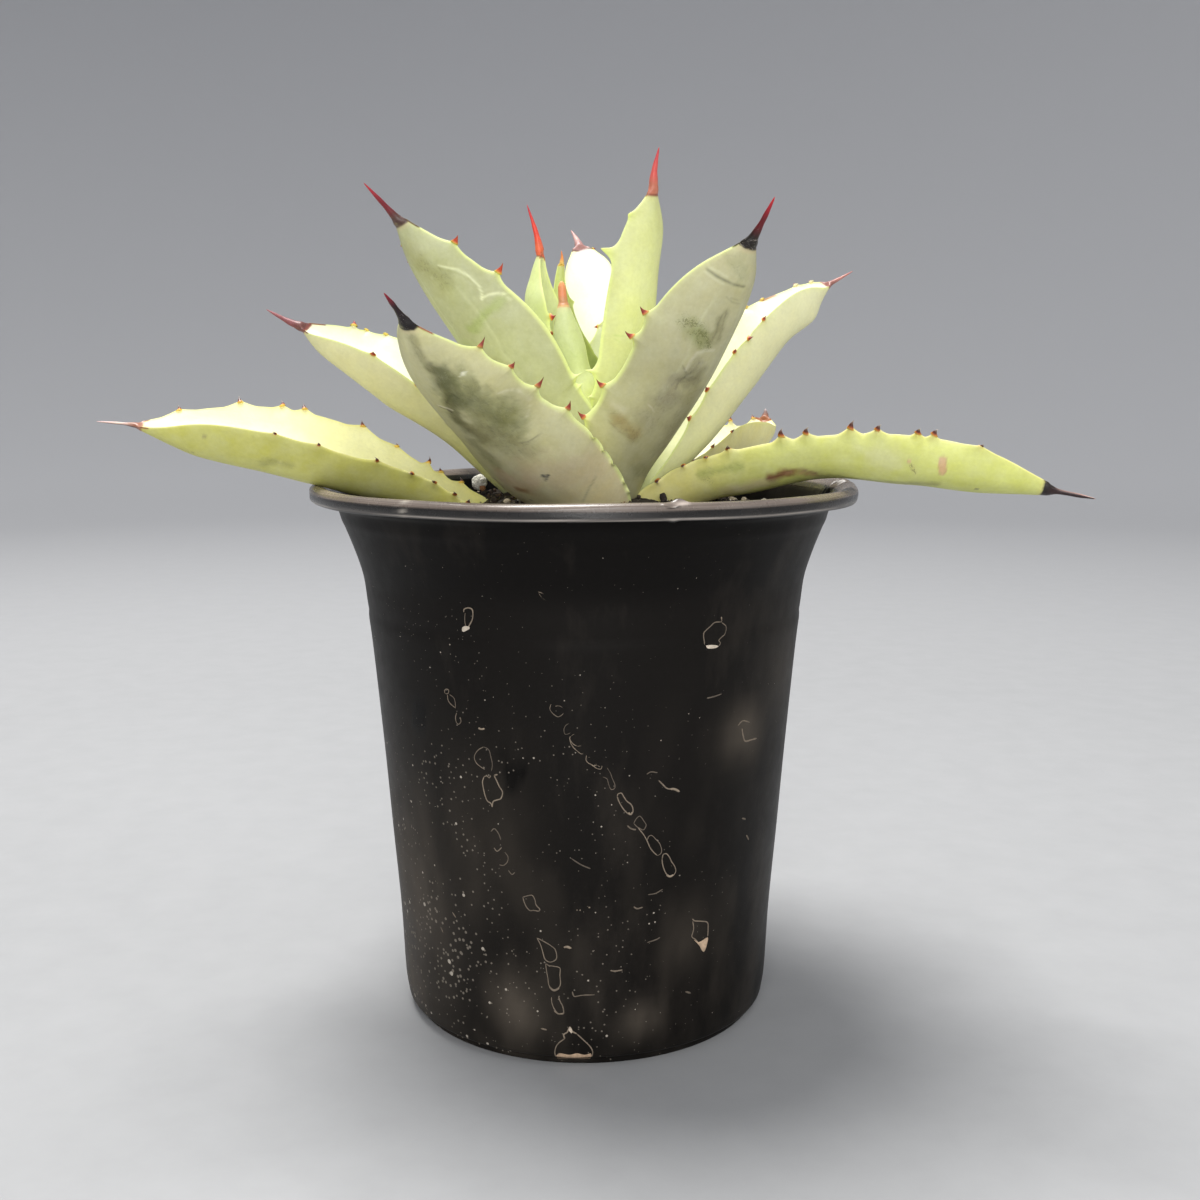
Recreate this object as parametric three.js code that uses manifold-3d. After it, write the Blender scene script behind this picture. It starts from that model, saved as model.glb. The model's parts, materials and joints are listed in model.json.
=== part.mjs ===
// Potted agave: a spiny rosette of fleshy leaves in a black moulded nursery pot.
// Millimetres, +Z up. The origin is on the floor, on the pot's axis; the photograph looks along +Y.
import * as THREE from 'three';
import { mergeVertices } from 'three/addons/utils/BufferGeometryUtils.js';
import Module from 'manifold-3d';

const wasm = await Module();
wasm.setup();

// ---------- driving dimensions ----------
const POT_H = 147.5;          // floor to the crest of the lip
const RIM_R = 75;             // outer radius of the rolled lip
const WALL = 1.2;             // moulded wall
const FOOT_R = 49;            // outer radius of the flat foot
const FOOT_H = 2.4;           // height of the foot, under the overhanging wall
const DRAIN_R = 4.5;          // drain holes in the base
const DRAIN_RING = 33;        // their distance from the middle
const GAP = 0.3;              // clearance between neighbouring pieces
const STEM_X = 1, STEM_Y = 1; // the plant stands a little off the pot's axis
const STEM_R = 7.5;
const STEM_TOP = 138;         // top of the stem, under the rosette
const STEM_BOTTOM = 88;
const SOIL_WALL = 138;        // soil level at the pot wall
const SOIL_CROWN = 144.2;     // soil level at the plant

// ---------- leaves ----------
// c: seven points of the leaf's mid-line, base to tip. g: half width, channel depth as a share of it, and
// thickness at the same points. n: the way the upper side faces. sp: middle and tip of the end spine.
// teeth: margin (+1 or -1), place along the leaf, and the tooth's reach outwards, forwards and upwards.
const LEAVES = {
  leaf_left_low: {
    c: [[-7.0,-2.0,119.0],[-22.3,-8.0,133.6],[-42.4,-11.0,144.0],[-63.2,-13.0,152.4],[-83.4,-16.0,158.5],[-101.2,-17.0,161.5],[-115.9,-18.0,163.3]],
    g: [[8.0,0.4,3.36],[8.0,0.42,3.36],[10.0,0.58,3.41],[11.5,0.62,6.56],[11.5,0.58,7.36],[9.0,0.5,5.94],[2.2,0.3,0.92]],
    n: [[0.707,-0.094,0.7],[0.601,-0.233,0.765],[0.421,-0.039,0.906],[0.349,-0.235,0.907],[0.25,-0.236,0.939],[0.154,-0.202,0.967],[0.134,-0.335,0.932]],
    sp: [[-121.7,-18.3,164.0],[-127.9,-18.5,164.5]],
    teeth: [[-1,0.2673,1.96,-0.61,2.01],[-1,0.2964,2.18,0.1,1.13],[-1,0.3401,2.29,0.25,0.64],[-1,0.3837,2.38,0.24,0.11],[-1,0.4516,1.85,0.33,1.81],[-1,0.5728,1.8,-0.32,1.7],[-1,0.6553,1.95,0.06,1.35],[1,0.2867,2.66,0.1,1.36],[1,0.3304,2.6,0.13,1.38],[1,0.3643,2.78,-0.35,2.42],[1,0.4322,2.52,-0.03,0.46],[1,0.5049,3.02,-0.03,1.87],[1,0.6213,2.94,-0.17,1.68],[1,0.6698,2.8,0.27,1.38],[1,0.7668,2.98,0.17,2.3],[1,0.9171,2.82,0.33,1.54]],
  },
  leaf_left_mid: {
    c: [[-6.0,5.0,133.0],[-21.5,5.0,148.1],[-36.0,3.0,162.9],[-48.8,-1.0,174.3],[-60.8,-3.0,180.8],[-69.3,-4.0,185.5],[-75.1,-4.0,189.1]],
    g: [[8.0,0.5,3.2],[9.0,0.5,3.6],[10.5,0.55,4.2],[11.5,0.58,7.27],[10.5,0.52,5.01],[7.0,0.45,3.6],[2.2,0.3,0.88]],
    n: [[0.694,-0.09,0.714],[0.701,-0.175,0.691],[0.678,-0.41,0.61],[0.602,-0.342,0.721],[0.491,-0.227,0.841],[0.498,-0.275,0.823],[0.456,-0.506,0.732]],
    sp: [[-79.4,-4.0,190.7],[-85.7,-4.0,194.1]],
    teeth: [[-1,0.2946,2.17,-0.41,0.04],[-1,0.3805,2.34,-0.9,0.34],[-1,0.4952,1.83,-0.19,1.3],[-1,0.6359,1.85,-0.1,1.76],[1,0.2934,2.14,-0.6,0.18],[1,0.3768,2.26,-0.56,0.33],[1,0.4584,2.28,-0.17,0.34],[1,0.546,2.43,-0.14,0.21],[1,0.6309,2.44,-0.47,0.18],[1,0.7102,2.31,-0.55,0.33],[1,0.7716,2.81,0.42,1.54]],
  },
  leaf_front_left: {
    c: [[-1.0,-6.0,127.0],[-3.1,-21.0,142.2],[-13.4,-31.0,153.2],[-24.2,-39.0,165.2],[-32.6,-49.0,175.9],[-37.9,-58.0,183.0],[-40.4,-64.0,187.5]],
    g: [[11.0,0.4,3.85],[14.5,0.42,5.07],[18.38,0.4,6.43],[16.48,0.35,5.77],[14.56,0.3,5.1],[8.24,0.3,2.88],[2.4,0.25,0.84]],
    n: [[0.422,0.615,0.666],[0.373,0.576,0.728],[0.356,0.551,0.755],[0.415,0.511,0.752],[0.4,0.456,0.795],[0.408,0.413,0.815],[0.427,0.414,0.804]],
    sp: [[-42.4,-67.0,190.9],[-44.7,-70.0,194.3]],
    teeth: [[-1,0.18,1.2,0.22,-1.26],[-1,0.1994,1.2,0.62,-1.74],[-1,0.2431,1.2,0.47,-2.01],[-1,0.2819,1.2,0.4,-2.02],[-1,0.3449,1.2,-0.18,-1.74],[-1,0.4419,3.4,0.41,1.69],[-1,0.5631,3.7,0.4,2.7],[-1,0.6601,2.94,0.31,1.21],[-1,0.7716,2.9,1.19,3.36],[1,0.2909,2.07,-0.1,0.4],[1,0.3793,2.46,0.01,0.18],[1,0.4619,2.5,-0.55,0.33],[1,0.5349,2.28,-0.17,0.38],[1,0.6181,2.43,-0.06,0.25]],
  },
  leaf_upper_left: {
    c: [[-3.0,-1.0,134.0],[-4.5,-10.0,155.3],[-14.8,-15.0,168.2],[-22.7,-19.0,182.8],[-32.5,-22.0,195.8],[-40.4,-26.0,205.9],[-45.7,-29.0,213.7]],
    g: [[9.0,0.5,2.88],[10.5,0.5,3.36],[13.53,0.45,4.33],[14.87,0.38,4.76],[12.06,0.32,3.86],[7.79,0.3,2.49],[2.4,0.25,0.77]],
    n: [[0.468,0.802,0.371],[0.44,0.767,0.466],[0.448,0.718,0.532],[0.562,0.642,0.522],[0.511,0.632,0.583],[0.485,0.629,0.607],[0.502,0.635,0.588]],
    sp: [[-49.1,-31.0,217.6],[-54.1,-34.0,223.0]],
    teeth: [[-1,0.2934,2.12,0.05,0.21],[-1,0.3594,3.19,0.03,0.71],[-1,0.6746,4.05,0.58,2.1],[-1,0.8298,3.38,0.6,1.32],[1,0.3063,2.47,-0.59,0.39],[1,0.3775,2.26,-0.03,0.36],[1,0.4612,2.49,-0.1,0.01],[1,0.5395,2.46,-0.98,0.27],[1,0.605,2.11,-0.32,0.11],[1,0.6871,2.37,-0.73,0.32],[1,0.7581,2.21,-0.2,0.22],[1,0.8402,2.42,-0.45,0.18],[1,0.9145,2.32,-0.55,0.39]],
  },
  leaf_inner_left: {
    c: [[-2.0,2.0,139.0],[-3.4,2.0,168.4],[-8.5,3.0,178.2],[-11.6,4.0,187.4],[-13.1,4.0,196.2],[-12.7,4.0,203.2],[-11.8,4.0,208.6]],
    g: [[5.0,0.7,2.25],[5.5,0.7,2.48],[5.38,0.8,2.42],[5.85,0.8,2.63],[6.13,0.75,2.76],[3.6,0.6,1.62],[1.7,0.3,0.76]],
    n: [[0.956,-0.29,0.047],[0.944,-0.287,0.165],[0.872,-0.272,0.406],[0.925,-0.285,0.253],[0.955,-0.29,0.066],[0.949,-0.299,-0.101],[0.941,-0.304,-0.151]],
    sp: [[-13.2,4.0,215.2],[-15.6,4.0,222.6]],
    teeth: [[-1,0.4916,1.45,-0.22,0.35],[-1,0.5825,1.56,-0.09,2.62]],
  },
  central_bud: {
    c: [[1.0,0.0,143.0],[-0.4,-2.0,169.9],[-1.9,-2.5,177.5],[-3.5,-3.0,183.4],[-4.9,-3.5,188.6],[-5.4,-4.0,192.6],[-5.6,-4.0,195.0]],
    g: [[5.5,0.0,5.5],[5.5,0.0,5.5],[3.68,0.0,3.68],[3.95,0.0,3.95],[3.62,0.0,3.62],[2.42,0.0,2.42],[1.6,0.0,1.6]],
    n: [[0.001,0.997,0.074],[0.001,0.997,0.072],[0.003,0.997,0.075],[-0.001,0.996,0.09],[-0.004,0.994,0.107],[0.001,0.997,0.078],[0.006,1.0,-0.0]],
    sp: [[-5.9,-4.0,198.2],[-6.1,-4.0,201.6]],
    teeth: [],
  },
  leaf_inner_back: {
    c: [[2.0,5.0,139.0],[1.6,9.0,171.1],[-1.5,11.0,180.3],[-4.5,12.0,187.8],[-6.1,13.0,195.4],[-6.7,13.0,202.0],[-6.4,13.0,206.9]],
    g: [[5.0,0.6,1.75],[5.5,0.6,1.92],[5.2,0.6,1.82],[4.2,0.6,1.47],[2.9,0.6,1.01],[1.6,0.6,0.56],[1.0,0.6,0.35]],
    n: [[-0.171,-0.978,0.119],[-0.167,-0.978,0.128],[-0.152,-0.981,0.121],[-0.145,-0.986,0.087],[-0.152,-0.987,0.046],[-0.17,-0.985,-0.004],[-0.183,-0.983,0.011]],
    sp: [[-6.2,13.0,209.1],[-6.4,13.0,211.1]],
    teeth: [[1,0.6989,1.2,-0.44,0.3]],
  },
  leaf_back_centre: {
    c: [[2.0,8.0,136.0],[3.6,17.0,162.5],[3.1,25.0,176.8],[2.4,33.0,189.1],[1.9,41.0,199.5],[1.2,49.0,208.6],[-1.1,57.0,215.3]],
    g: [[7.5,0.4,2.4],[8.0,0.4,2.56],[8.4,0.4,2.69],[8.6,0.35,2.75],[7.9,0.3,2.53],[6.8,0.25,2.18],[2.6,0.25,0.83]],
    n: [[-0.006,-0.947,0.321],[-0.003,-0.923,0.385],[0.003,-0.857,0.516],[0.004,-0.817,0.576],[0.004,-0.773,0.634],[0.006,-0.703,0.711],[-0.008,-0.643,0.766]],
    sp: [[-2.3,62.0,218.8],[-4.2,67.0,222.4]],
    teeth: [[-1,0.302,2.35,-0.71,-0.04],[-1,0.3755,2.22,-1.09,0.43],[-1,0.4457,2.06,0.08,0.43],[-1,0.537,2.53,0.06,0.22],[-1,0.6191,2.53,-0.46,0.26],[1,0.3086,2.52,-0.03,0.06],[1,0.3894,2.49,-0.85,0.08],[1,0.458,2.16,-0.8,0.42],[1,0.5339,2.18,0.05,0.23],[1,0.6226,2.52,-0.42,0.14],[1,0.6973,2.33,-0.66,0.18],[1,0.985,1.63,0.06,-0.18]],
  },
  leaf_upper_right: {
    c: [[4.0,-2.0,136.0],[7.5,-4.0,159.0],[12.1,-8.0,173.5],[13.6,-12.0,188.6],[14.8,-15.0,201.8],[16.6,-17.0,213.9],[17.7,-19.0,222.3]],
    g: [[7.0,0.5,2.24],[8.0,0.5,2.56],[10.64,0.45,3.4],[10.59,0.4,3.39],[10.0,0.35,3.2],[8.18,0.3,2.62],[2.4,0.25,0.77]],
    n: [[-0.757,0.631,0.17],[-0.791,0.554,0.26],[-0.832,0.467,0.299],[-0.848,0.491,0.202],[-0.851,0.488,0.195],[-0.85,0.482,0.213],[-0.85,0.477,0.225]],
    sp: [[17.9,-20.5,227.8],[19.0,-22.0,233.5]],
    teeth: [[-1,0.3058,2.44,-0.83,0.19],[-1,0.3801,2.17,-0.53,0.21],[-1,0.465,2.29,-0.48,0.36],[-1,0.5482,2.31,-0.09,0.04],[-1,0.6374,2.46,-0.9,-0.03],[-1,0.71,2.14,-1.08,0.2],[-1,0.7864,2.07,-0.49,0.13],[-1,0.8739,2.3,-0.67,0.1],[1,0.2986,2.27,-0.49,0.08],[1,0.3982,3.57,0.09,2.1],[1,0.7474,3.72,0.26,2.69],[1,0.9026,2.48,0.1,0.18]],
  },
  leaf_front_right: {
    c: [[5.0,-6.0,130.0],[10.0,-16.0,148.9],[15.3,-23.0,162.0],[22.8,-30.0,175.0],[28.7,-38.0,188.0],[34.8,-45.0,198.8],[39.0,-50.0,206.7]],
    g: [[9.0,0.45,3.15],[11.0,0.45,3.85],[14.82,0.4,5.19],[14.22,0.35,4.98],[13.45,0.3,4.71],[9.15,0.3,3.2],[2.4,0.25,0.84]],
    n: [[-0.626,0.609,0.486],[-0.604,0.607,0.517],[-0.551,0.591,0.589],[-0.507,0.606,0.612],[-0.444,0.641,0.627],[-0.368,0.677,0.637],[-0.373,0.681,0.631]],
    sp: [[41.6,-53.0,211.6],[44.1,-56.0,217.0]],
    teeth: [[-1,0.298,2.25,-0.92,0.26],[-1,0.3703,2.13,-0.34,0.15],[-1,0.4538,2.36,-0.62,0.4],[-1,0.5285,2.25,-0.0,0.35],[-1,0.615,2.5,-0.11,0.07],[1,0.3449,3.61,-0.08,1.38],[1,0.4322,3.72,0.08,1.66],[1,0.6116,3.64,0.08,1.25],[1,0.6746,3.38,0.36,1.17]],
  },
  leaf_right_mid: {
    c: [[7.0,0.0,131.0],[20.5,-3.0,149.4],[30.5,0.0,163.0],[40.2,3.0,176.8],[51.2,6.0,190.2],[60.6,9.0,197.8],[67.5,11.0,201.3]],
    g: [[7.0,0.5,2.66],[8.5,0.5,3.23],[10.5,0.55,6.0],[11.5,0.58,7.03],[10.5,0.52,6.36],[6.5,0.45,6.42],[2.2,0.3,0.84]],
    n: [[-0.8,0.057,0.597],[-0.77,-0.297,0.565],[-0.755,-0.262,0.601],[-0.743,-0.251,0.621],[-0.662,-0.24,0.71],[-0.516,-0.185,0.836],[-0.292,-0.459,0.839]],
    sp: [[71.8,12.0,203.5],[75.6,13.0,205.6]],
    teeth: [[-1,0.3055,2.44,-0.67,0.24],[-1,0.3777,2.23,-0.41,0.3],[-1,0.458,2.34,-0.24,0.38],[-1,0.5389,2.4,-0.05,0.2],[-1,0.6213,2.48,-0.51,0.38],[-1,0.6953,2.3,-0.05,0.11],[-1,0.7522,2.45,-0.25,-0.23],[-1,0.888,2.54,0.02,0.6],[-1,0.9656,2.52,-0.07,0.21],[1,0.117,2.7,0.06,-1.08],[1,0.1364,2.49,0.23,-0.36],[1,0.1509,2.26,0.33,0.31],[1,0.3158,1.28,-0.99,2.01],[1,0.4079,1.65,-0.26,1.9],[1,0.5292,2.05,-0.03,1.01],[1,0.5777,2.52,0.01,-0.34],[1,0.6359,2.16,0.24,0.96]],
  },
  leaf_right_back: {
    c: [[5.0,5.0,130.0],[20.7,16.0,145.6],[30.9,30.0,148.8],[40.0,44.0,152.5],[48.7,57.0,155.0],[56.1,68.0,157.5],[59.3,75.0,162.1]],
    g: [[7.0,0.4,3.15],[8.5,0.45,3.82],[10.0,0.6,4.5],[11.0,0.72,4.95],[10.5,0.66,4.73],[7.0,0.5,3.15],[2.4,0.35,1.08]],
    n: [[-0.461,-0.438,0.771],[-0.305,-0.349,0.886],[-0.204,-0.101,0.974],[-0.215,-0.085,0.973],[-0.147,-0.104,0.984],[-0.175,-0.27,0.947],[-0.261,-0.45,0.854]],
    sp: [[60.1,79.0,164.3],[60.6,83.0,166.1]],
    teeth: [[-1,0.3059,2.46,-0.51,0.26],[-1,0.3783,2.3,-0.34,-0.01],[-1,0.4563,2.36,-1.02,0.21],[-1,0.5227,2.09,-0.48,0.32],[-1,0.6024,2.31,-0.19,0.07],[-1,0.6824,2.42,-0.82,-0.02],[-1,0.7506,2.17,-1.04,-0.03],[-1,0.8104,1.75,1.37,4.03],[-1,0.985,1.2,1.85,1.45],[1,0.2188,1.93,-0.13,0.76],[1,0.3207,1.63,-0.2,1.71],[1,0.437,1.78,-0.11,1.09]],
  },
  leaf_right_low: {
    c: [[7.0,-2.0,129.0],[27.1,-12.0,144.9],[44.1,-19.0,150.4],[63.7,-26.0,154.4],[82.9,-32.0,153.6],[99.6,-36.0,151.3],[115.7,-38.0,148.1]],
    g: [[8.0,0.35,3.36],[8.0,0.4,3.36],[7.91,0.4,3.32],[7.49,0.35,3.14],[8.46,0.35,3.55],[7.36,0.3,3.09],[2.4,0.25,1.01]],
    n: [[-0.281,0.611,0.74],[-0.17,0.608,0.775],[0.038,0.629,0.777],[0.148,0.628,0.764],[0.238,0.623,0.745],[0.241,0.645,0.725],[0.229,0.632,0.741]],
    sp: [[120.9,-39.0,147.1],[128.2,-40.0,145.7]],
    teeth: [[-1,0.2993,2.28,-0.73,0.21],[-1,0.3575,2.21,-0.49,0.1],[-1,0.4197,2.31,-0.74,0.09],[-1,0.4773,2.2,-0.78,0.28],[-1,0.5361,2.19,-0.31,0.34],[-1,0.6007,2.38,-0.15,0.16],[-1,0.6645,2.44,-0.61,0.04],[-1,0.7217,2.26,-0.91,0.19],[-1,0.778,2.14,-0.53,0.15],[-1,0.8408,2.29,-0.62,0.17],[-1,0.9002,2.25,-0.58,0.08],[1,0.1509,1.2,-0.17,-2.26],[1,0.2043,1.33,0.03,-1.54],[1,0.2528,1.4,-0.11,-1.5],[1,0.311,2.57,-0.21,0.13],[1,0.4273,3.62,-0.17,1.44],[1,0.471,3.09,0.16,0.9],[1,0.5534,3.75,-0.09,1.65],[1,0.6019,2.95,0.16,0.69],[1,0.6843,2.74,-0.15,0.4],[1,0.7183,2.93,0.25,0.63],[1,0.825,2.24,-0.05,-0.17]],
  },
  leaf_back_left_low: {
    c: [[-3.1,6.7,130.0],[-8.7,14.5,138.7],[-14.7,23.5,146.0],[-21.0,33.3,151.8],[-27.4,43.7,156.1],[-33.7,54.6,159.4],[-39.8,65.8,162.0]],
    g: [[8.0,0.4,3.2],[9.0,0.45,3.6],[10.0,0.45,4.0],[10.5,0.4,4.2],[9.5,0.35,3.8],[6.5,0.3,2.6],[2.2,0.3,0.88]],
    n: [[0.394,-0.541,0.743],[0.35,-0.507,0.788],[0.277,-0.421,0.864],[0.207,-0.331,0.921],[0.149,-0.251,0.956],[0.11,-0.196,0.974],[0.094,-0.176,0.98]],
    sp: [[-43.0,71.9,163.2],[-46.2,77.9,164.9]],
    teeth: [[-1,0.2905,2.1,-0.47,0.14],[-1,0.3907,2.31,-0.64,0.35],[-1,0.4825,2.24,-0.12,0.1],[-1,0.586,2.45,-0.76,0.15],[-1,0.6722,2.2,-0.62,0.02],[-1,0.7673,2.25,-0.96,0.2],[-1,0.8546,2.12,-0.5,0.42],[1,0.311,2.53,-0.08,0.29],[1,0.4082,2.47,-0.28,0.14],[1,0.5033,2.39,-0.65,0.0],[1,0.5932,2.24,-0.99,0.1],[1,0.6802,2.1,-0.75,0.32],[1,0.775,2.2,-0.21,0.16],[1,0.8776,2.42,-0.59,0.35]],
  },
  leaf_back_low: {
    c: [[1.5,8.0,129.0],[2.2,20.5,137.3],[2.7,34.1,143.5],[2.9,48.5,147.9],[2.7,63.2,150.7],[2.2,78.1,152.4],[1.3,93.0,153.4]],
    g: [[8.0,0.4,3.2],[9.0,0.45,3.6],[10.0,0.45,4.0],[10.5,0.4,4.2],[9.5,0.35,3.8],[6.5,0.3,2.6],[2.2,0.3,0.88]],
    n: [[-0.039,-0.551,0.834],[-0.023,-0.484,0.875],[-0.008,-0.354,0.935],[-0.0,-0.242,0.97],[0.004,-0.152,0.988],[0.004,-0.087,0.996],[0.004,-0.061,0.998]],
    sp: [[0.8,100.0,153.6],[0.3,106.9,154.3]],
    teeth: [[-1,0.2984,2.26,-0.2,0.17],[-1,0.3864,2.42,-0.57,0.43],[-1,0.4648,2.27,0.06,0.22],[-1,0.5569,2.53,-0.46,0.11],[-1,0.6351,2.32,-0.73,0.39],[-1,0.7133,2.21,-0.03,0.16],[-1,0.805,2.49,-0.59,0.22],[-1,0.8818,2.26,-0.44,0.27],[1,0.3053,2.43,-0.19,0.17],[1,0.3899,2.42,-0.58,0.4],[1,0.4682,2.27,-0.0,0.03],[1,0.5593,2.5,-0.92,0.17],[1,0.6305,2.13,-0.57,0.14],[1,0.715,2.27,-0.66,0.22],[1,0.7951,2.24,-0.44,0.05],[1,0.8795,2.32,-0.87,0.03]],
  },
  leaf_back_left: {
    c: [[-3.3,6.5,134.0],[-7.2,11.4,145.0],[-12.0,17.2,155.2],[-17.5,23.7,164.6],[-23.5,30.5,173.4],[-29.9,37.5,181.8],[-36.6,44.5,190.0]],
    g: [[8.0,0.45,2.8],[9.5,0.45,3.32],[12.0,0.4,4.2],[13.0,0.36,4.55],[12.0,0.32,4.2],[8.0,0.3,2.8],[2.4,0.25,0.84]],
    n: [[0.536,-0.686,0.492],[0.528,-0.652,0.545],[0.498,-0.593,0.633],[0.472,-0.543,0.695],[0.454,-0.504,0.734],[0.447,-0.48,0.755],[0.451,-0.467,0.76]],
    sp: [[-40.7,48.7,194.7],[-44.4,52.6,199.9]],
    teeth: [[-1,0.2984,2.27,-1.07,0.16],[-1,0.3854,2.07,-0.6,0.05],[-1,0.4864,2.26,-0.89,0.02],[-1,0.5772,2.15,-0.96,0.35],[-1,0.6694,2.12,-0.12,-0.03],[-1,0.7786,2.45,-1.07,0.02],[-1,0.8611,2.07,-0.95,0.28],[1,0.2885,2.06,-0.32,0.32],[1,0.3951,2.37,-0.2,0.39],[1,0.4966,2.42,-0.03,0.3],[1,0.6001,2.49,-0.24,0.25],[1,0.6979,2.4,-0.38,0.12],[1,0.795,2.35,-0.69,0.08],[1,0.8875,2.22,-0.81,-0.01]],
  },
  leaf_back_right: {
    c: [[5.5,6.4,134.0],[9.9,11.4,145.1],[15.1,17.3,155.5],[21.1,23.6,165.2],[27.6,30.2,174.2],[34.6,37.0,182.8],[41.9,43.7,191.3]],
    g: [[8.0,0.45,2.8],[9.5,0.45,3.32],[12.0,0.4,4.2],[13.0,0.36,4.55],[12.0,0.32,4.2],[8.0,0.3,2.8],[2.4,0.25,0.84]],
    n: [[-0.551,-0.657,0.515],[-0.548,-0.623,0.559],[-0.523,-0.567,0.636],[-0.5,-0.517,0.695],[-0.483,-0.477,0.734],[-0.477,-0.45,0.755],[-0.483,-0.435,0.76]],
    sp: [[45.8,47.2,196.7],[49.2,50.3,202.6]],
    teeth: [[-1,0.2924,2.14,-1.03,0.3],[-1,0.3811,2.09,-0.26,0.3],[-1,0.4855,2.4,-0.26,0.17],[-1,0.5826,2.4,-0.57,0.38],[-1,0.6739,2.27,-0.04,0.03],[-1,0.7781,2.48,-0.92,0.05],[-1,0.8605,2.13,-0.87,0.25],[1,0.3041,2.39,-0.18,0.14],[1,0.403,2.43,-0.64,0.42],[1,0.4921,2.24,0.05,0.19],[1,0.5987,2.52,-0.52,0.09],[1,0.6879,2.29,-0.78,0.44],[1,0.7777,2.19,0.09,0.09],[1,0.8864,2.54,-0.76,0.17]],
  },
  leaf_back_upper: {
    c: [[2.9,5.6,138.0],[3.8,7.9,148.7],[5.1,11.3,159.1],[6.8,15.3,169.2],[8.6,19.9,179.1],[10.6,24.7,188.7],[12.6,29.8,198.3]],
    g: [[6.0,0.45,1.98],[7.0,0.45,2.31],[8.5,0.45,2.8],[9.0,0.45,2.97],[8.5,0.45,2.8],[6.0,0.45,1.98],[2.0,0.45,0.66]],
    n: [[-0.365,-0.903,0.225],[-0.36,-0.891,0.276],[-0.349,-0.864,0.363],[-0.339,-0.84,0.423],[-0.332,-0.822,0.462],[-0.328,-0.811,0.485],[-0.326,-0.807,0.492]],
    sp: [[13.9,33.0,203.8],[15.1,35.8,209.5]],
    teeth: [[-1,0.3008,2.31,-0.37,0.04],[-1,0.4154,2.35,-0.9,0.26],[-1,0.5172,2.14,-0.35,0.07],[-1,0.6372,2.36,-0.81,0.33],[-1,0.7405,2.17,-0.19,-0.03],[-1,0.8632,2.43,-1.07,0.02],[1,0.3058,2.4,-0.37,0.06],[1,0.4178,2.35,-0.85,0.08],[1,0.5206,2.16,-0.79,0.32],[1,0.6302,2.18,-0.21,-0.03],[1,0.752,2.42,-1.07,0.42],[1,0.848,2.07,0.05,-0.02]],
  },
};

const colours = {
  leaf: 0xb9c48d, lowLeaf: 0xbcc46f, bud: 0xbccb8f, pot: 0x1d1c1c, soil: 0x3a3029, stem: 0x9a8f63, pumice: 0xe6e1d4, chip: 0x8a5d3c,
};
const plant = new THREE.Group();

// ---------- solids ----------
function toSolid(geometry, weld = 1e-4) {
  const g = geometry.clone();
  for (const name of Object.keys(g.attributes)) if (name !== 'position') g.deleteAttribute(name);
  const m = mergeVertices(g, weld);
  return new wasm.Manifold(new wasm.Mesh({
    numProp: 3,
    vertProperties: new Float32Array(m.attributes.position.array),
    triVerts: new Uint32Array(m.index.array),
  }));
}
function toGeometry(solid) {
  const mesh = solid.getMesh();
  const g = new THREE.BufferGeometry();
  g.setAttribute('position', new THREE.BufferAttribute(new Float32Array(mesh.vertProperties), 3));
  g.setIndex(new THREE.BufferAttribute(new Uint32Array(mesh.triVerts), 1));
  g.computeVertexNormals();
  return g;
}
// what is left after a cut is the largest piece; small slivers between two sockets fall away
function largest(solid) {
  for (let pass = 0; pass < 3; pass++) {
    let best = null;
    for (const part of solid.decompose()) if (!best || part.volume() > best.volume()) best = part;
    solid = toSolid(toGeometry(best), 2e-3);
  }
  return solid;
}
function addPiece(name, geometry, colour, roughness) {
  const mesh = new THREE.Mesh(geometry, new THREE.MeshStandardMaterial({ color: colour, roughness, metalness: 0 }));
  mesh.name = name;
  plant.add(mesh);
}

// ---------- a leaf: rings of six points lofted along the mid-line, closed at the base, ending in the spine ----------
const vec = (a) => new THREE.Vector3(a[0], a[1], a[2]);
const UPPER = [-1, 0, 1];
const UNDER = [0.66, 0, -0.66];
const RING = UPPER.length + UNDER.length;
const TEETH_FROM = 0.19;    // the teeth nearer the base than this are too small and too crowded to count here
function leafStations(leaf, length) {
  const marks = [0, 0.06, 0.14, 0.24];
  for (const tooth of leaf.teeth) if (tooth[1] > TEETH_FROM) marks.push(tooth[1]);
  marks.push(0.93, 1);
  marks.sort((a, b) => a - b);
  const kept = [];
  const near = 1.1 / length;
  for (const t of marks) {
    const tooth = leaf.teeth.some((q) => q[1] === t);
    if (kept.length && t - kept[kept.length - 1] < near) {
      if (tooth) kept[kept.length - 1] = t;
      continue;
    }
    kept.push(t);
  }
  if (kept[kept.length - 1] < 1) kept.push(1);
  const out = [];
  for (let i = 0; i < kept.length; i++) {
    out.push(kept[i]);
    if (i + 1 < kept.length && kept[i + 1] - kept[i] > 3.2 / length) out.push((kept[i] + kept[i + 1]) / 2);
  }
  return out;
}
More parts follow.
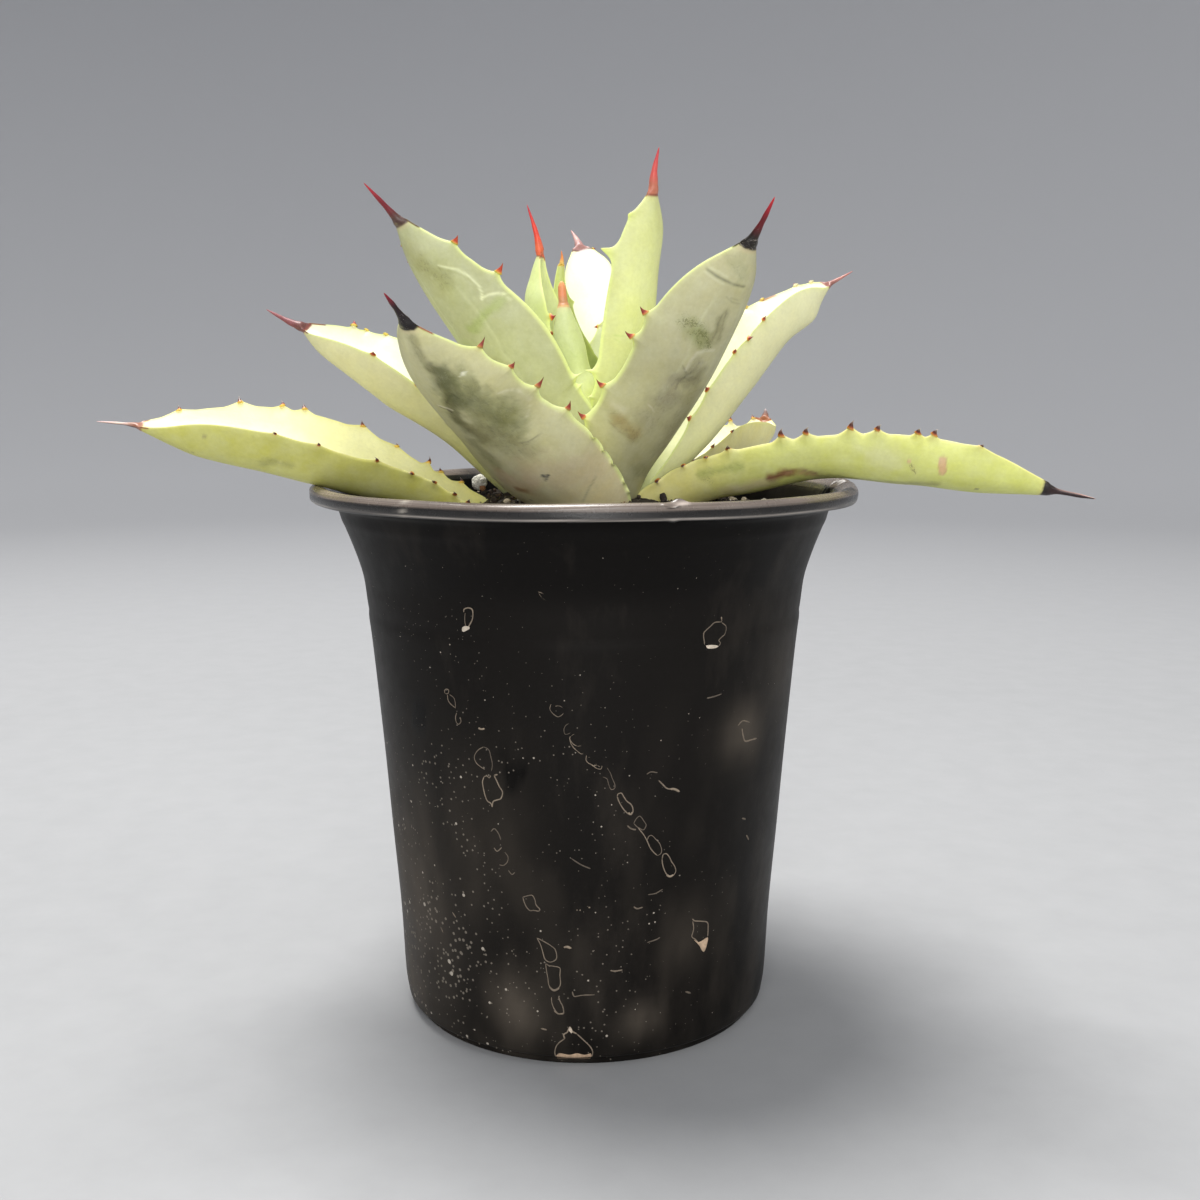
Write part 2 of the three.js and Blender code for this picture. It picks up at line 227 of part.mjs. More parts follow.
function leafGeometry(leaf, offset = 0, withTeeth = true) {
  const line = new THREE.CatmullRomCurve3(leaf.c.map(vec), false, 'catmullrom', 0.5);
  const girth = new THREE.CatmullRomCurve3(leaf.g.map(vec), false, 'catmullrom', 0.5);
  const facing = new THREE.CatmullRomCurve3(leaf.n.map(vec), false, 'catmullrom', 0.5);
  let length = 0;
  for (let i = 1; i < leaf.c.length; i++) length += vec(leaf.c[i]).distanceTo(vec(leaf.c[i - 1]));
  const stations = withTeeth ? leafStations(leaf, length) : [0, 0.07, 0.15, 0.25, 0.36, 0.47, 0.58, 0.69, 0.8, 0.9, 1];
  const points = [];
  let rings = 0;
  const e = 1e-3;
  let B, N;
  for (const t of stations) {
    const C = line.getPoint(t);
    const T = line.getPoint(Math.min(t + e, 1)).sub(line.getPoint(Math.max(t - e, 0))).normalize();
    N = facing.getPoint(t);
    N.addScaledVector(T, -N.dot(T)).normalize();
    B = new THREE.Vector3().crossVectors(T, N);
    const g = girth.getPoint(t);
    const w = Math.max(g.x, 0.3) + offset, dish = Math.max(g.x, 0.3) * g.y, thick = Math.max(g.z, 0.3);
    if (t === 0 && offset) C.addScaledVector(T, -offset);
    for (const s of UPPER) {
      const p = C.clone().addScaledVector(B, w * s).addScaledVector(N, dish * s * s + offset * (Math.abs(s) === 1 ? 0.55 + g.y : 1));
      if (withTeeth && Math.abs(s) === 1) {
        for (const q of leaf.teeth) {
          if (q[1] > TEETH_FROM && q[0] === s && Math.abs(q[1] - t) < 0.3 / length) p.addScaledVector(B, s * q[2]).addScaledVector(T, q[3]).addScaledVector(N, q[4]);
        }
      }
      points.push(p);
    }
    for (const s of UNDER) {
      const n = dish - (dish + thick) * Math.pow(Math.max(1 - Math.pow(Math.abs(s), 2.3), 0), 0.72) - offset;
      points.push(C.clone().addScaledVector(B, w * s).addScaledVector(N, n));
    }
    rings++;
  }
  // the spine tapers from the leaf tip along a short curve
  const tip = vec(leaf.sp[1]), mid = vec(leaf.sp[0]), root = line.getPoint(1);
  const bend = new THREE.CatmullRomCurve3([root, mid, tip], false, 'catmullrom', 0.5);
  const r0 = Math.min(leaf.g[6][0] * 0.8, 1.8) + offset;
  for (const u of [0.16, 0.45, 0.75]) {
    const C = bend.getPoint(u);
    const r = r0 * Math.pow(1 - u, 0.85) + offset * 0.3;
    for (let i = 0; i < RING; i++) {
      const a = Math.PI * (1 - i / 3);
      points.push(C.clone().addScaledVector(B, r * Math.cos(a)).addScaledVector(N, r * 0.85 * Math.sin(a)));
    }
    rings++;
  }
  const n = RING;
  const index = [];
  for (let k = 0; k + 1 < rings; k++) {
    for (let i = 0; i < n; i++) {
      const a = k * n + i, b = k * n + (i + 1) % n, c = a + n, d = b + n;
      index.push(a, b, c, b, d, c);
    }
  }
  const base = points.length;
  const centre = new THREE.Vector3();
  for (let i = 0; i < n; i++) centre.addScaledVector(points[i], 1 / n);
  points.push(centre, tip.clone().addScaledVector(tip.clone().sub(mid).normalize(), offset));
  for (let i = 0; i < n; i++) {
    index.push(base, (i + 1) % n, i);
    index.push(base + 1, (rings - 1) * n + i, (rings - 1) * n + (i + 1) % n);
  }
  const g = new THREE.BufferGeometry();
  g.setAttribute('position', new THREE.Float32BufferAttribute(points.flatMap((p) => [p.x, p.y, p.z]), 3));
  g.setIndex(index);
  return g;
}

// ---------- stem and main roots ----------
const ROOTS = [[20, 40, 62], [95, 34, 56], [165, 42, 64], [235, 36, 52], [305, 40, 60]];
function stemSolid(offset) {
  const profile = [[0, STEM_BOTTOM - offset], [3.2 + offset, STEM_BOTTOM + 1 - offset], [5.8 + offset, 98], [STEM_R + offset, 112], [STEM_R + 0.8 + offset, 124], [STEM_R - 0.4 + offset, 133], [4.6 + offset, STEM_TOP - 1.6 + offset], [0, STEM_TOP + offset]];
  const lathe = new THREE.LatheGeometry(profile.map((p) => new THREE.Vector2(p[0], p[1])), 14);
  lathe.rotateX(Math.PI / 2);
  lathe.translate(STEM_X, STEM_Y, 0);
  let solid = toSolid(lathe);
  for (const [azimuth, reach, drop] of ROOTS) {
    const a = THREE.MathUtils.degToRad(azimuth);
    const at = (r, z) => new THREE.Vector3(STEM_X + r * Math.cos(a), STEM_Y + r * Math.sin(a), z);
    const path = new THREE.CatmullRomCurve3([at(2, 104), at(reach * 0.4, 100 - drop * 0.12), at(reach * 0.8, 100 - drop * 0.5), at(reach, 100 - drop)]);
    const ring = [];
    for (let i = 0; i < 5; i++) ring.push(new THREE.Vector2((1.7 + offset * 1.3) * Math.cos((i / 5) * 2 * Math.PI), (1.7 + offset * 1.3) * Math.sin((i / 5) * 2 * Math.PI)));
    solid = solid.add(toSolid(new THREE.ExtrudeGeometry(new THREE.Shape(ring), { steps: 5, extrudePath: path, bevelEnabled: false })));
  }
  return solid;
}

// ---------- pot ----------
// outer line from the foot up, radius and height below the crest of the lip
const OUTSIDE = [
  [51.2, -143.8], [52.0, -137.6], [52.9, -119.3], [54.8, -95.4], [56.6, -72], [59.1, -43.3],
  [60.5, -32], [61.4, -25], [63.4, -17.6], [65.4, -12], [66.5, -9.5], [67.6, -6.2],
];
const UNDER_LIP = [[69.6, -3.6], [71.6, -2.0], [73.1, -1.5], [73.7, -2.2], [73.5, -4.0]];
const LIP = [[74.6, -4.0], [75.0, -1.8], [74.4, -0.55], [73.2, 0], [71.8, -0.3], [70.0, -1.4], [68.1, -3.4], [66.4, -6.6]];
function potGeometry() {
  const out = OUTSIDE.map(([r, z]) => [r, z + POT_H]);
  const profile = [[0, 0], [FOOT_R, 0], [49.3, FOOT_H], [50.8, FOOT_H + 0.1], ...out];
  for (const [r, z] of UNDER_LIP) profile.push([r, z + POT_H]);
  for (const [r, z] of LIP) profile.push([r * (RIM_R / 75), z + POT_H]);
  for (let i = out.length - 2; i >= 0; i--) profile.push([out[i][0] - WALL, Math.max(out[i][1], FOOT_H + WALL + 0.9)]);
  profile.push([48.6, FOOT_H + WALL], [47.4, WALL], [0, WALL]);
  const g = new THREE.LatheGeometry(profile.map((p) => new THREE.Vector2(p[0], p[1])), 40);
  g.rotateX(Math.PI / 2);
  return g;
}
let pot = toSolid(potGeometry());
for (let i = 0; i < 6; i++) {
  const a = (i * Math.PI) / 3;
  const hole = new THREE.CylinderGeometry(DRAIN_R, DRAIN_R, 12, 10);
  hole.rotateX(Math.PI / 2);
  hole.translate(DRAIN_RING * Math.cos(a), DRAIN_RING * Math.sin(a), 0);
  pot = pot.subtract(toSolid(hole));
}

// ---------- growing mix: it fills the pot and rises a little to the plant ----------
const soilLevel = (r) => {
  const u = THREE.MathUtils.clamp((r - 22) / 42, 0, 1);
  return SOIL_CROWN + (SOIL_WALL - SOIL_CROWN) * (u * u * (3 - 2 * u));
};
function soilGeometry() {
  const profile = [[0, WALL + GAP], [46.9, WALL + GAP], [48.1, FOOT_H + WALL + GAP]];
  for (const [r, z] of OUTSIDE) {
    const zz = z + POT_H;
    if (zz > FOOT_H + WALL + 3 && zz < SOIL_WALL - 3) profile.push([r - WALL - GAP - 0.1, zz]);
  }
  profile.push([64.3, SOIL_WALL - 0.6]);
  for (const r of [58, 48, 38, 28]) profile.push([r, soilLevel(r)]);
  profile.push([0, SOIL_CROWN]);
  const g = new THREE.LatheGeometry(profile.map((p) => new THREE.Vector2(p[0], p[1])), 40);
  g.rotateX(Math.PI / 2);
  return g;
}

// ---------- loose stones on the mix: x, y, size, and how far one is squashed ----------
const STONES = {
  pumice_grain_left: [-30.2, 12, 2.6, 0.95, 'pumice'],
  chip_left: [-28.6, 4.5, 1.2, 0.8, 'chip'],
  pumice_grain_front: [-30, -44, 2.3, 0.8, 'pumice'],
  pumice_grain_right: [33, -46, 2.4, 0.8, 'pumice'],
  pumice_grain_back: [-14, 54, 2.2, 0.85, 'pumice'],
  lava_grain_front: [18, -50, 2.2, 0.8, 'soil'],
  lava_grain_left: [-52, -24, 1.9, 0.8, 'soil'],
  lava_grain_back: [30, 50, 2.1, 0.85, 'soil'],
};
function stoneGeometry([x, y, size, squash], seed) {
  const g = mergeVertices((() => { const k = new THREE.IcosahedronGeometry(size, 1); k.deleteAttribute('normal'); k.deleteAttribute('uv'); return k; })(), 1e-4);
  const p = g.attributes.position;
  for (let i = 0; i < p.count; i++) {
    const f = 1 + 0.13 * Math.sin(i * 12.9898 + seed * 3.7) ;
    p.setXYZ(i, p.getX(i) * f, p.getY(i) * f * 0.9, p.getZ(i) * f * squash);
  }
  g.rotateZ(seed);
  g.computeBoundingBox();
  g.translate(x, y, soilLevel(Math.hypot(x, y)) + GAP + 0.25 - g.boundingBox.min.z);
  return g;
}

// ---------- putting the plant together ----------
// A leaf nearer the heart keeps its shape; the leaf outside it is moulded round it.
const FROM_THE_HEART = [
  'central_bud', 'leaf_inner_left', 'leaf_inner_back', 'leaf_upper_right', 'leaf_upper_left', 'leaf_back_centre', 'leaf_back_upper', 'leaf_front_right',
  'leaf_back_right', 'leaf_back_left', 'leaf_left_mid', 'leaf_right_mid', 'leaf_front_left', 'leaf_right_back', 'leaf_back_left_low', 'leaf_back_low',
  'leaf_right_low', 'leaf_left_low',
];
const stemCutter = stemSolid(GAP + 0.05);
const grown = {}, sockets = {};
for (const name of FROM_THE_HEART) {
  grown[name] = toSolid(leafGeometry(LEAVES[name]));
  sockets[name] = toSolid(leafGeometry(LEAVES[name], GAP + 0.05));
}
for (let i = 0; i < FROM_THE_HEART.length; i++) {
  const name = FROM_THE_HEART[i];
  let solid = grown[name].subtract(stemCutter);
  for (let j = 0; j < i; j++) {
    const other = sockets[FROM_THE_HEART[j]];
    if (solid.intersect(other).volume() > 1e-4) solid = solid.subtract(other);
  }
  solid = largest(solid);
  const low = /_low$|right_back/.test(name);
  addPiece(name, toGeometry(solid), name === 'central_bud' ? colours.bud : low ? colours.lowLeaf : colours.leaf, 0.55);
}
addPiece('stem_and_roots', toGeometry(stemSolid(0)), colours.stem, 0.9);
addPiece('pot', toGeometry(pot), colours.pot, 0.42);
// the leaf bases are packed round the top of the stem, in one hollow of the mix
const crown = new THREE.LatheGeometry([[0, 125], [10.5, 125], [14.5, 135], [17, 147], [0, 147]].map((p) => new THREE.Vector2(p[0], p[1])), 16);
crown.rotateX(Math.PI / 2);
crown.translate(STEM_X, STEM_Y, 0);
let soil = toSolid(soilGeometry()).subtract(stemCutter).subtract(toSolid(crown));
for (const name of FROM_THE_HEART) soil = soil.subtract(sockets[name]);
addPiece('soil', toGeometry(largest(soil)), colours.soil, 0.95);
Object.keys(STONES).forEach((name, i) => addPiece(name, stoneGeometry(STONES[name], i + 1), colours[STONES[name][4]], 0.9));

export default plant;
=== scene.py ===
# Potted agave: the looks. Everything is placed in millimetres in the CAD's own frame and scaled to metres.
# Origin on the floor, on the pot's axis. +Z up. The camera looks along +Y.
import bpy
import json
import math
import numpy as np
from mathutils import Matrix, Vector

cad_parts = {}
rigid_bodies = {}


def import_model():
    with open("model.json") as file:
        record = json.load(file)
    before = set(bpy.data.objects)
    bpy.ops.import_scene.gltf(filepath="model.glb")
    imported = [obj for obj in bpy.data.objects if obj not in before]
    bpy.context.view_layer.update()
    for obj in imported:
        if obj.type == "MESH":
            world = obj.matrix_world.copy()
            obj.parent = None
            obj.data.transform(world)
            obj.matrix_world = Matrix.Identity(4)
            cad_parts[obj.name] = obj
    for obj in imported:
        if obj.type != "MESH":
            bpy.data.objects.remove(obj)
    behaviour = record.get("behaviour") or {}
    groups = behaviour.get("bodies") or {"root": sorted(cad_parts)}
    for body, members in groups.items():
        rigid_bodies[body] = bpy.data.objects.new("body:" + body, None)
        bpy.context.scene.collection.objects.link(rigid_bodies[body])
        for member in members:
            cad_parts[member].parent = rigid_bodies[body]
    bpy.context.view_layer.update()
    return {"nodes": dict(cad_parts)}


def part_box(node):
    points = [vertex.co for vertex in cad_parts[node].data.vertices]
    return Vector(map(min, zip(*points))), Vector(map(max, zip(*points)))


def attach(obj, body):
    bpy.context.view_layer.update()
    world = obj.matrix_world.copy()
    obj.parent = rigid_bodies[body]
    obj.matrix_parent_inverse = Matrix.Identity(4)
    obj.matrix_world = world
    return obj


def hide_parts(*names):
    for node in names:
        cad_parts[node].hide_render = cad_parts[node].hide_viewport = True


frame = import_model()
MM = 0.001
scene = bpy.context.scene

# ---------- camera: where the photograph was taken from ----------
YAW, PITCH = 0.011, 0.153
cy, sy, cp, sp = math.cos(YAW), math.sin(YAW), math.cos(PITCH), math.sin(PITCH)
right, up, forward = Vector((cy, -sy, 0)), Vector((sp * sy, sp * cy, cp)), Vector((cp * sy, cp * cy, -sp))
camera = bpy.data.objects.new("camera", bpy.data.cameras.new("camera"))
scene.collection.objects.link(camera)
camera.matrix_world = Matrix.Translation((0, -0.3894, 0.17416)) @ Matrix((right, up, -forward)).transposed().to_4x4()
camera.data.lens, camera.data.sensor_width = 42.0, 36.0
camera.data.clip_start, camera.data.clip_end = 0.01, 20.0
scene.camera = camera

# ---------- pot, in mm (the same lines as the CAD) ----------
POT_H, WALL, FOOT_R, FOOT_H = 147.5, 1.2, 49.0, 2.4
DRAIN_R, DRAIN_RING = 4.5, 33.0
OUTSIDE = [
    (51.2, -143.8), (52.0, -137.6), (52.9, -119.3), (54.8, -95.4), (56.6, -72), (59.1, -43.3),
    (60.5, -32), (61.4, -25), (63.4, -17.6), (65.4, -12), (66.5, -9.5), (67.6, -6.2),
]
UNDER_LIP = [(69.6, -3.6), (71.6, -2.0), (73.1, -1.5), (73.7, -2.2), (73.5, -4.0)]
LIP = [(74.6, -4.0), (75.0, -1.8), (74.4, -0.55), (73.2, 0), (71.8, -0.3), (70.0, -1.4), (68.1, -3.4), (66.4, -6.6)]
SOIL_WALL, SOIL_CROWN = 138.0, 144.2

LEAVES = {
    'leaf_left_low': {
        'c': [[-7.0,-2.0,119.0],[-22.3,-8.0,133.6],[-42.4,-11.0,144.0],[-63.2,-13.0,152.4],[-83.4,-16.0,158.5],[-101.2,-17.0,161.5],[-115.9,-18.0,163.3]],
        'g': [[8.0,0.4,3.36],[8.0,0.42,3.36],[10.0,0.58,3.41],[11.5,0.62,6.56],[11.5,0.58,7.36],[9.0,0.5,5.94],[2.2,0.3,0.92]],
        'n': [[0.707,-0.094,0.7],[0.601,-0.233,0.765],[0.421,-0.039,0.906],[0.349,-0.235,0.907],[0.25,-0.236,0.939],[0.154,-0.202,0.967],[0.134,-0.335,0.932]],
        'sp': [[-121.7,-18.3,164.0],[-127.9,-18.5,164.5]],
        'teeth': [[-1,0.2673,1.96,-0.61,2.01],[-1,0.2964,2.18,0.1,1.13],[-1,0.3401,2.29,0.25,0.64],[-1,0.3837,2.38,0.24,0.11],[-1,0.4516,1.85,0.33,1.81],[-1,0.5728,1.8,-0.32,1.7],[-1,0.6553,1.95,0.06,1.35],[1,0.2867,2.66,0.1,1.36],[1,0.3304,2.6,0.13,1.38],[1,0.3643,2.78,-0.35,2.42],[1,0.4322,2.52,-0.03,0.46],[1,0.5049,3.02,-0.03,1.87],[1,0.6213,2.94,-0.17,1.68],[1,0.6698,2.8,0.27,1.38],[1,0.7668,2.98,0.17,2.3],[1,0.9171,2.82,0.33,1.54]],
    },
    'leaf_left_mid': {
        'c': [[-6.0,5.0,133.0],[-21.5,5.0,148.1],[-36.0,3.0,162.9],[-48.8,-1.0,174.3],[-60.8,-3.0,180.8],[-69.3,-4.0,185.5],[-75.1,-4.0,189.1]],
        'g': [[8.0,0.5,3.2],[9.0,0.5,3.6],[10.5,0.55,4.2],[11.5,0.58,7.27],[10.5,0.52,5.01],[7.0,0.45,3.6],[2.2,0.3,0.88]],
        'n': [[0.694,-0.09,0.714],[0.701,-0.175,0.691],[0.678,-0.41,0.61],[0.602,-0.342,0.721],[0.491,-0.227,0.841],[0.498,-0.275,0.823],[0.456,-0.506,0.732]],
        'sp': [[-79.4,-4.0,190.7],[-85.7,-4.0,194.1]],
        'teeth': [[-1,0.2946,2.17,-0.41,0.04],[-1,0.3805,2.34,-0.9,0.34],[-1,0.4952,1.83,-0.19,1.3],[-1,0.6359,1.85,-0.1,1.76],[1,0.2934,2.14,-0.6,0.18],[1,0.3768,2.26,-0.56,0.33],[1,0.4584,2.28,-0.17,0.34],[1,0.546,2.43,-0.14,0.21],[1,0.6309,2.44,-0.47,0.18],[1,0.7102,2.31,-0.55,0.33],[1,0.7716,2.81,0.42,1.54]],
    },
    'leaf_front_left': {
        'c': [[-1.0,-6.0,127.0],[-3.1,-21.0,142.2],[-13.4,-31.0,153.2],[-24.2,-39.0,165.2],[-32.6,-49.0,175.9],[-37.9,-58.0,183.0],[-40.4,-64.0,187.5]],
        'g': [[11.0,0.4,3.85],[14.5,0.42,5.07],[18.38,0.4,6.43],[16.48,0.35,5.77],[14.56,0.3,5.1],[8.24,0.3,2.88],[2.4,0.25,0.84]],
        'n': [[0.422,0.615,0.666],[0.373,0.576,0.728],[0.356,0.551,0.755],[0.415,0.511,0.752],[0.4,0.456,0.795],[0.408,0.413,0.815],[0.427,0.414,0.804]],
        'sp': [[-42.4,-67.0,190.9],[-44.7,-70.0,194.3]],
        'teeth': [[-1,0.18,1.2,0.22,-1.26],[-1,0.1994,1.2,0.62,-1.74],[-1,0.2431,1.2,0.47,-2.01],[-1,0.2819,1.2,0.4,-2.02],[-1,0.3449,1.2,-0.18,-1.74],[-1,0.4419,3.4,0.41,1.69],[-1,0.5631,3.7,0.4,2.7],[-1,0.6601,2.94,0.31,1.21],[-1,0.7716,2.9,1.19,3.36],[1,0.2909,2.07,-0.1,0.4],[1,0.3793,2.46,0.01,0.18],[1,0.4619,2.5,-0.55,0.33],[1,0.5349,2.28,-0.17,0.38],[1,0.6181,2.43,-0.06,0.25]],
    },
    'leaf_upper_left': {
        'c': [[-3.0,-1.0,134.0],[-4.5,-10.0,155.3],[-14.8,-15.0,168.2],[-22.7,-19.0,182.8],[-32.5,-22.0,195.8],[-40.4,-26.0,205.9],[-45.7,-29.0,213.7]],
        'g': [[9.0,0.5,2.88],[10.5,0.5,3.36],[13.53,0.45,4.33],[14.87,0.38,4.76],[12.06,0.32,3.86],[7.79,0.3,2.49],[2.4,0.25,0.77]],
        'n': [[0.468,0.802,0.371],[0.44,0.767,0.466],[0.448,0.718,0.532],[0.562,0.642,0.522],[0.511,0.632,0.583],[0.485,0.629,0.607],[0.502,0.635,0.588]],
        'sp': [[-49.1,-31.0,217.6],[-54.1,-34.0,223.0]],
        'teeth': [[-1,0.2934,2.12,0.05,0.21],[-1,0.3594,3.19,0.03,0.71],[-1,0.6746,4.05,0.58,2.1],[-1,0.8298,3.38,0.6,1.32],[1,0.3063,2.47,-0.59,0.39],[1,0.3775,2.26,-0.03,0.36],[1,0.4612,2.49,-0.1,0.01],[1,0.5395,2.46,-0.98,0.27],[1,0.605,2.11,-0.32,0.11],[1,0.6871,2.37,-0.73,0.32],[1,0.7581,2.21,-0.2,0.22],[1,0.8402,2.42,-0.45,0.18],[1,0.9145,2.32,-0.55,0.39]],
    },
    'leaf_inner_left': {
        'c': [[-2.0,2.0,139.0],[-3.4,2.0,168.4],[-8.5,3.0,178.2],[-11.6,4.0,187.4],[-13.1,4.0,196.2],[-12.7,4.0,203.2],[-11.8,4.0,208.6]],
        'g': [[5.0,0.7,2.25],[5.5,0.7,2.48],[5.38,0.8,2.42],[5.85,0.8,2.63],[6.13,0.75,2.76],[3.6,0.6,1.62],[1.7,0.3,0.76]],
        'n': [[0.956,-0.29,0.047],[0.944,-0.287,0.165],[0.872,-0.272,0.406],[0.925,-0.285,0.253],[0.955,-0.29,0.066],[0.949,-0.299,-0.101],[0.941,-0.304,-0.151]],
        'sp': [[-13.2,4.0,215.2],[-15.6,4.0,222.6]],
        'teeth': [[-1,0.4916,1.45,-0.22,0.35],[-1,0.5825,1.56,-0.09,2.62]],
    },
    'central_bud': {
        'c': [[1.0,0.0,143.0],[-0.4,-2.0,169.9],[-1.9,-2.5,177.5],[-3.5,-3.0,183.4],[-4.9,-3.5,188.6],[-5.4,-4.0,192.6],[-5.6,-4.0,195.0]],
        'g': [[5.5,0.0,5.5],[5.5,0.0,5.5],[3.68,0.0,3.68],[3.95,0.0,3.95],[3.62,0.0,3.62],[2.42,0.0,2.42],[1.6,0.0,1.6]],
        'n': [[0.001,0.997,0.074],[0.001,0.997,0.072],[0.003,0.997,0.075],[-0.001,0.996,0.09],[-0.004,0.994,0.107],[0.001,0.997,0.078],[0.006,1.0,-0.0]],
        'sp': [[-5.9,-4.0,198.2],[-6.1,-4.0,201.6]],
        'teeth': [],
    },
    'leaf_inner_back': {
        'c': [[2.0,5.0,139.0],[1.6,9.0,171.1],[-1.5,11.0,180.3],[-4.5,12.0,187.8],[-6.1,13.0,195.4],[-6.7,13.0,202.0],[-6.4,13.0,206.9]],
        'g': [[5.0,0.6,1.75],[5.5,0.6,1.92],[5.2,0.6,1.82],[4.2,0.6,1.47],[2.9,0.6,1.01],[1.6,0.6,0.56],[1.0,0.6,0.35]],
        'n': [[-0.171,-0.978,0.119],[-0.167,-0.978,0.128],[-0.152,-0.981,0.121],[-0.145,-0.986,0.087],[-0.152,-0.987,0.046],[-0.17,-0.985,-0.004],[-0.183,-0.983,0.011]],
        'sp': [[-6.2,13.0,209.1],[-6.4,13.0,211.1]],
        'teeth': [[1,0.6989,1.2,-0.44,0.3]],
    },
    'leaf_back_centre': {
        'c': [[2.0,8.0,136.0],[3.6,17.0,162.5],[3.1,25.0,176.8],[2.4,33.0,189.1],[1.9,41.0,199.5],[1.2,49.0,208.6],[-1.1,57.0,215.3]],
        'g': [[7.5,0.4,2.4],[8.0,0.4,2.56],[8.4,0.4,2.69],[8.6,0.35,2.75],[7.9,0.3,2.53],[6.8,0.25,2.18],[2.6,0.25,0.83]],
        'n': [[-0.006,-0.947,0.321],[-0.003,-0.923,0.385],[0.003,-0.857,0.516],[0.004,-0.817,0.576],[0.004,-0.773,0.634],[0.006,-0.703,0.711],[-0.008,-0.643,0.766]],
        'sp': [[-2.3,62.0,218.8],[-4.2,67.0,222.4]],
        'teeth': [[-1,0.302,2.35,-0.71,-0.04],[-1,0.3755,2.22,-1.09,0.43],[-1,0.4457,2.06,0.08,0.43],[-1,0.537,2.53,0.06,0.22],[-1,0.6191,2.53,-0.46,0.26],[1,0.3086,2.52,-0.03,0.06],[1,0.3894,2.49,-0.85,0.08],[1,0.458,2.16,-0.8,0.42],[1,0.5339,2.18,0.05,0.23],[1,0.6226,2.52,-0.42,0.14],[1,0.6973,2.33,-0.66,0.18],[1,0.985,1.63,0.06,-0.18]],
    },
    'leaf_upper_right': {
        'c': [[4.0,-2.0,136.0],[7.5,-4.0,159.0],[12.1,-8.0,173.5],[13.6,-12.0,188.6],[14.8,-15.0,201.8],[16.6,-17.0,213.9],[17.7,-19.0,222.3]],
        'g': [[7.0,0.5,2.24],[8.0,0.5,2.56],[10.64,0.45,3.4],[10.59,0.4,3.39],[10.0,0.35,3.2],[8.18,0.3,2.62],[2.4,0.25,0.77]],
        'n': [[-0.757,0.631,0.17],[-0.791,0.554,0.26],[-0.832,0.467,0.299],[-0.848,0.491,0.202],[-0.851,0.488,0.195],[-0.85,0.482,0.213],[-0.85,0.477,0.225]],
        'sp': [[17.9,-20.5,227.8],[19.0,-22.0,233.5]],
        'teeth': [[-1,0.3058,2.44,-0.83,0.19],[-1,0.3801,2.17,-0.53,0.21],[-1,0.465,2.29,-0.48,0.36],[-1,0.5482,2.31,-0.09,0.04],[-1,0.6374,2.46,-0.9,-0.03],[-1,0.71,2.14,-1.08,0.2],[-1,0.7864,2.07,-0.49,0.13],[-1,0.8739,2.3,-0.67,0.1],[1,0.2986,2.27,-0.49,0.08],[1,0.3982,3.57,0.09,2.1],[1,0.7474,3.72,0.26,2.69],[1,0.9026,2.48,0.1,0.18]],
    },
    'leaf_front_right': {
        'c': [[5.0,-6.0,130.0],[10.0,-16.0,148.9],[15.3,-23.0,162.0],[22.8,-30.0,175.0],[28.7,-38.0,188.0],[34.8,-45.0,198.8],[39.0,-50.0,206.7]],
        'g': [[9.0,0.45,3.15],[11.0,0.45,3.85],[14.82,0.4,5.19],[14.22,0.35,4.98],[13.45,0.3,4.71],[9.15,0.3,3.2],[2.4,0.25,0.84]],
        'n': [[-0.626,0.609,0.486],[-0.604,0.607,0.517],[-0.551,0.591,0.589],[-0.507,0.606,0.612],[-0.444,0.641,0.627],[-0.368,0.677,0.637],[-0.373,0.681,0.631]],
        'sp': [[41.6,-53.0,211.6],[44.1,-56.0,217.0]],
        'teeth': [[-1,0.298,2.25,-0.92,0.26],[-1,0.3703,2.13,-0.34,0.15],[-1,0.4538,2.36,-0.62,0.4],[-1,0.5285,2.25,-0.0,0.35],[-1,0.615,2.5,-0.11,0.07],[1,0.3449,3.61,-0.08,1.38],[1,0.4322,3.72,0.08,1.66],[1,0.6116,3.64,0.08,1.25],[1,0.6746,3.38,0.36,1.17]],
    },
    'leaf_right_mid': {
        'c': [[7.0,0.0,131.0],[20.5,-3.0,149.4],[30.5,0.0,163.0],[40.2,3.0,176.8],[51.2,6.0,190.2],[60.6,9.0,197.8],[67.5,11.0,201.3]],
        'g': [[7.0,0.5,2.66],[8.5,0.5,3.23],[10.5,0.55,6.0],[11.5,0.58,7.03],[10.5,0.52,6.36],[6.5,0.45,6.42],[2.2,0.3,0.84]],
        'n': [[-0.8,0.057,0.597],[-0.77,-0.297,0.565],[-0.755,-0.262,0.601],[-0.743,-0.251,0.621],[-0.662,-0.24,0.71],[-0.516,-0.185,0.836],[-0.292,-0.459,0.839]],
        'sp': [[71.8,12.0,203.5],[75.6,13.0,205.6]],
        'teeth': [[-1,0.3055,2.44,-0.67,0.24],[-1,0.3777,2.23,-0.41,0.3],[-1,0.458,2.34,-0.24,0.38],[-1,0.5389,2.4,-0.05,0.2],[-1,0.6213,2.48,-0.51,0.38],[-1,0.6953,2.3,-0.05,0.11],[-1,0.7522,2.45,-0.25,-0.23],[-1,0.888,2.54,0.02,0.6],[-1,0.9656,2.52,-0.07,0.21],[1,0.117,2.7,0.06,-1.08],[1,0.1364,2.49,0.23,-0.36],[1,0.1509,2.26,0.33,0.31],[1,0.3158,1.28,-0.99,2.01],[1,0.4079,1.65,-0.26,1.9],[1,0.5292,2.05,-0.03,1.01],[1,0.5777,2.52,0.01,-0.34],[1,0.6359,2.16,0.24,0.96]],
    },
    'leaf_right_back': {
        'c': [[5.0,5.0,130.0],[20.7,16.0,145.6],[30.9,30.0,148.8],[40.0,44.0,152.5],[48.7,57.0,155.0],[56.1,68.0,157.5],[59.3,75.0,162.1]],
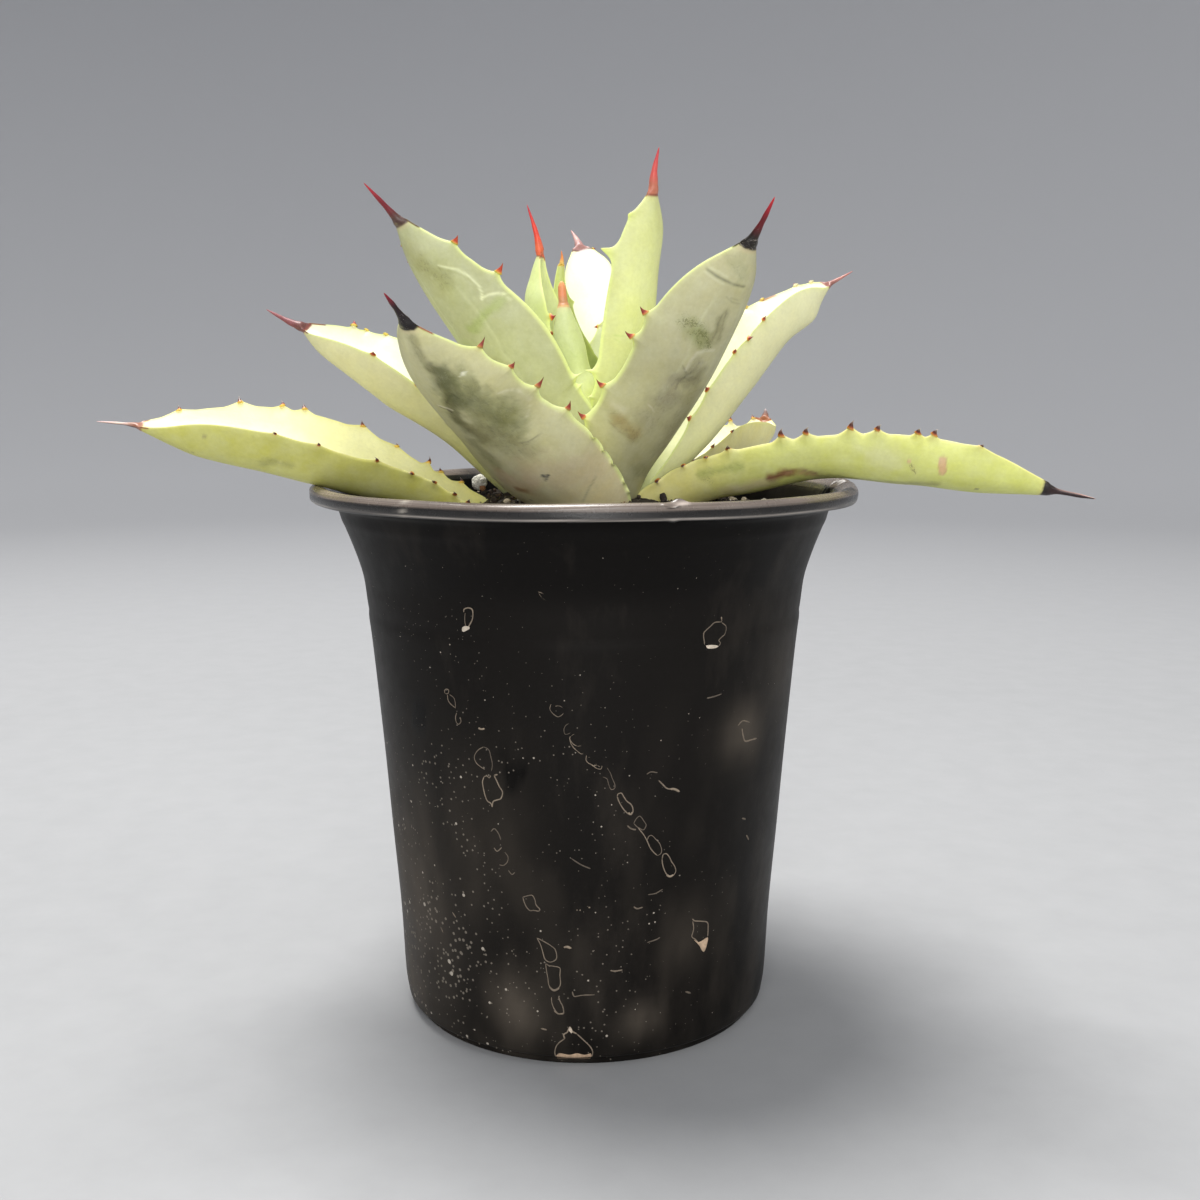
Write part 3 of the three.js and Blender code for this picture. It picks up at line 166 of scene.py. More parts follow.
        'g': [[7.0,0.4,3.15],[8.5,0.45,3.82],[10.0,0.6,4.5],[11.0,0.72,4.95],[10.5,0.66,4.73],[7.0,0.5,3.15],[2.4,0.35,1.08]],
        'n': [[-0.461,-0.438,0.771],[-0.305,-0.349,0.886],[-0.204,-0.101,0.974],[-0.215,-0.085,0.973],[-0.147,-0.104,0.984],[-0.175,-0.27,0.947],[-0.261,-0.45,0.854]],
        'sp': [[60.1,79.0,164.3],[60.6,83.0,166.1]],
        'teeth': [[-1,0.3059,2.46,-0.51,0.26],[-1,0.3783,2.3,-0.34,-0.01],[-1,0.4563,2.36,-1.02,0.21],[-1,0.5227,2.09,-0.48,0.32],[-1,0.6024,2.31,-0.19,0.07],[-1,0.6824,2.42,-0.82,-0.02],[-1,0.7506,2.17,-1.04,-0.03],[-1,0.8104,1.75,1.37,4.03],[-1,0.985,1.2,1.85,1.45],[1,0.2188,1.93,-0.13,0.76],[1,0.3207,1.63,-0.2,1.71],[1,0.437,1.78,-0.11,1.09]],
    },
    'leaf_right_low': {
        'c': [[7.0,-2.0,129.0],[27.1,-12.0,144.9],[44.1,-19.0,150.4],[63.7,-26.0,154.4],[82.9,-32.0,153.6],[99.6,-36.0,151.3],[115.7,-38.0,148.1]],
        'g': [[8.0,0.35,3.36],[8.0,0.4,3.36],[7.91,0.4,3.32],[7.49,0.35,3.14],[8.46,0.35,3.55],[7.36,0.3,3.09],[2.4,0.25,1.01]],
        'n': [[-0.281,0.611,0.74],[-0.17,0.608,0.775],[0.038,0.629,0.777],[0.148,0.628,0.764],[0.238,0.623,0.745],[0.241,0.645,0.725],[0.229,0.632,0.741]],
        'sp': [[120.9,-39.0,147.1],[128.2,-40.0,145.7]],
        'teeth': [[-1,0.2993,2.28,-0.73,0.21],[-1,0.3575,2.21,-0.49,0.1],[-1,0.4197,2.31,-0.74,0.09],[-1,0.4773,2.2,-0.78,0.28],[-1,0.5361,2.19,-0.31,0.34],[-1,0.6007,2.38,-0.15,0.16],[-1,0.6645,2.44,-0.61,0.04],[-1,0.7217,2.26,-0.91,0.19],[-1,0.778,2.14,-0.53,0.15],[-1,0.8408,2.29,-0.62,0.17],[-1,0.9002,2.25,-0.58,0.08],[1,0.1509,1.2,-0.17,-2.26],[1,0.2043,1.33,0.03,-1.54],[1,0.2528,1.4,-0.11,-1.5],[1,0.311,2.57,-0.21,0.13],[1,0.4273,3.62,-0.17,1.44],[1,0.471,3.09,0.16,0.9],[1,0.5534,3.75,-0.09,1.65],[1,0.6019,2.95,0.16,0.69],[1,0.6843,2.74,-0.15,0.4],[1,0.7183,2.93,0.25,0.63],[1,0.825,2.24,-0.05,-0.17]],
    },
    'leaf_back_left_low': {
        'c': [[-3.1,6.7,130.0],[-8.7,14.5,138.7],[-14.7,23.5,146.0],[-21.0,33.3,151.8],[-27.4,43.7,156.1],[-33.7,54.6,159.4],[-39.8,65.8,162.0]],
        'g': [[8.0,0.4,3.2],[9.0,0.45,3.6],[10.0,0.45,4.0],[10.5,0.4,4.2],[9.5,0.35,3.8],[6.5,0.3,2.6],[2.2,0.3,0.88]],
        'n': [[0.394,-0.541,0.743],[0.35,-0.507,0.788],[0.277,-0.421,0.864],[0.207,-0.331,0.921],[0.149,-0.251,0.956],[0.11,-0.196,0.974],[0.094,-0.176,0.98]],
        'sp': [[-43.0,71.9,163.2],[-46.2,77.9,164.9]],
        'teeth': [[-1,0.2905,2.1,-0.47,0.14],[-1,0.3907,2.31,-0.64,0.35],[-1,0.4825,2.24,-0.12,0.1],[-1,0.586,2.45,-0.76,0.15],[-1,0.6722,2.2,-0.62,0.02],[-1,0.7673,2.25,-0.96,0.2],[-1,0.8546,2.12,-0.5,0.42],[1,0.311,2.53,-0.08,0.29],[1,0.4082,2.47,-0.28,0.14],[1,0.5033,2.39,-0.65,0.0],[1,0.5932,2.24,-0.99,0.1],[1,0.6802,2.1,-0.75,0.32],[1,0.775,2.2,-0.21,0.16],[1,0.8776,2.42,-0.59,0.35]],
    },
    'leaf_back_low': {
        'c': [[1.5,8.0,129.0],[2.2,20.5,137.3],[2.7,34.1,143.5],[2.9,48.5,147.9],[2.7,63.2,150.7],[2.2,78.1,152.4],[1.3,93.0,153.4]],
        'g': [[8.0,0.4,3.2],[9.0,0.45,3.6],[10.0,0.45,4.0],[10.5,0.4,4.2],[9.5,0.35,3.8],[6.5,0.3,2.6],[2.2,0.3,0.88]],
        'n': [[-0.039,-0.551,0.834],[-0.023,-0.484,0.875],[-0.008,-0.354,0.935],[-0.0,-0.242,0.97],[0.004,-0.152,0.988],[0.004,-0.087,0.996],[0.004,-0.061,0.998]],
        'sp': [[0.8,100.0,153.6],[0.3,106.9,154.3]],
        'teeth': [[-1,0.2984,2.26,-0.2,0.17],[-1,0.3864,2.42,-0.57,0.43],[-1,0.4648,2.27,0.06,0.22],[-1,0.5569,2.53,-0.46,0.11],[-1,0.6351,2.32,-0.73,0.39],[-1,0.7133,2.21,-0.03,0.16],[-1,0.805,2.49,-0.59,0.22],[-1,0.8818,2.26,-0.44,0.27],[1,0.3053,2.43,-0.19,0.17],[1,0.3899,2.42,-0.58,0.4],[1,0.4682,2.27,-0.0,0.03],[1,0.5593,2.5,-0.92,0.17],[1,0.6305,2.13,-0.57,0.14],[1,0.715,2.27,-0.66,0.22],[1,0.7951,2.24,-0.44,0.05],[1,0.8795,2.32,-0.87,0.03]],
    },
    'leaf_back_left': {
        'c': [[-3.3,6.5,134.0],[-7.2,11.4,145.0],[-12.0,17.2,155.2],[-17.5,23.7,164.6],[-23.5,30.5,173.4],[-29.9,37.5,181.8],[-36.6,44.5,190.0]],
        'g': [[8.0,0.45,2.8],[9.5,0.45,3.32],[12.0,0.4,4.2],[13.0,0.36,4.55],[12.0,0.32,4.2],[8.0,0.3,2.8],[2.4,0.25,0.84]],
        'n': [[0.536,-0.686,0.492],[0.528,-0.652,0.545],[0.498,-0.593,0.633],[0.472,-0.543,0.695],[0.454,-0.504,0.734],[0.447,-0.48,0.755],[0.451,-0.467,0.76]],
        'sp': [[-40.7,48.7,194.7],[-44.4,52.6,199.9]],
        'teeth': [[-1,0.2984,2.27,-1.07,0.16],[-1,0.3854,2.07,-0.6,0.05],[-1,0.4864,2.26,-0.89,0.02],[-1,0.5772,2.15,-0.96,0.35],[-1,0.6694,2.12,-0.12,-0.03],[-1,0.7786,2.45,-1.07,0.02],[-1,0.8611,2.07,-0.95,0.28],[1,0.2885,2.06,-0.32,0.32],[1,0.3951,2.37,-0.2,0.39],[1,0.4966,2.42,-0.03,0.3],[1,0.6001,2.49,-0.24,0.25],[1,0.6979,2.4,-0.38,0.12],[1,0.795,2.35,-0.69,0.08],[1,0.8875,2.22,-0.81,-0.01]],
    },
    'leaf_back_right': {
        'c': [[5.5,6.4,134.0],[9.9,11.4,145.1],[15.1,17.3,155.5],[21.1,23.6,165.2],[27.6,30.2,174.2],[34.6,37.0,182.8],[41.9,43.7,191.3]],
        'g': [[8.0,0.45,2.8],[9.5,0.45,3.32],[12.0,0.4,4.2],[13.0,0.36,4.55],[12.0,0.32,4.2],[8.0,0.3,2.8],[2.4,0.25,0.84]],
        'n': [[-0.551,-0.657,0.515],[-0.548,-0.623,0.559],[-0.523,-0.567,0.636],[-0.5,-0.517,0.695],[-0.483,-0.477,0.734],[-0.477,-0.45,0.755],[-0.483,-0.435,0.76]],
        'sp': [[45.8,47.2,196.7],[49.2,50.3,202.6]],
        'teeth': [[-1,0.2924,2.14,-1.03,0.3],[-1,0.3811,2.09,-0.26,0.3],[-1,0.4855,2.4,-0.26,0.17],[-1,0.5826,2.4,-0.57,0.38],[-1,0.6739,2.27,-0.04,0.03],[-1,0.7781,2.48,-0.92,0.05],[-1,0.8605,2.13,-0.87,0.25],[1,0.3041,2.39,-0.18,0.14],[1,0.403,2.43,-0.64,0.42],[1,0.4921,2.24,0.05,0.19],[1,0.5987,2.52,-0.52,0.09],[1,0.6879,2.29,-0.78,0.44],[1,0.7777,2.19,0.09,0.09],[1,0.8864,2.54,-0.76,0.17]],
    },
    'leaf_back_upper': {
        'c': [[2.9,5.6,138.0],[3.8,7.9,148.7],[5.1,11.3,159.1],[6.8,15.3,169.2],[8.6,19.9,179.1],[10.6,24.7,188.7],[12.6,29.8,198.3]],
        'g': [[6.0,0.45,1.98],[7.0,0.45,2.31],[8.5,0.45,2.8],[9.0,0.45,2.97],[8.5,0.45,2.8],[6.0,0.45,1.98],[2.0,0.45,0.66]],
        'n': [[-0.365,-0.903,0.225],[-0.36,-0.891,0.276],[-0.349,-0.864,0.363],[-0.339,-0.84,0.423],[-0.332,-0.822,0.462],[-0.328,-0.811,0.485],[-0.326,-0.807,0.492]],
        'sp': [[13.9,33.0,203.8],[15.1,35.8,209.5]],
        'teeth': [[-1,0.3008,2.31,-0.37,0.04],[-1,0.4154,2.35,-0.9,0.26],[-1,0.5172,2.14,-0.35,0.07],[-1,0.6372,2.36,-0.81,0.33],[-1,0.7405,2.17,-0.19,-0.03],[-1,0.8632,2.43,-1.07,0.02],[1,0.3058,2.4,-0.37,0.06],[1,0.4178,2.35,-0.85,0.08],[1,0.5206,2.16,-0.79,0.32],[1,0.6302,2.18,-0.21,-0.03],[1,0.752,2.42,-1.07,0.42],[1,0.848,2.07,0.05,-0.02]],
    },
}
MARKS = {  # kind, points on the leaf (mm), width or radius (mm), colour, strength
    'leaf_upper_left': [
        ('line', [[-36.1,-29.7,203.6],[-31.9,-29.9,202.7],[-28.3,-29.6,201.0],[-26.3,-29.3,199.1],[-25.6,-29.1,197.2],[-25.5,-29.0,195.7]], 0.5, (228,232,188), 0.45),
        ('line', [[-25.7,-29.0,195.8],[-23.8,-29.1,196.5],[-21.4,-28.9,196.9],[-19.5,-28.7,196.6]], 0.5, (232,236,190), 0.4),
        ('blotch', [[-19.7,-28.8,195.8],[-22.7,-28.9,193.4],[-26.1,-27.6,190.7],[-28.5,-25.2,188.0]], 1.6, (158,176,84), 0.3),
        ('blotch', [[-40.4,-28.3,204.2],[-37.6,-28.5,201.9],[-34.7,-28.5,199.8]], 3, (150,150,100), 0.81),
        ('blotch', [[-36.8,-27.0,199.0],[-33.8,-27.5,197.4]], 2.6, (180,184,130), 0.41),
        ('spot', [[-39.9,-27.7,202.8]], 0.45, (96,92,60), 0.6),
        ('line', [[-35.4,-24.6,194.7],[-33.4,-26.4,195.1],[-31.9,-26.5,193.8]], 0.3, (176,176,128), 0.81),
        ('line', [[-34.4,-24.3,193.3],[-33.1,-24.6,192.3]], 0.3, (182,180,130), 0.68),
        ('spot', [[-33.9,-22.0,190.1]], 0.3, (120,112,80), 0.5),
        ('blotch', [[-42.7,-29.9,209.8],[-39.8,-30.0,206.8]], 2.4, (186,188,140), 0.47),
        ('line', [[-25.5,-29.0,195.9],[-23.7,-29.1,196.8],[-21.4,-28.9,197.2],[-19.5,-28.6,196.7],[-18.6,-28.6,195.2]], 0.5, (230,232,190), 0.6),
        ('line', [[-36.3,-29.8,203.8],[-33.5,-30.0,203.2],[-31.3,-29.9,202.9],[-28.6,-29.6,201.2],[-26.5,-29.3,199.3],[-25.5,-29.2,197.6],[-25.4,-29.0,195.5]], 0.45, (230,232,190), 0.55),
        ('line', [[-36.1,-29.6,203.1],[-33.0,-29.8,202.4],[-30.0,-29.7,201.4],[-27.7,-29.4,199.7]], 0.5, (150,152,96), 0.5),
        ('blotch', [[-21.5,-29.0,195.1],[-23.7,-28.7,192.9],[-26.2,-27.4,190.1],[-28.6,-25.2,188.1]], 1.9, (150,166,80), 0.4),
        ('blotch', [[-43.5,-28.2,207.6],[-40.2,-27.8,203.2],[-36.4,-25.9,197.3]], 3.4, (168,166,112), 0.55),
        ('blotch', [[-34.7,-17.8,188.1],[-31.7,-18.5,184.5],[-28.1,-21.3,182.5]], 3.4, (166,180,100), 0.5),
    ],
    'leaf_front_left': [
        ('blotch', [[-34.4,-58.3,177.0],[-32.7,-53.6,172.5],[-30.5,-46.3,166.1]], 3.0, (99,98,59), 0.85),
        ('blotch', [[-32.0,-58.0,176.3],[-29.0,-52.9,170.5]], 2.6, (106,107,63), 0.80),
        ('blotch', [[-29.4,-57.2,175.3],[-25.0,-53.0,170.1],[-20.2,-50.0,166.9]], 4.6, (124,126,75), 0.63),
        ('blotch', [[-20.1,-51.8,169.4],[-16.1,-47.9,164.8]], 4.4, (140,142,90), 0.52),
        ('blotch', [[-29.7,-45.7,165.3],[-27.0,-44.3,162.8],[-25.2,-42.9,160.8]], 2.6, (114,111,68), 0.69),
        ('blotch', [[-27.7,-40.2,160.3],[-24.9,-39.1,157.6],[-21.6,-37.5,154.0]], 2.4, (128,126,82), 0.63),
        ('line', [[-20.4,-53.7,172.2],[-18.8,-53.4,172.6],[-16.9,-52.5,172.7],[-14.9,-51.3,172.5],[-13.7,-49.9,170.8],[-13.0,-48.8,169.0],[-13.3,-48.3,167.2],[-14.4,-48.1,166.1]], 0.5, (186,184,146), 0.5),
        ('line', [[-34.6,-47.4,169.2],[-32.7,-48.7,168.9],[-31.3,-48.9,168.3]], 0.2, (226,216,186), 0.6),
        ('line', [[-32.9,-48.1,168.6],[-31.7,-48.1,167.9]], 0.28, (70,56,44), 0.8),
        ('spot', [[-28.3,-58.1,176.6]], 0.75, (226,226,196), 0.7),
        ('line', [[-29.1,-57.7,175.9],[-28.2,-58.2,176.8],[-27.4,-58.3,177.1]], 0.3, (228,228,200), 0.6),
        ('spot', [[-9.3,-39.9,151.6]], 0.42, (36,26,20), 0.95),
        ('spot', [[-8.6,-40.1,152.0]], 0.3, (60,46,34), 0.9),
        ('blotch', [[-17.0,-33.0,147.9],[-14.6,-34.5,147.9]], 1.1, (142,102,55), 0.63),
        ('spot', [[-13.6,-30.4,145.0]], 0.4, (60,50,34), 0.85),
        ('line', [[-15.2,-44.8,159.3],[-13.5,-45.2,160.1],[-13.1,-45.4,160.4]], 0.32, (140,132,104), 0.5),
        ('line', [[-15.4,-44.2,158.3],[-14.2,-44.5,158.8]], 0.3, (146,138,110), 0.45),
        ('line', [[3.7,-36.2,154.3],[2.4,-35.1,150.4],[0.5,-33.7,146.8]], 0.4, (150,150,112), 0.35),
        ('line', [[-20.1,-37.6,153.1],[-15.8,-43.8,157.8],[-11.0,-45.7,161.7]], 0.8, (186,182,148), 0.25),
        ('line', [[-23.8,-40.8,158.2],[-19.1,-46.1,161.9],[-13.3,-47.3,164.8]], 0.8, (188,184,150), 0.22),
        ('blotch', [[-16.0,-40.1,153.2],[-6.2,-40.7,153.3]], 6, (186,170,136), 0.35),
        ('blotch', [[-21.4,-28.0,148.6],[-13.7,-38.9,151.2]], 4, (196,178,142), 0.30),
        ('blotch', [[-30.4,-54.6,172.5],[-24.9,-50.8,167.7],[-20.0,-47.1,163.2]], 6.0, (110,112,68), 0.6),
        ('blotch', [[-33.3,-58.7,177.6],[-32.1,-55.9,174.4],[-30.1,-52.0,170.1]], 3.0, (96,98,58), 0.7),
        ('blotch', [[-39.4,-63.4,184.9],[-38.3,-61.3,182.0],[-36.6,-58.3,178.4]], 1.7, (132,128,88), 0.6),
        ('blotch', [[-27.8,-44.9,163.7],[-20.6,-44.5,160.2],[-13.8,-44.1,158.0]], 4.4, (124,120,78), 0.55),
        ('blotch', [[-17.1,-51.5,170.6],[-15.8,-49.0,166.9]], 4.0, (134,134,86), 0.45),
        ('blotch', [[-20.1,-34.8,150.9],[-13.9,-35.8,148.5]], 4.5, (186,150,112), 0.55),
        ('blotch', [[-12.3,-41.0,153.3],[-3.6,-38.3,151.0],[1.7,-37.4,153.7]], 7.0, (204,184,148), 0.45),
        ('spot', [[-10.2,-40.1,151.9]], 0.62, (30,22,18), 0.95),
        ('spot', [[-9.0,-40.2,152.0]], 0.5, (36,26,20), 0.95),
        ('line', [[-10.2,-40.1,151.9],[-9.5,-39.1,150.7],[-9.0,-40.2,152.0]], 0.4, (30,22,18), 0.9),
        ('blotch', [[-17.1,-33.4,148.2],[-14.5,-33.6,147.2]], 1.2, (136,92,54), 0.6),
        ('line', [[-20.3,-53.7,172.2],[-18.2,-53.3,173.0],[-15.9,-52.0,172.9],[-13.9,-50.4,171.8],[-13.2,-49.4,170.3],[-13.2,-48.6,168.2],[-14.0,-48.1,166.4]], 0.5, (204,200,160), 0.75),
        ('line', [[-33.0,-50.0,170.0],[-31.3,-53.8,172.1],[-29.8,-53.2,171.0]], 0.4, (70,70,40), 0.6),
        ('line', [[-35.2,-47.0,169.4],[-33.3,-48.2,169.0],[-31.7,-48.7,168.4]], 0.38, (236,228,204), 0.85),
        ('line', [[-34.8,-46.9,169.1],[-32.7,-47.9,168.4],[-31.9,-47.7,167.8]], 0.34, (66,52,40), 0.8),
        ('spot', [[-28.3,-58.2,176.7]], 0.5, (232,230,204), 0.8),
        ('line', [[-16.1,-45.3,160.2],[-13.6,-45.5,160.5],[-10.8,-45.8,162.2]], 0.35, (96,92,66), 0.6),
        ('line', [[3.0,-35.4,151.4],[1.1,-34.5,148.3],[-0.2,-32.5,145.0]], 0.5, (140,134,98), 0.5),
    ],
    'leaf_front_right': [
        # the crease near the top: the dark lines are painted shade in the fold, the pale line a painted highlight along
        # its edge
        ('line', [[29.0,-49.4,201.3],[31.3,-49.7,199.7],[33.4,-49.2,198.6],[35.8,-47.9,197.7],[38.4,-46.0,197.5]], 0.55, (112,112,78), 0.75),
        ('line', [[28.6,-49.3,200.7],[30.7,-49.5,199.0],[33.1,-48.9,197.8]], 0.5, (212,212,176), 0.4),
        ('line', [[35.1,-46.2,194.7],[36.9,-44.6,194.4]], 0.35, (140,138,104), 0.5),
        ('blotch', [[34.3,-44.1,191.5],[33.4,-41.9,188.3],[32.8,-39.5,185.1]], 1.4, (136,132,96), 0.55),
        ('line', [[34.3,-44.1,191.5],[33.8,-42.9,189.7],[33.6,-40.9,187.4],[32.8,-39.5,185.1]], 0.32, (112,106,76), 0.55),
        ('specks', [[24.5,-45.6,189.0],[26.7,-44.7,187.7],[28.8,-42.5,185.4]], 3.0, (92,104,46), 0.75),
        ('specks', [[27.3,-43.7,186.3],[30.3,-40.1,183.6]], 2.4, (96,108,50), 0.7),
        ('blotch', [[26.5,-44.6,187.3],[29.1,-41.6,184.4]], 2.8, (142,148,84), 0.5),
        # around the star-shaped dent: the darker blotch and dark lines are painted shade in its hollow, the pale line a
        # painted highlight on its ridge
        ('blotch', [[20.9,-34.9,170.3],[22.9,-36.6,173.9],[26.1,-36.6,176.2]], 3.6, (140,134,108), 0.55),
        ('line', [[22.7,-37.6,175.2],[24.4,-36.2,174.4],[25.4,-35.9,174.8]], 0.4, (98,90,70), 0.6),
        ('line', [[24.5,-39.0,178.2],[25.5,-37.0,176.2],[27.0,-35.7,175.8]], 0.4, (110,102,80), 0.5),
        ('line', [[26.1,-39.2,179.3],[27.7,-38.5,179.7],[30.1,-36.7,179.8]], 0.5, (176,172,142), 0.45),
        ('dent', [[23.7,-36.5,174.3]], 2.4, (0,0,0), 0.55),
        ('dent', [[27.6,-37.4,178.3]], 2.6, (0,0,0), -0.45),
        ('blotch', [[8.5,-33.3,165.3],[10.6,-32.8,163.4],[13.2,-31.9,161.8]], 2.3, (168,148,92), 0.7),
        ('line', [[7.1,-33.5,166.9],[9.5,-33.7,165.8],[12.0,-33.3,164.3],[13.4,-32.1,162.2],[12.7,-31.0,160.3],[10.2,-30.9,159.8]], 0.5, (150,138,92), 0.5),
        ('spot', [[16.9,-27.7,158.1]], 0.75, (96,78,50), 0.75),
        ('spot', [[17.1,-27.7,158.3]], 0.45, (70,54,36), 0.8),
        ('line', [[16.3,-35.9,170.4],[17.1,-35.3,169.3],[16.5,-35.1,168.6]], 0.3, (130,122,94), 0.5),
        ('line', [[18.7,-36.7,172.4],[19.9,-35.6,171.0]], 0.3, (140,132,104), 0.4),
        ('blotch', [[14.3,-22.5,152.1],[17.4,-17.3,151.6]], 4.2, (128,128,92), 0.45),
        ('blotch', [[16.5,-33.3,165.3],[21.9,-34.4,170.3]], 5.2, (150,142,112), 0.45),
        ('line', [[12.2,-23.0,151.1],[16.1,-17.4,150.2],[18.3,-17.9,152.7]], 0.5, (150,150,112), 0.35),
        ('blotch', [[35.8,-50.3,202.9],[37.5,-48.2,199.8]], 2.4, (150,152,112), 0.4),
        # the crease near the top again: the dark lines are painted shade in the fold, the pale line a painted highlight
        # along its edge
        ('line', [[29.2,-49.5,201.2],[31.3,-49.6,199.6],[33.5,-49.2,198.7],[35.8,-48.0,197.8],[38.1,-46.1,197.4]], 0.46, (104,104,70), 0.5),
        ('line', [[29.5,-49.6,201.7],[31.7,-49.9,200.7],[33.9,-49.4,199.4]], 0.6, (214,214,178), 0.4),
        ('line', [[34.0,-47.0,194.9],[35.6,-45.2,193.8],[37.6,-43.1,193.5]], 0.4, (120,118,82), 0.4),
        ('line', [[33.3,-44.1,190.7],[32.5,-43.2,188.9],[32.2,-41.8,187.0],[31.2,-40.4,184.6]], 0.45, (92,90,58), 0.5),
        ('blotch', [[32.7,-43.8,189.8],[32.2,-41.8,187.0],[31.0,-40.5,184.6]], 1.4, (118,114,76), 0.5),
        # the star-shaped dent: the dark lines and the dark blotch are painted shade in its creases and hollow, the pale
        # lines painted highlight on its ridges
        ('line', [[21.7,-36.8,173.9],[23.1,-37.1,175.0],[24.8,-37.0,175.9],[26.2,-37.5,177.5],[28.1,-38.3,179.8]], 0.42, (84,80,58), 0.6),
        ('line', [[24.8,-37.0,175.9],[25.1,-37.9,177.2],[24.1,-39.5,178.7]], 0.4, (84,80,58), 0.5),
        ('line', [[24.8,-37.0,175.9],[26.2,-35.4,175.2],[27.4,-35.1,175.9]], 0.4, (84,80,58), 0.5),
        ('line', [[22.7,-35.7,173.0],[23.6,-36.5,174.6],[24.8,-37.0,175.9]], 0.4, (90,84,60), 0.5),
        ('line', [[24.9,-38.5,177.9],[25.9,-39.6,179.9],[27.5,-40.4,181.9],[29.7,-39.5,182.5],[31.9,-37.8,182.6]], 0.7, (206,202,172), 0.7),
        ('line', [[25.5,-36.8,176.2],[27.1,-36.3,176.8],[28.5,-37.1,178.9],[29.1,-38.1,180.5]], 0.6, (196,192,162), 0.55),
        ('blotch', [[27.6,-38.7,179.9],[28.7,-35.3,177.2],[26.3,-34.3,174.2]], 2.4, (120,114,86), 0.5),
        ('blotch', [[19.6,-37.6,174.4],[22.8,-37.5,175.4]], 2.2, (176,170,140), 0.45),
        ('blotch', [[7.1,-33.1,166.9],[9.2,-32.5,164.2],[12.6,-30.7,161.0]], 2.4, (150,136,88), 0.45),
        ('line', [[6.1,-32.1,165.0],[8.4,-31.7,162.7],[12.3,-30.3,160.3],[13.3,-30.7,161.2]], 0.45, (116,102,64), 0.5),
        ('blotch', [[7.1,-33.8,169.4],[9.3,-34.0,168.0]], 1.8, (206,200,170), 0.6),
        ('line', [[15.9,-35.0,169.2],[16.9,-34.4,168.4],[17.2,-33.8,167.5]], 0.35, (206,202,170), 0.6),
        ('blotch', [[26.5,-31.4,171.4],[23.3,-25.9,163.7],[19.6,-22.6,157.5]], 4.5, (140,134,104), 0.5),
        ('blotch', [[17.2,-44.1,192.5],[21.2,-46.3,197.3],[26.2,-48.2,201.5]], 5.0, (206,206,160), 0.45),
    ],
    'leaf_right_low': [
        ('scar', [[89.5,-39.2,155.6],[89.8,-38.3,152.6]], 0.85, (206,158,120), 0.85),
        ('scar', [[81.7,-36.9,155.2]], 0.45, (206,166,120), 0.8),
        ('spot', [[81.4,-37.0,155.7]], 0.3, (120,84,56), 0.7),
        ('specks', [[82.2,-36.8,154.2],[83.4,-36.2,152.4]], 0.8, (166,130,86), 0.75),
        ('spot', [[99.0,-36.8,148.1]], 0.6, (70,70,36), 0.8),
        ('blotch', [[48.8,-24.0,150.2],[51.8,-25.6,151.0],[55.2,-26.6,150.8],[60.9,-27.0,150.2]], 1.7, (128,62,46), 0.9),
        # along the belly's lower edge: darker mottling, deepened as painted shade
        ('blotch', [[60.8,-25.8,150.8],[68.8,-26.7,150.4],[76.2,-28.9,149.7],[89.0,-34.4,149.1]], 1.6, (120,118,72), 0.6),
        ('blotch', [[30.5,-19.5,150.9],[34.5,-21.0,152.0],[40.8,-23.3,153.1]], 1.6, (126,142,58), 0.55),
        ('specks', [[31.7,-19.8,149.9],[33.5,-20.0,148.9]], 1.4, (104,104,60), 0.5),
        ('blotch', [[38.1,-18.4,146.1],[43.9,-21.2,147.9],[49.2,-22.8,149.0]], 2, (176,160,118), 0.6),
        ('blotch', [[74.0,-34.5,155.8],[77.2,-35.3,154.9]], 4.5, (206,204,158), 0.4),
        ('line', [[47.8,-23.7,150.0],[50.1,-24.8,150.9],[53.5,-26.2,152.0],[56.6,-27.0,152.4],[59.7,-26.7,151.6]], 0.75, (122,58,42), 0.9),
        ('line', [[52.2,-25.4,151.3],[55.9,-26.2,151.5],[60.6,-25.9,150.8]], 0.5, (198,150,112), 0.6),
        ('blotch', [[36.8,-19.0,146.7],[41.6,-20.7,147.7],[46.3,-22.3,148.7]], 2.2, (216,206,152), 0.7),
    ],
    'leaf_left_low': [
        ('spot', [[-97.7,-26.1,161.1]], 0.8, (140,128,66), 0.7),
        ('blotch', [[-83.8,-22.8,153.7],[-79.9,-24.0,154.3],[-76.6,-23.6,153.4]], 1.8, (138,136,72), 0.55),
        ('line', [[-83.5,-23.9,154.8],[-81.1,-23.5,154.0],[-77.1,-24.6,154.5],[-73.6,-24.3,153.8]], 0.4, (206,204,130), 0.5),
        ('specks', [[-106.8,-19.6,158.0],[-101.5,-21.4,156.9]], 1.6, (206,200,140), 0.5),
        ('dent', [[-81.7,-22.6,153.2]], 2.4, (0,0,0), 0.35),
    ],
    'leaf_upper_right': [
        ('line', [[7.6,-19.0,186.8],[9.2,-18.7,186.5],[10.5,-18.4,186.7]], 0.35, (190,206,120), 0.6),
        ('line', [[7.5,-18.7,185.9],[8.9,-18.4,185.3]], 0.3, (186,200,116), 0.5),
    ],
    'central_bud': [
        ('line', [[-3.8,-6.9,182.9],[-2.5,-6.7,181.5],[-0.4,-5.4,181.4]], 0.3, (170,186,118), 0.5),
    ],
}
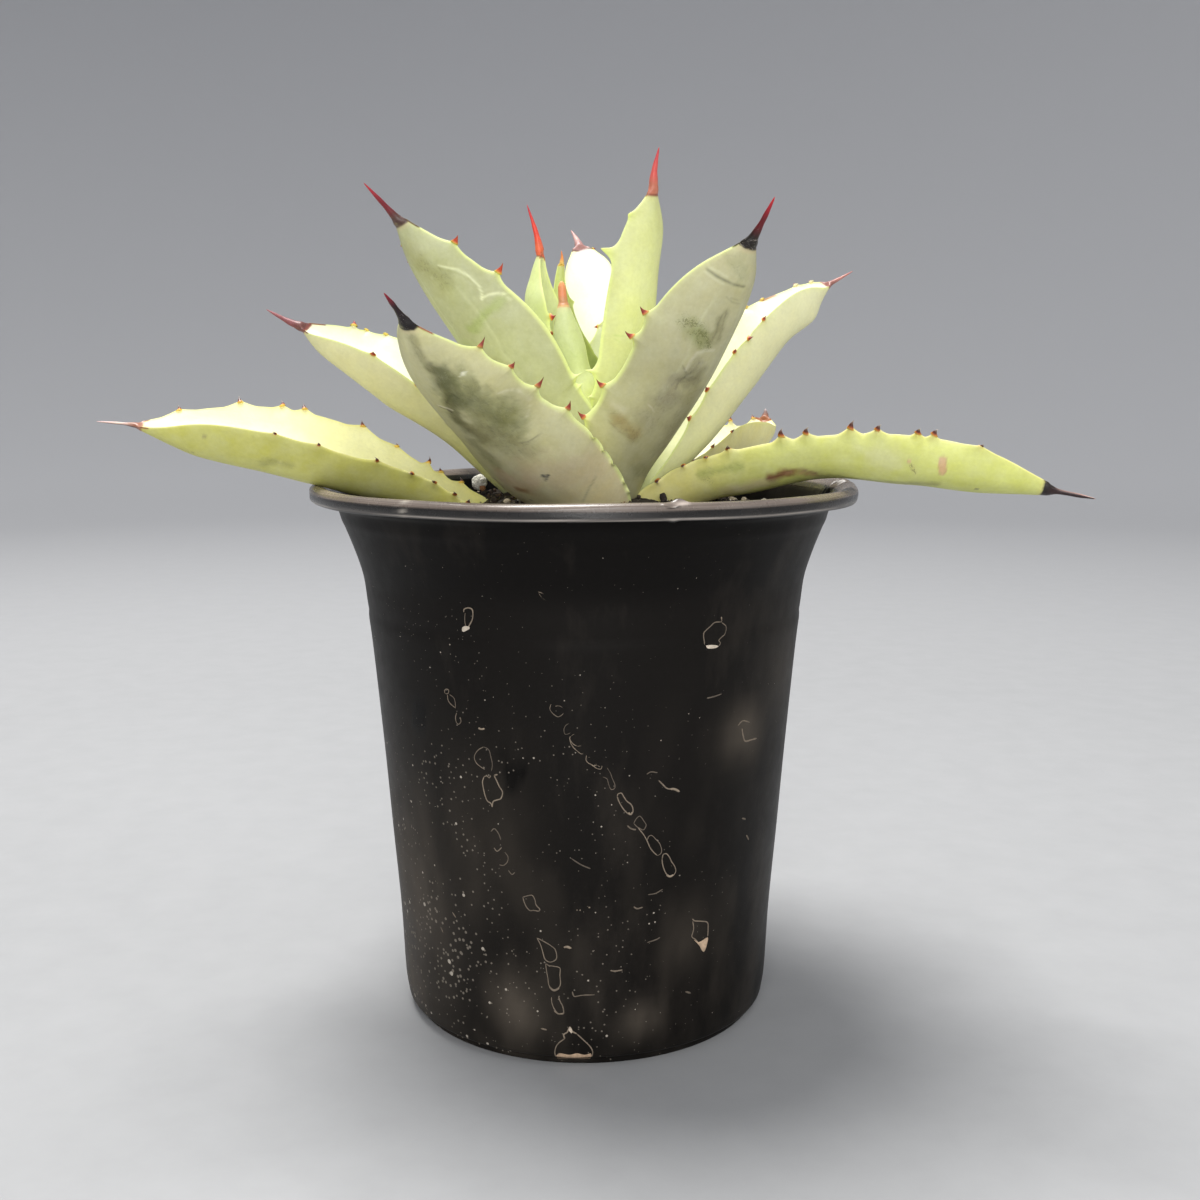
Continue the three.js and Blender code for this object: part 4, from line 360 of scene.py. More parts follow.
DRIED_LINES = [  # width mm, paleness, then angle round the pot in degrees (0 in front, + to the right) and height in mm
    (0.3, 0.75, [[-29.1,119.32],[-28.95,120.04],[-28.14,120.46],[-27.28,120.49],[-26.68,120.04],[-26.66,118.64],[-26.97,117.56],[-27.52,116.63],[-28.06,115.81]]),
    (0.22, 0.35, [[-28.72,119.18],[-28.92,117.93],[-28.97,116.69],[-28.83,115.88]]),
    (0.3, 0.42, [[33.8,117.34],[33.9,116.4],[32.0,116.4],[30.7,115.46],[29.8,114.76],[29.1,114.06],[29.1,112.88],[29.4,111.01]]),
    (0.3, 0.45, [[34.0,116.17],[35.5,114.99],[35.4,113.12],[34.4,112.41],[33.5,111.71],[34.0,111.01],[33.7,110.3]]),
    (0.45, 0.9, [[33.7,117.58],[34.0,117.11]]),
    (0.3, 0.7, [[-10.3,125.55],[-9.2,125.08],[-8.6,123.44],[-7.3,122.5]]),
    (0.25, 0.45, [[-10.17,125.11],[-9.29,123.84],[-8.22,123.16],[-7.23,122.38]]),
    (0.25, 0.45, [[-36.73,97.87],[-36.74,98.56],[-36.02,99.02],[-35.37,98.74],[-35.7,97.9],[-36.6,97.78]]),
    (0.25, 0.5, [[-35.93,97.61],[-35.83,96.17],[-35.01,95.19],[-33.54,94.4]]),
    (0.22, 0.3, [[-35.24,97.71],[-33.96,97.04],[-33.61,95.92],[-33.61,94.54]]),
    (0.25, 0.42, [[-33.37,93.23],[-33.84,92.07],[-33.75,90.87],[-33.11,90.27],[-32.23,91.07],[-32.43,92.25]]),
    (0.45, 1, [[-27.19,89.99],[-26.31,89.84],[-25.4,90.08]]),
    (0.25, 0.42, [[-25.9,85.29],[-27.57,84.29],[-28.85,82.47],[-28.45,80.86],[-27.06,79.87],[-25.95,79.42]]),
    (0.22, 0.2, [[-25.9,85.29],[-24.54,84.64],[-24.06,82.87],[-23.78,81.07],[-24.1,79.19]]),
    (0.3, 0.75, [[-26.33,77.45],[-26.91,75.9],[-26.64,73.72],[-26.25,72.1],[-25.73,71.06],[-24.79,70.61],[-24.43,69.73],[-24.12,71.14],[-22.93,71.72],[-21.83,72.26],[-21.32,73.98],[-22.15,75.35],[-22.78,76.76],[-23.48,78.09]]),
    (0.25, 0.55, [[-26.33,77.45],[-25.5,77.74],[-24.88,77.33],[-24.36,77.98]]),
    (0.4, 0.6, [[-23.36,78.17],[-22.44,78.46]]),
    (0.25, 0.42, [[-8.09,97.54],[-8.39,96.36],[-7.9,95.41],[-7.14,94.71],[-6.33,94.38],[-5.38,95.01],[-5.03,95.83],[-5.35,96.75],[-6.19,97.16],[-7.09,97.03]]),
    (0.22, 0.26, [[-5.03,90.48],[-5.02,91.44],[-4.4,92.42],[-3.21,92.87],[-2.72,91.83],[-3.13,90.76],[-3.91,90.14],[-4.76,89.98],[-5.03,90.48]]),
    (0.3, 0.7, [[-3.58,89.43],[-2.73,90.01],[-1.65,90.31],[-0.53,89.96],[0.14,89.44],[0.48,88.51],[-0.1,87.65],[-1.05,87.15],[-1.8,86.97],[-2.75,87.42],[-3.43,88.2],[-3.69,88.85],[-3.58,89.43]]),
    (0.3, 0.68, [[-3.69,88.6],[-3.36,87.49],[-2.69,86.45],[-1.91,85.74],[-0.99,84.99],[-0.1,85.05],[0.31,84.48],[0.24,83.4],[0.82,82.6],[1.75,82.15],[2.44,81.5],[3.13,81.11],[3.96,81.1],[4.16,82.26],[3.74,83.17],[3.05,83.72]]),
    (0.22, 0.4, [[0.48,87.07],[1.16,87.43],[1.94,87.27],[2.22,86.26],[2.29,85.18],[1.51,84.29],[0.82,84.04]]),
    (0.35, 0.7, [[1.34,82.45],[2.03,81.86],[2.89,82.1],[3.58,81.62],[2.71,82.35]]),
    (0.22, 0.3, [[5.42,81.31],[6.2,80.02],[6.74,78.54],[7.47,76.69],[7.24,75.78],[6.43,75.71],[5.81,77.12],[5.45,78.4],[4.4,78.98]]),
    (0.28, 0.62, [[8.05,73.73],[8.25,74.38],[9.1,74.57],[9.69,73.66],[10.5,72.44],[11.68,71.41],[12.15,70.27],[12.1,69.28],[11.56,68.77],[10.71,69.26],[9.83,70.16],[9.09,71.29],[8.42,72.62],[8.05,73.73]]),
    (0.4, 0.9, [[11.0,69.36],[11.66,68.83],[12.02,69.47]]),
    (0.22, 0.24, [[12.46,66.41],[13.06,67.54],[14.04,68.21],[15.12,66.83],[15.77,65.65],[15.11,64.49],[14.14,64.94],[13.29,65.5],[12.46,66.41]]),
    (0.35, 0.35, [[10.78,65.94],[11.82,65.05],[13.13,64.66]]),
    (0.25, 0.62, [[13.68,65.09],[15.04,63.38],[16.04,61.72],[17.07,59.56],[18.17,58.14],[19.21,57.2]]),
    (0.22, 0.4, [[16.23,61.7],[16.58,62.6],[17.42,62.78],[18.54,61.66],[19.64,60.41],[20.26,58.83],[20.15,57.72],[19.21,57.2]]),
    (0.26, 0.6, [[20.53,56.17],[20.8,57.27],[21.68,57.42],[22.62,56.39],[23.34,55.05],[24.24,53.78],[24.74,52.38],[24.13,51.32],[23.01,51.03],[22.04,51.81],[21.15,53.44],[20.67,55.02],[20.53,56.17]]),
    (0.5, 0.95, [[22.03,51.7],[23.02,51.1],[24.11,51.41]]),
    (0.3, 0.22, [[15.48,79.05],[16.56,79.59],[18.36,79.24]]),
    (0.34, 0.62, [[18.72,77.18],[19.91,75.96],[21.12,74.83],[22.7,74.43],[24.53,73.69]]),
    (0.5, 0.85, [[22.1,74.57],[23.28,74.37],[24.74,73.52]]),
    (0.4, 0.4, [[4.01,93.94],[4.86,93.39]]),
    (0.4, 0.42, [[42.48,88.27],[43.38,88.97],[44.57,89.21],[47.21,88.28]]),
    (0.45, 0.5, [[44.14,87.23],[44.86,85.23],[45.91,83.53],[48.23,83.34],[51.18,83.24]]),
    (0.4, 0.2, [[31.19,97.11],[33.34,97.27],[35.75,97.67]]),
    (0.3, 0.18, [[-3.7,57.66],[-1.17,56.0],[1.37,54.88]]),
    (0.3, 0.25, [[16.92,46.94],[19.11,47.06],[21.1,47.94]]),
    (0.5, 0.35, [[47.42,62.26],[49.17,61.57]]),
    (0.5, 0.35, [[50.19,56.93],[51.76,55.16]]),
    (0.25, 0.25, [[-25.22,63.04],[-24.13,63.94],[-22.98,62.77],[-22.39,61.16]]),
    (0.3, 0.5, [[-24.55,58.81],[-23.65,57.99],[-22.24,59.19]]),
    (0.25, 0.3, [[-23.22,54.39],[-21.91,54.45],[-20.82,55.52],[-20.58,56.88],[-21.42,58.01]]),
    (0.25, 0.3, [[-20.64,53.28],[-19.69,52.25],[-18.79,52.92]]),
    (0.26, 0.42, [[-16.83,46.43],[-15.36,46.95],[-14.19,47.13],[-13.49,45.98],[-13.22,44.63],[-12.25,43.56],[-12.65,42.99],[-13.94,43.11],[-14.92,42.94],[-15.86,43.74],[-16.49,45.01],[-16.83,46.43]]),
    (0.26, 0.52, [[-13.27,35.64],[-12.26,33.7],[-11.73,31.79],[-11.14,29.91],[-9.63,29.22],[-7.93,30.3],[-8.19,32.61],[-9.25,33.64],[-10.87,34.56],[-13.27,35.64]]),
    (0.26, 0.5, [[-11.02,28.74],[-10.82,26.83],[-10.46,24.74],[-10.1,22.64],[-8.77,21.69],[-7.5,22.29],[-6.93,23.42],[-7.06,25.71],[-7.04,27.71],[-8.67,28.13],[-10.04,28.24],[-11.02,28.74]]),
    (0.42, 0.6, [[-10.15,22.44],[-8.77,21.38],[-7.26,22.25]]),
    (0.28, 0.5, [[-9.52,19.59],[-9.46,18.23],[-8.85,16.53],[-7.67,15.17],[-6.16,15.31],[-6.38,17.24],[-7.0,18.37],[-7.53,19.9]]),
    (0.4, 0.6, [[-8.85,15.95],[-7.59,15.1],[-6.16,15.31]]),
    (0.5, 0.85, [[-5.87,33.55],[-4.91,33.52],[-4.03,33.22]]),
    (0.35, 0.32, [[-3.67,21.41],[-3.09,20.06],[-0.94,20.39],[2.57,20.51]]),
    (0.35, 0.6, [[-40.19,38.21],[-38.98,37.0]]),
    (0.35, 0.4, [[-45.81,32.63],[-44.87,31.29]]),
    (0.35, 0.8, [[-2.35,43.73],[-2.06,43.73]]),
    (0.4, 0.9, [[-1.53,43.73],[-1.24,43.69]]),
    (0.4, 0.9, [[0.93,44.6],[1.22,44.29]]),
    (0.3, 0.65, [[30.87,38.12],[31.81,37.37],[33.86,36.86],[36.35,35.96],[36.79,34.05],[36.85,31.9]]),
    (0.26, 0.65, [[31.08,37.43],[31.56,35.2],[31.09,33.17],[32.36,32.14],[33.83,30.45],[35.24,28.31],[36.17,29.47],[36.86,31.68]]),
    (0.4, 0.8, [[-5.89,8.16],[-6.17,9.4],[-5.16,10.1],[-4.41,11.52],[-3.69,10.34],[-2.48,9.73]]),
    (0.28, 0.62, [[-5.89,8.28],[-7.55,6.99],[-8.52,5.6],[-8.88,3.87],[-8.65,2.65],[-8.31,1.19]]),
    (0.28, 0.62, [[-2.48,9.73],[-0.32,7.72],[1.21,6.17],[1.96,4.8],[1.96,3.58],[1.26,1.39]]),
    (0.45, 0.85, [[-5.89,33.43],[-4.84,33.76],[-3.8,33.24]]),
    (0.42, 0.6, [[6.9,27.0],[8.19,26.75],[10.33,26.93]]),
    (0.4, 0.4, [[13.01,44.06],[14.0,43.43],[15.57,43.69]]),
    (0.35, 0.22, [[17.13,33.78],[19.8,34.28],[20.92,34.76]]),
    (0.5, 0.25, [[29.75,18.07],[31.64,17.22]]),
    (0.45, 0.6, [[-12.76,10.66],[-10.98,10.39]]),
]
DRIED_PATCHES = [  # paleness, how tan, outline
    (1, 0.15, [[-29.88,115.44],[-29.05,115.86],[-27.97,115.82],[-27.88,115.26],[-28.69,114.76],[-29.6,114.33],[-30.02,114.65]]),
    (1, 0.2, [[29.7,110.77],[31.5,110.77],[33.5,110.3],[32.8,109.83],[31.1,109.83],[30.2,110.07]]),
    (0.95, 0.75, [[31.71,32.28],[33.79,31.06],[36.86,31.68],[36.81,29.84],[36.16,28.18],[35.39,28.01],[34.0,29.89]]),
    (0.95, 0.8, [[-8.62,3.1],[-7.41,3.87],[-4.75,3.53],[-2.53,4.04],[-0.33,3.61],[1.65,3.86],[1.4,1.65],[0.11,1.35],[-3.58,1.44],[-6.82,1.26],[-8.6,1.24]]),
    (0.9, 0.3, [[-4.85,10.83],[-4.41,11.7],[-3.68,10.44],[-4.04,9.83]]),
]


# ---------- small tools ----------
def lin(c):
    """sRGB 0..255 to linear."""
    c = np.asarray(c, float) / 255.0
    return np.where(c <= 0.04045, c / 12.92, ((c + 0.055) / 1.055) ** 2.4)


def smooth(a, b, x):
    t = np.clip((np.asarray(x, float) - a) / (b - a), 0, 1)
    return t * t * (3 - 2 * t)


def _hash(ix, iy, iz, seed):
    n = (ix * 374761393 + iy * 668265263 + iz * 1440662683 + seed * 1274126177) & 0xFFFFFFFF
    n = ((n ^ (n >> 13)) * 1274126177) & 0xFFFFFFFF
    n = n ^ (n >> 16)
    return (n & 0xFFFFFF) / float(0xFFFFFF)


def vnoise(p, seed=0):
    """Smooth value noise, 0..1, of points (n, 3)."""
    i = np.floor(p).astype(np.int64)
    f = p - i
    f = f * f * (3 - 2 * f)
    out = np.zeros(len(p))
    for dx in (0, 1):
        for dy in (0, 1):
            for dz in (0, 1):
                w = (f[:, 0] if dx else 1 - f[:, 0]) * (f[:, 1] if dy else 1 - f[:, 1]) * (f[:, 2] if dz else 1 - f[:, 2])
                out += w * _hash(i[:, 0] + dx, i[:, 1] + dy, i[:, 2] + dz, seed)
    return out


def fbm(p, size, octaves=3, seed=0):
    p = np.asarray(p, float) / size
    total, amp, norm = np.zeros(len(p)), 1.0, 0.0
    for k in range(octaves):
        total += amp * vnoise(p * (2.03 ** k) + 17.3 * k, seed + 11 * k)
        norm += amp
        amp *= 0.5
    return total / norm


def cr(points, t):
    """Uniform Catmull-Rom through the points, the same curve as the CAD's."""
    P = np.asarray(points, float)
    K = len(P)
    t = np.atleast_1d(np.asarray(t, float))
    p = (K - 1) * np.clip(t, 0, 1)
    i = np.minimum(np.floor(p).astype(int), K - 2)
    w = (p - i)[:, None]
    ext = np.vstack([2 * P[0] - P[1], P, 2 * P[-1] - P[-2]])
    a, b, c, d = ext[i], ext[i + 1], ext[i + 2], ext[i + 3]
    t0, t1 = 0.5 * (c - a), 0.5 * (d - b)
    return (2 * b - 2 * c + t0 + t1) * w ** 3 + (-3 * b + 3 * c - 2 * t0 - t1) * w ** 2 + t0 * w + b


def unit(v):
    return v / np.maximum(np.linalg.norm(v, axis=-1, keepdims=True), 1e-9)


def from_line(P, pts):
    """Distance of each point from a polyline (or a point), and how far along it, 0..1."""
    pts = np.asarray(pts, float)
    if len(pts) == 1:
        return np.linalg.norm(P - pts[0], axis=1), np.zeros(len(P))
    best, along = np.full(len(P), 1e9), np.zeros(len(P))
    for k in range(len(pts) - 1):
        a, d = pts[k], pts[k + 1] - pts[k]
        u = np.clip(((P - a) @ d) / max(d @ d, 1e-9), 0, 1)
        r = np.linalg.norm(P - a - u[:, None] * d, axis=1)
        near = r < best
        best[near], along[near] = r[near], ((k + u) / (len(pts) - 1))[near]
    return best, along


class Shape:
    """Collects vertices (mm), faces and vertex values, then makes one mesh object."""

    def __init__(self):
        self.v, self.quads, self.tris, self.col, self.rough, self.aux, self.worn, self.n = [], [], [], [], [], [], [], 0

    def add(self, v, quads=None, tris=None, col=None, rough=None, aux=None, worn=None):
        m = len(v)
        self.v.append(np.asarray(v, float))
        if quads is not None and len(quads):
            self.quads.append(np.asarray(quads, int) + self.n)
        if tris is not None and len(tris):
            self.tris.append(np.asarray(tris, int) + self.n)
        self.col.append(np.broadcast_to(np.asarray(col if col is not None else (0.5, 0.5, 0.5), float), (m, 3)))
        self.rough.append(np.broadcast_to(np.asarray(rough if rough is not None else 0.5, float), (m,)))
        self.aux.append(np.broadcast_to(np.asarray(aux if aux is not None else (0.0, 0.0, 0.0), float), (m, 3)))
        self.worn.append(np.broadcast_to(np.asarray(worn if worn is not None else (0.0, 0.0, 0.0), float), (m, 3)))
        self.n += m

    def make(self, name, material, smooth_shading=True):
        v = np.vstack(self.v) * MM
        quads = np.vstack(self.quads) if self.quads else np.zeros((0, 4), int)
        tris = np.vstack(self.tris) if self.tris else np.zeros((0, 3), int)
        mesh = bpy.data.meshes.new(name)
        mesh.vertices.add(len(v))
        mesh.vertices.foreach_set("co", v.astype(np.float32).ravel())
        loops = np.concatenate([quads.ravel(), tris.ravel()])
        mesh.loops.add(len(loops))
        mesh.loops.foreach_set("vertex_index", loops.astype(np.int32))
        totals = np.concatenate([np.full(len(quads), 4), np.full(len(tris), 3)])
        mesh.polygons.add(len(totals))
        mesh.polygons.foreach_set("loop_start", np.concatenate([[0], np.cumsum(totals)[:-1]]).astype(np.int32))
        mesh.polygons.foreach_set("loop_total", totals.astype(np.int32))
        mesh.polygons.foreach_set("use_smooth", np.full(len(totals), smooth_shading))
        mesh.update(calc_edges=True)
        mesh.validate()
        colour = np.ones((len(v), 4), np.float32)
        colour[:, :3] = np.vstack(self.col)
        mesh.attributes.new("tint", "FLOAT_COLOR", "POINT").data.foreach_set("color", colour.ravel())
        mesh.attributes.new("rough", "FLOAT", "POINT").data.foreach_set("value", np.concatenate(self.rough).astype(np.float32))
        mesh.attributes.new("place", "FLOAT_VECTOR", "POINT").data.foreach_set("vector", np.vstack(self.aux).astype(np.float32).ravel())
        worn = np.vstack(self.worn)
        if worn.any():
            mesh.attributes.new("worn", "FLOAT_VECTOR", "POINT").data.foreach_set("vector", worn.astype(np.float32).ravel())
        obj = bpy.data.objects.new(name, mesh)
        scene.collection.objects.link(obj)
        mesh.materials.append(material)
        return obj


# ---------- materials ----------
class Nodes:
    """A short way to write a node tree."""

    def __init__(self, name):
        self.m = bpy.data.materials.new(name)
        self.m.use_nodes = True
        self.t = self.m.node_tree
        self.t.nodes.clear()
        self.out = self.t.nodes.new("ShaderNodeOutputMaterial")
        self.b = self.t.nodes.new("ShaderNodeBsdfPrincipled")
        self.t.links.new(self.b.outputs[0], self.out.inputs[0])

    def set(self, **k):
        for name, value in k.items():
            socket = self.b.inputs[name.replace("_", " ")]
            if hasattr(value, "is_output") or isinstance(value, bpy.types.NodeSocket):
                self.t.links.new(value, socket)
            else:
                socket.default_value = value

    def link(self, value, socket):
        if isinstance(value, bpy.types.NodeSocket):
            self.t.links.new(value, socket)
        elif value is not None:
            socket.default_value = value

    def math(self, op, a, b=None, c=None, clamp=False):
        n = self.t.nodes.new("ShaderNodeMath")
        n.operation, n.use_clamp = op, clamp
        for i, x in enumerate((a, b, c)):
            if x is not None:
                self.link(x, n.inputs[i])
        return n.outputs[0]

    def vmath(self, op, a, b=None):
        n = self.t.nodes.new("ShaderNodeVectorMath")
        n.operation = op
        self.link(a, n.inputs[0])
        if b is not None:
            self.link(b, n.inputs[1])
        return n.outputs["Value"] if op in ("LENGTH", "DISTANCE", "DOT_PRODUCT") else n.outputs[0]

    def attribute(self, name, kind="Color"):
        n = self.t.nodes.new("ShaderNodeAttribute")
        n.attribute_name = name
        return n.outputs[{"Color": "Color", "Fac": "Fac", "Vector": "Vector"}[kind]]

    def position(self):
        return self.t.nodes.new("ShaderNodeTexCoord").outputs["Object"]

    def noise(self, vector, scale, detail=3.0, rough=0.55, distortion=0.0):
        n = self.t.nodes.new("ShaderNodeTexNoise")
        n.inputs["Scale"].default_value, n.inputs["Detail"].default_value = scale, detail
        n.inputs["Roughness"].default_value, n.inputs["Distortion"].default_value = rough, distortion
        self.link(vector, n.inputs["Vector"])
        return n.outputs["Fac"]

    def voronoi(self, vector, scale, feature="F1", randomness=1.0):
        n = self.t.nodes.new("ShaderNodeTexVoronoi")
        n.feature = feature
        n.inputs["Scale"].default_value, n.inputs["Randomness"].default_value = scale, randomness
        self.link(vector, n.inputs["Vector"])
        return n.outputs["Distance"]

    def scaled(self, vector, xyz):
        return self.vmath("MULTIPLY", vector, xyz)

    def ramp(self, x, stops, interpolation="LINEAR"):
        n = self.t.nodes.new("ShaderNodeValToRGB")
        n.color_ramp.interpolation = interpolation
        e = n.color_ramp.elements
        while len(e) < len(stops):
            e.new(0.5)
        for k, (pos, c) in enumerate(stops):
            e[k].position = pos
            e[k].color = (*c, 1) if hasattr(c, "__len__") else (c, c, c, 1)
        self.link(x, n.inputs[0])
        return n.outputs[0]

    def mix(self, f, a, b, mode="MIX"):
        n = self.t.nodes.new("ShaderNodeMix")
        n.data_type, n.blend_type = "RGBA", mode
        n.clamp_factor = True
        self.link(f, n.inputs[0])
        for x, s in ((a, n.inputs[6]), (b, n.inputs[7])):
            if isinstance(x, bpy.types.NodeSocket):
                self.t.links.new(x, s)
            else:
                s.default_value = (*x, 1)
        return n.outputs[2]

    def bump(self, height, strength, distance, normal=None):
        n = self.t.nodes.new("ShaderNodeBump")
        self.link(strength, n.inputs["Strength"])
        n.inputs["Distance"].default_value = distance
        self.link(height, n.inputs["Height"])
        if normal is not None:
            self.link(normal, n.inputs["Normal"])
        return n.outputs[0]


def leaf_material(name, gloss=0.0):
    k = Nodes(name)
    pos, place = k.position(), k.attribute("place", "Vector")
    tint = k.attribute("tint")
    # fine waxy bloom, a little streaky along the leaf; place is (across, along, which face) in mm
    grain = k.noise(k.scaled(place, (0.9, 0.13, 0.0)), 1.0, 4.0, 0.6)
    sep = k.t.nodes.new("ShaderNodeSeparateXYZ")
    k.t.links.new(place, sep.inputs[0])
    skin = k.math("LESS_THAN", sep.outputs[2], 50.0)        # the horny points have no bloom
    bloom = k.noise(pos, 170.0, 4.0, 0.6)
    fleck = k.noise(pos, 1150.0, 2.0, 0.5)
    # worn patches carry fine wrinkles, their creases darkened as painted shade, and pale scratches; the other masks
    # hold olive dots and pale dust
    wsep = k.t.nodes.new("ShaderNodeSeparateXYZ")
    k.t.links.new(k.attribute("worn", "Vector"), wsep.inputs[0])
    worn, moss, dust = wsep.outputs[0], wsep.outputs[1], wsep.outputs[2]
    whole = k.math("MULTIPLY", skin, k.math("MULTIPLY_ADD", worn, -0.85, 1.0, clamp=True))
    c = k.mix(k.math("MULTIPLY", k.ramp(bloom, [(0.3, 0.0), (0.75, 1.0)]), whole), tint, k.mix(0.20, tint, (0.80, 0.84, 0.70)))
    fibre = k.noise(k.vmath("ADD", k.scaled(place, (0.75, 0.30, 0.0)), k.scaled(pos, (260.0, 260.0, 260.0))), 2.1, 5.0, 0.72, 0.6)
    wrinkle_shade = k.math("MULTIPLY", k.ramp(fibre, [(0.36, 1.0), (0.50, 0.0)]), k.math("MULTIPLY_ADD", worn, 0.62, 0.05, clamp=True))
    c = k.mix(k.math("MULTIPLY", wrinkle_shade, skin), c, k.mix(0.62, c, tuple(lin((66, 66, 34)))))
    hair = k.math("ABSOLUTE", k.math("SUBTRACT", k.noise(k.vmath("ADD", k.scaled(place, (0.4, 0.16, 0.0)), k.scaled(pos, (120.0, 120.0, 120.0))), 1.3, 3.0, 0.6, 1.2), 0.5))
    scratch = k.math("MULTIPLY", k.ramp(hair, [(0.0, 1.0), (0.006, 0.0)]), k.math("MULTIPLY_ADD", worn, 0.22, 0.05, clamp=True))
    c = k.mix(k.math("MULTIPLY", scratch, skin), c, k.mix(0.6, c, tuple(lin((236, 234, 206)))))
    dots = k.math("LESS_THAN", k.voronoi(pos, 3600.0), k.math("MULTIPLY", moss, k.math("MULTIPLY_ADD", k.noise(pos, 520.0, 3.0, 0.7), 3.0, -1.0)))
    c = k.mix(k.math("MULTIPLY", dots, 0.6), c, tuple(lin((96, 98, 48))))
    white = k.math("LESS_THAN", k.voronoi(pos, 3200.0), k.math("MULTIPLY", dust, k.math("MULTIPLY_ADD", k.noise(pos, 600.0, 2.0, 0.6), 1.6, -0.45)))
    c = k.mix(k.math("MULTIPLY", white, 0.6), c, tuple(lin((214, 204, 192))))
    shade = k.math("MULTIPLY_ADD", grain, 0.09, 0.955)
    shade = k.math("MULTIPLY", shade, k.math("MULTIPLY_ADD", fleck, 0.14, 0.93))
    n = k.t.nodes.new("ShaderNodeCombineColor")
    for i in range(3):
        k.t.links.new(shade, n.inputs[i])
    c = k.mix(1.0, c, n.outputs[0], "MULTIPLY")
    k.set(Base_Color=c)
    k.set(Roughness=k.math("MULTIPLY_ADD", bloom, 0.16, k.math("SUBTRACT", k.attribute("rough", "Fac"), 0.08)))
    b = k.bump(k.noise(pos, 900.0, 3.0, 0.6), 0.10, 0.0004)
    b = k.bump(grain, 0.08, 0.0005, b)
    b = k.bump(fibre, k.math("MULTIPLY_ADD", worn, 0.30, 0.06), 0.0006, b)
    k.set(Normal=b)
    k.b.inputs["Subsurface Weight"].default_value = 0.10
    k.b.inputs["Subsurface Radius"].default_value = (0.9, 1.0, 0.25)
    k.b.inputs["Subsurface Scale"].default_value = 0.0022
    k.b.inputs["Specular IOR Level"].default_value = 0.42
    return k.m


# ---------- leaves ----------
# ab, ad: colour of the outer (lower) and inner (upper) face. rim: the thin bright margin. spine and tooth:
# colours from root to tip. horned: how far along the leaf a tooth begins to have a horny point. old: withered points.
FRESH = dict(ab=(196, 202, 150), ad=(206, 212, 168), rim=(224, 234, 150), base=(206, 210, 150),
             spine=[(84, 52, 44), (112, 28, 40), (170, 34, 54)], tooth=[(222, 196, 92), (206, 106, 54), (148, 44, 40), (112, 58, 52)],
             horned=0.30, old=False, run=(0.5, 1.6, 1.6), speck=0.0, step=0.45)
OLD = dict(FRESH, ab=(190, 198, 96), ad=(214, 216, 120), rim=(232, 228, 140), base=(196, 196, 112),
           spine=[(64, 46, 42), (92, 58, 54), (150, 96, 92)], tooth=[(226, 190, 88), (186, 96, 46), (84, 46, 38), (176, 166, 162)],
           horned=0.0, old=True)
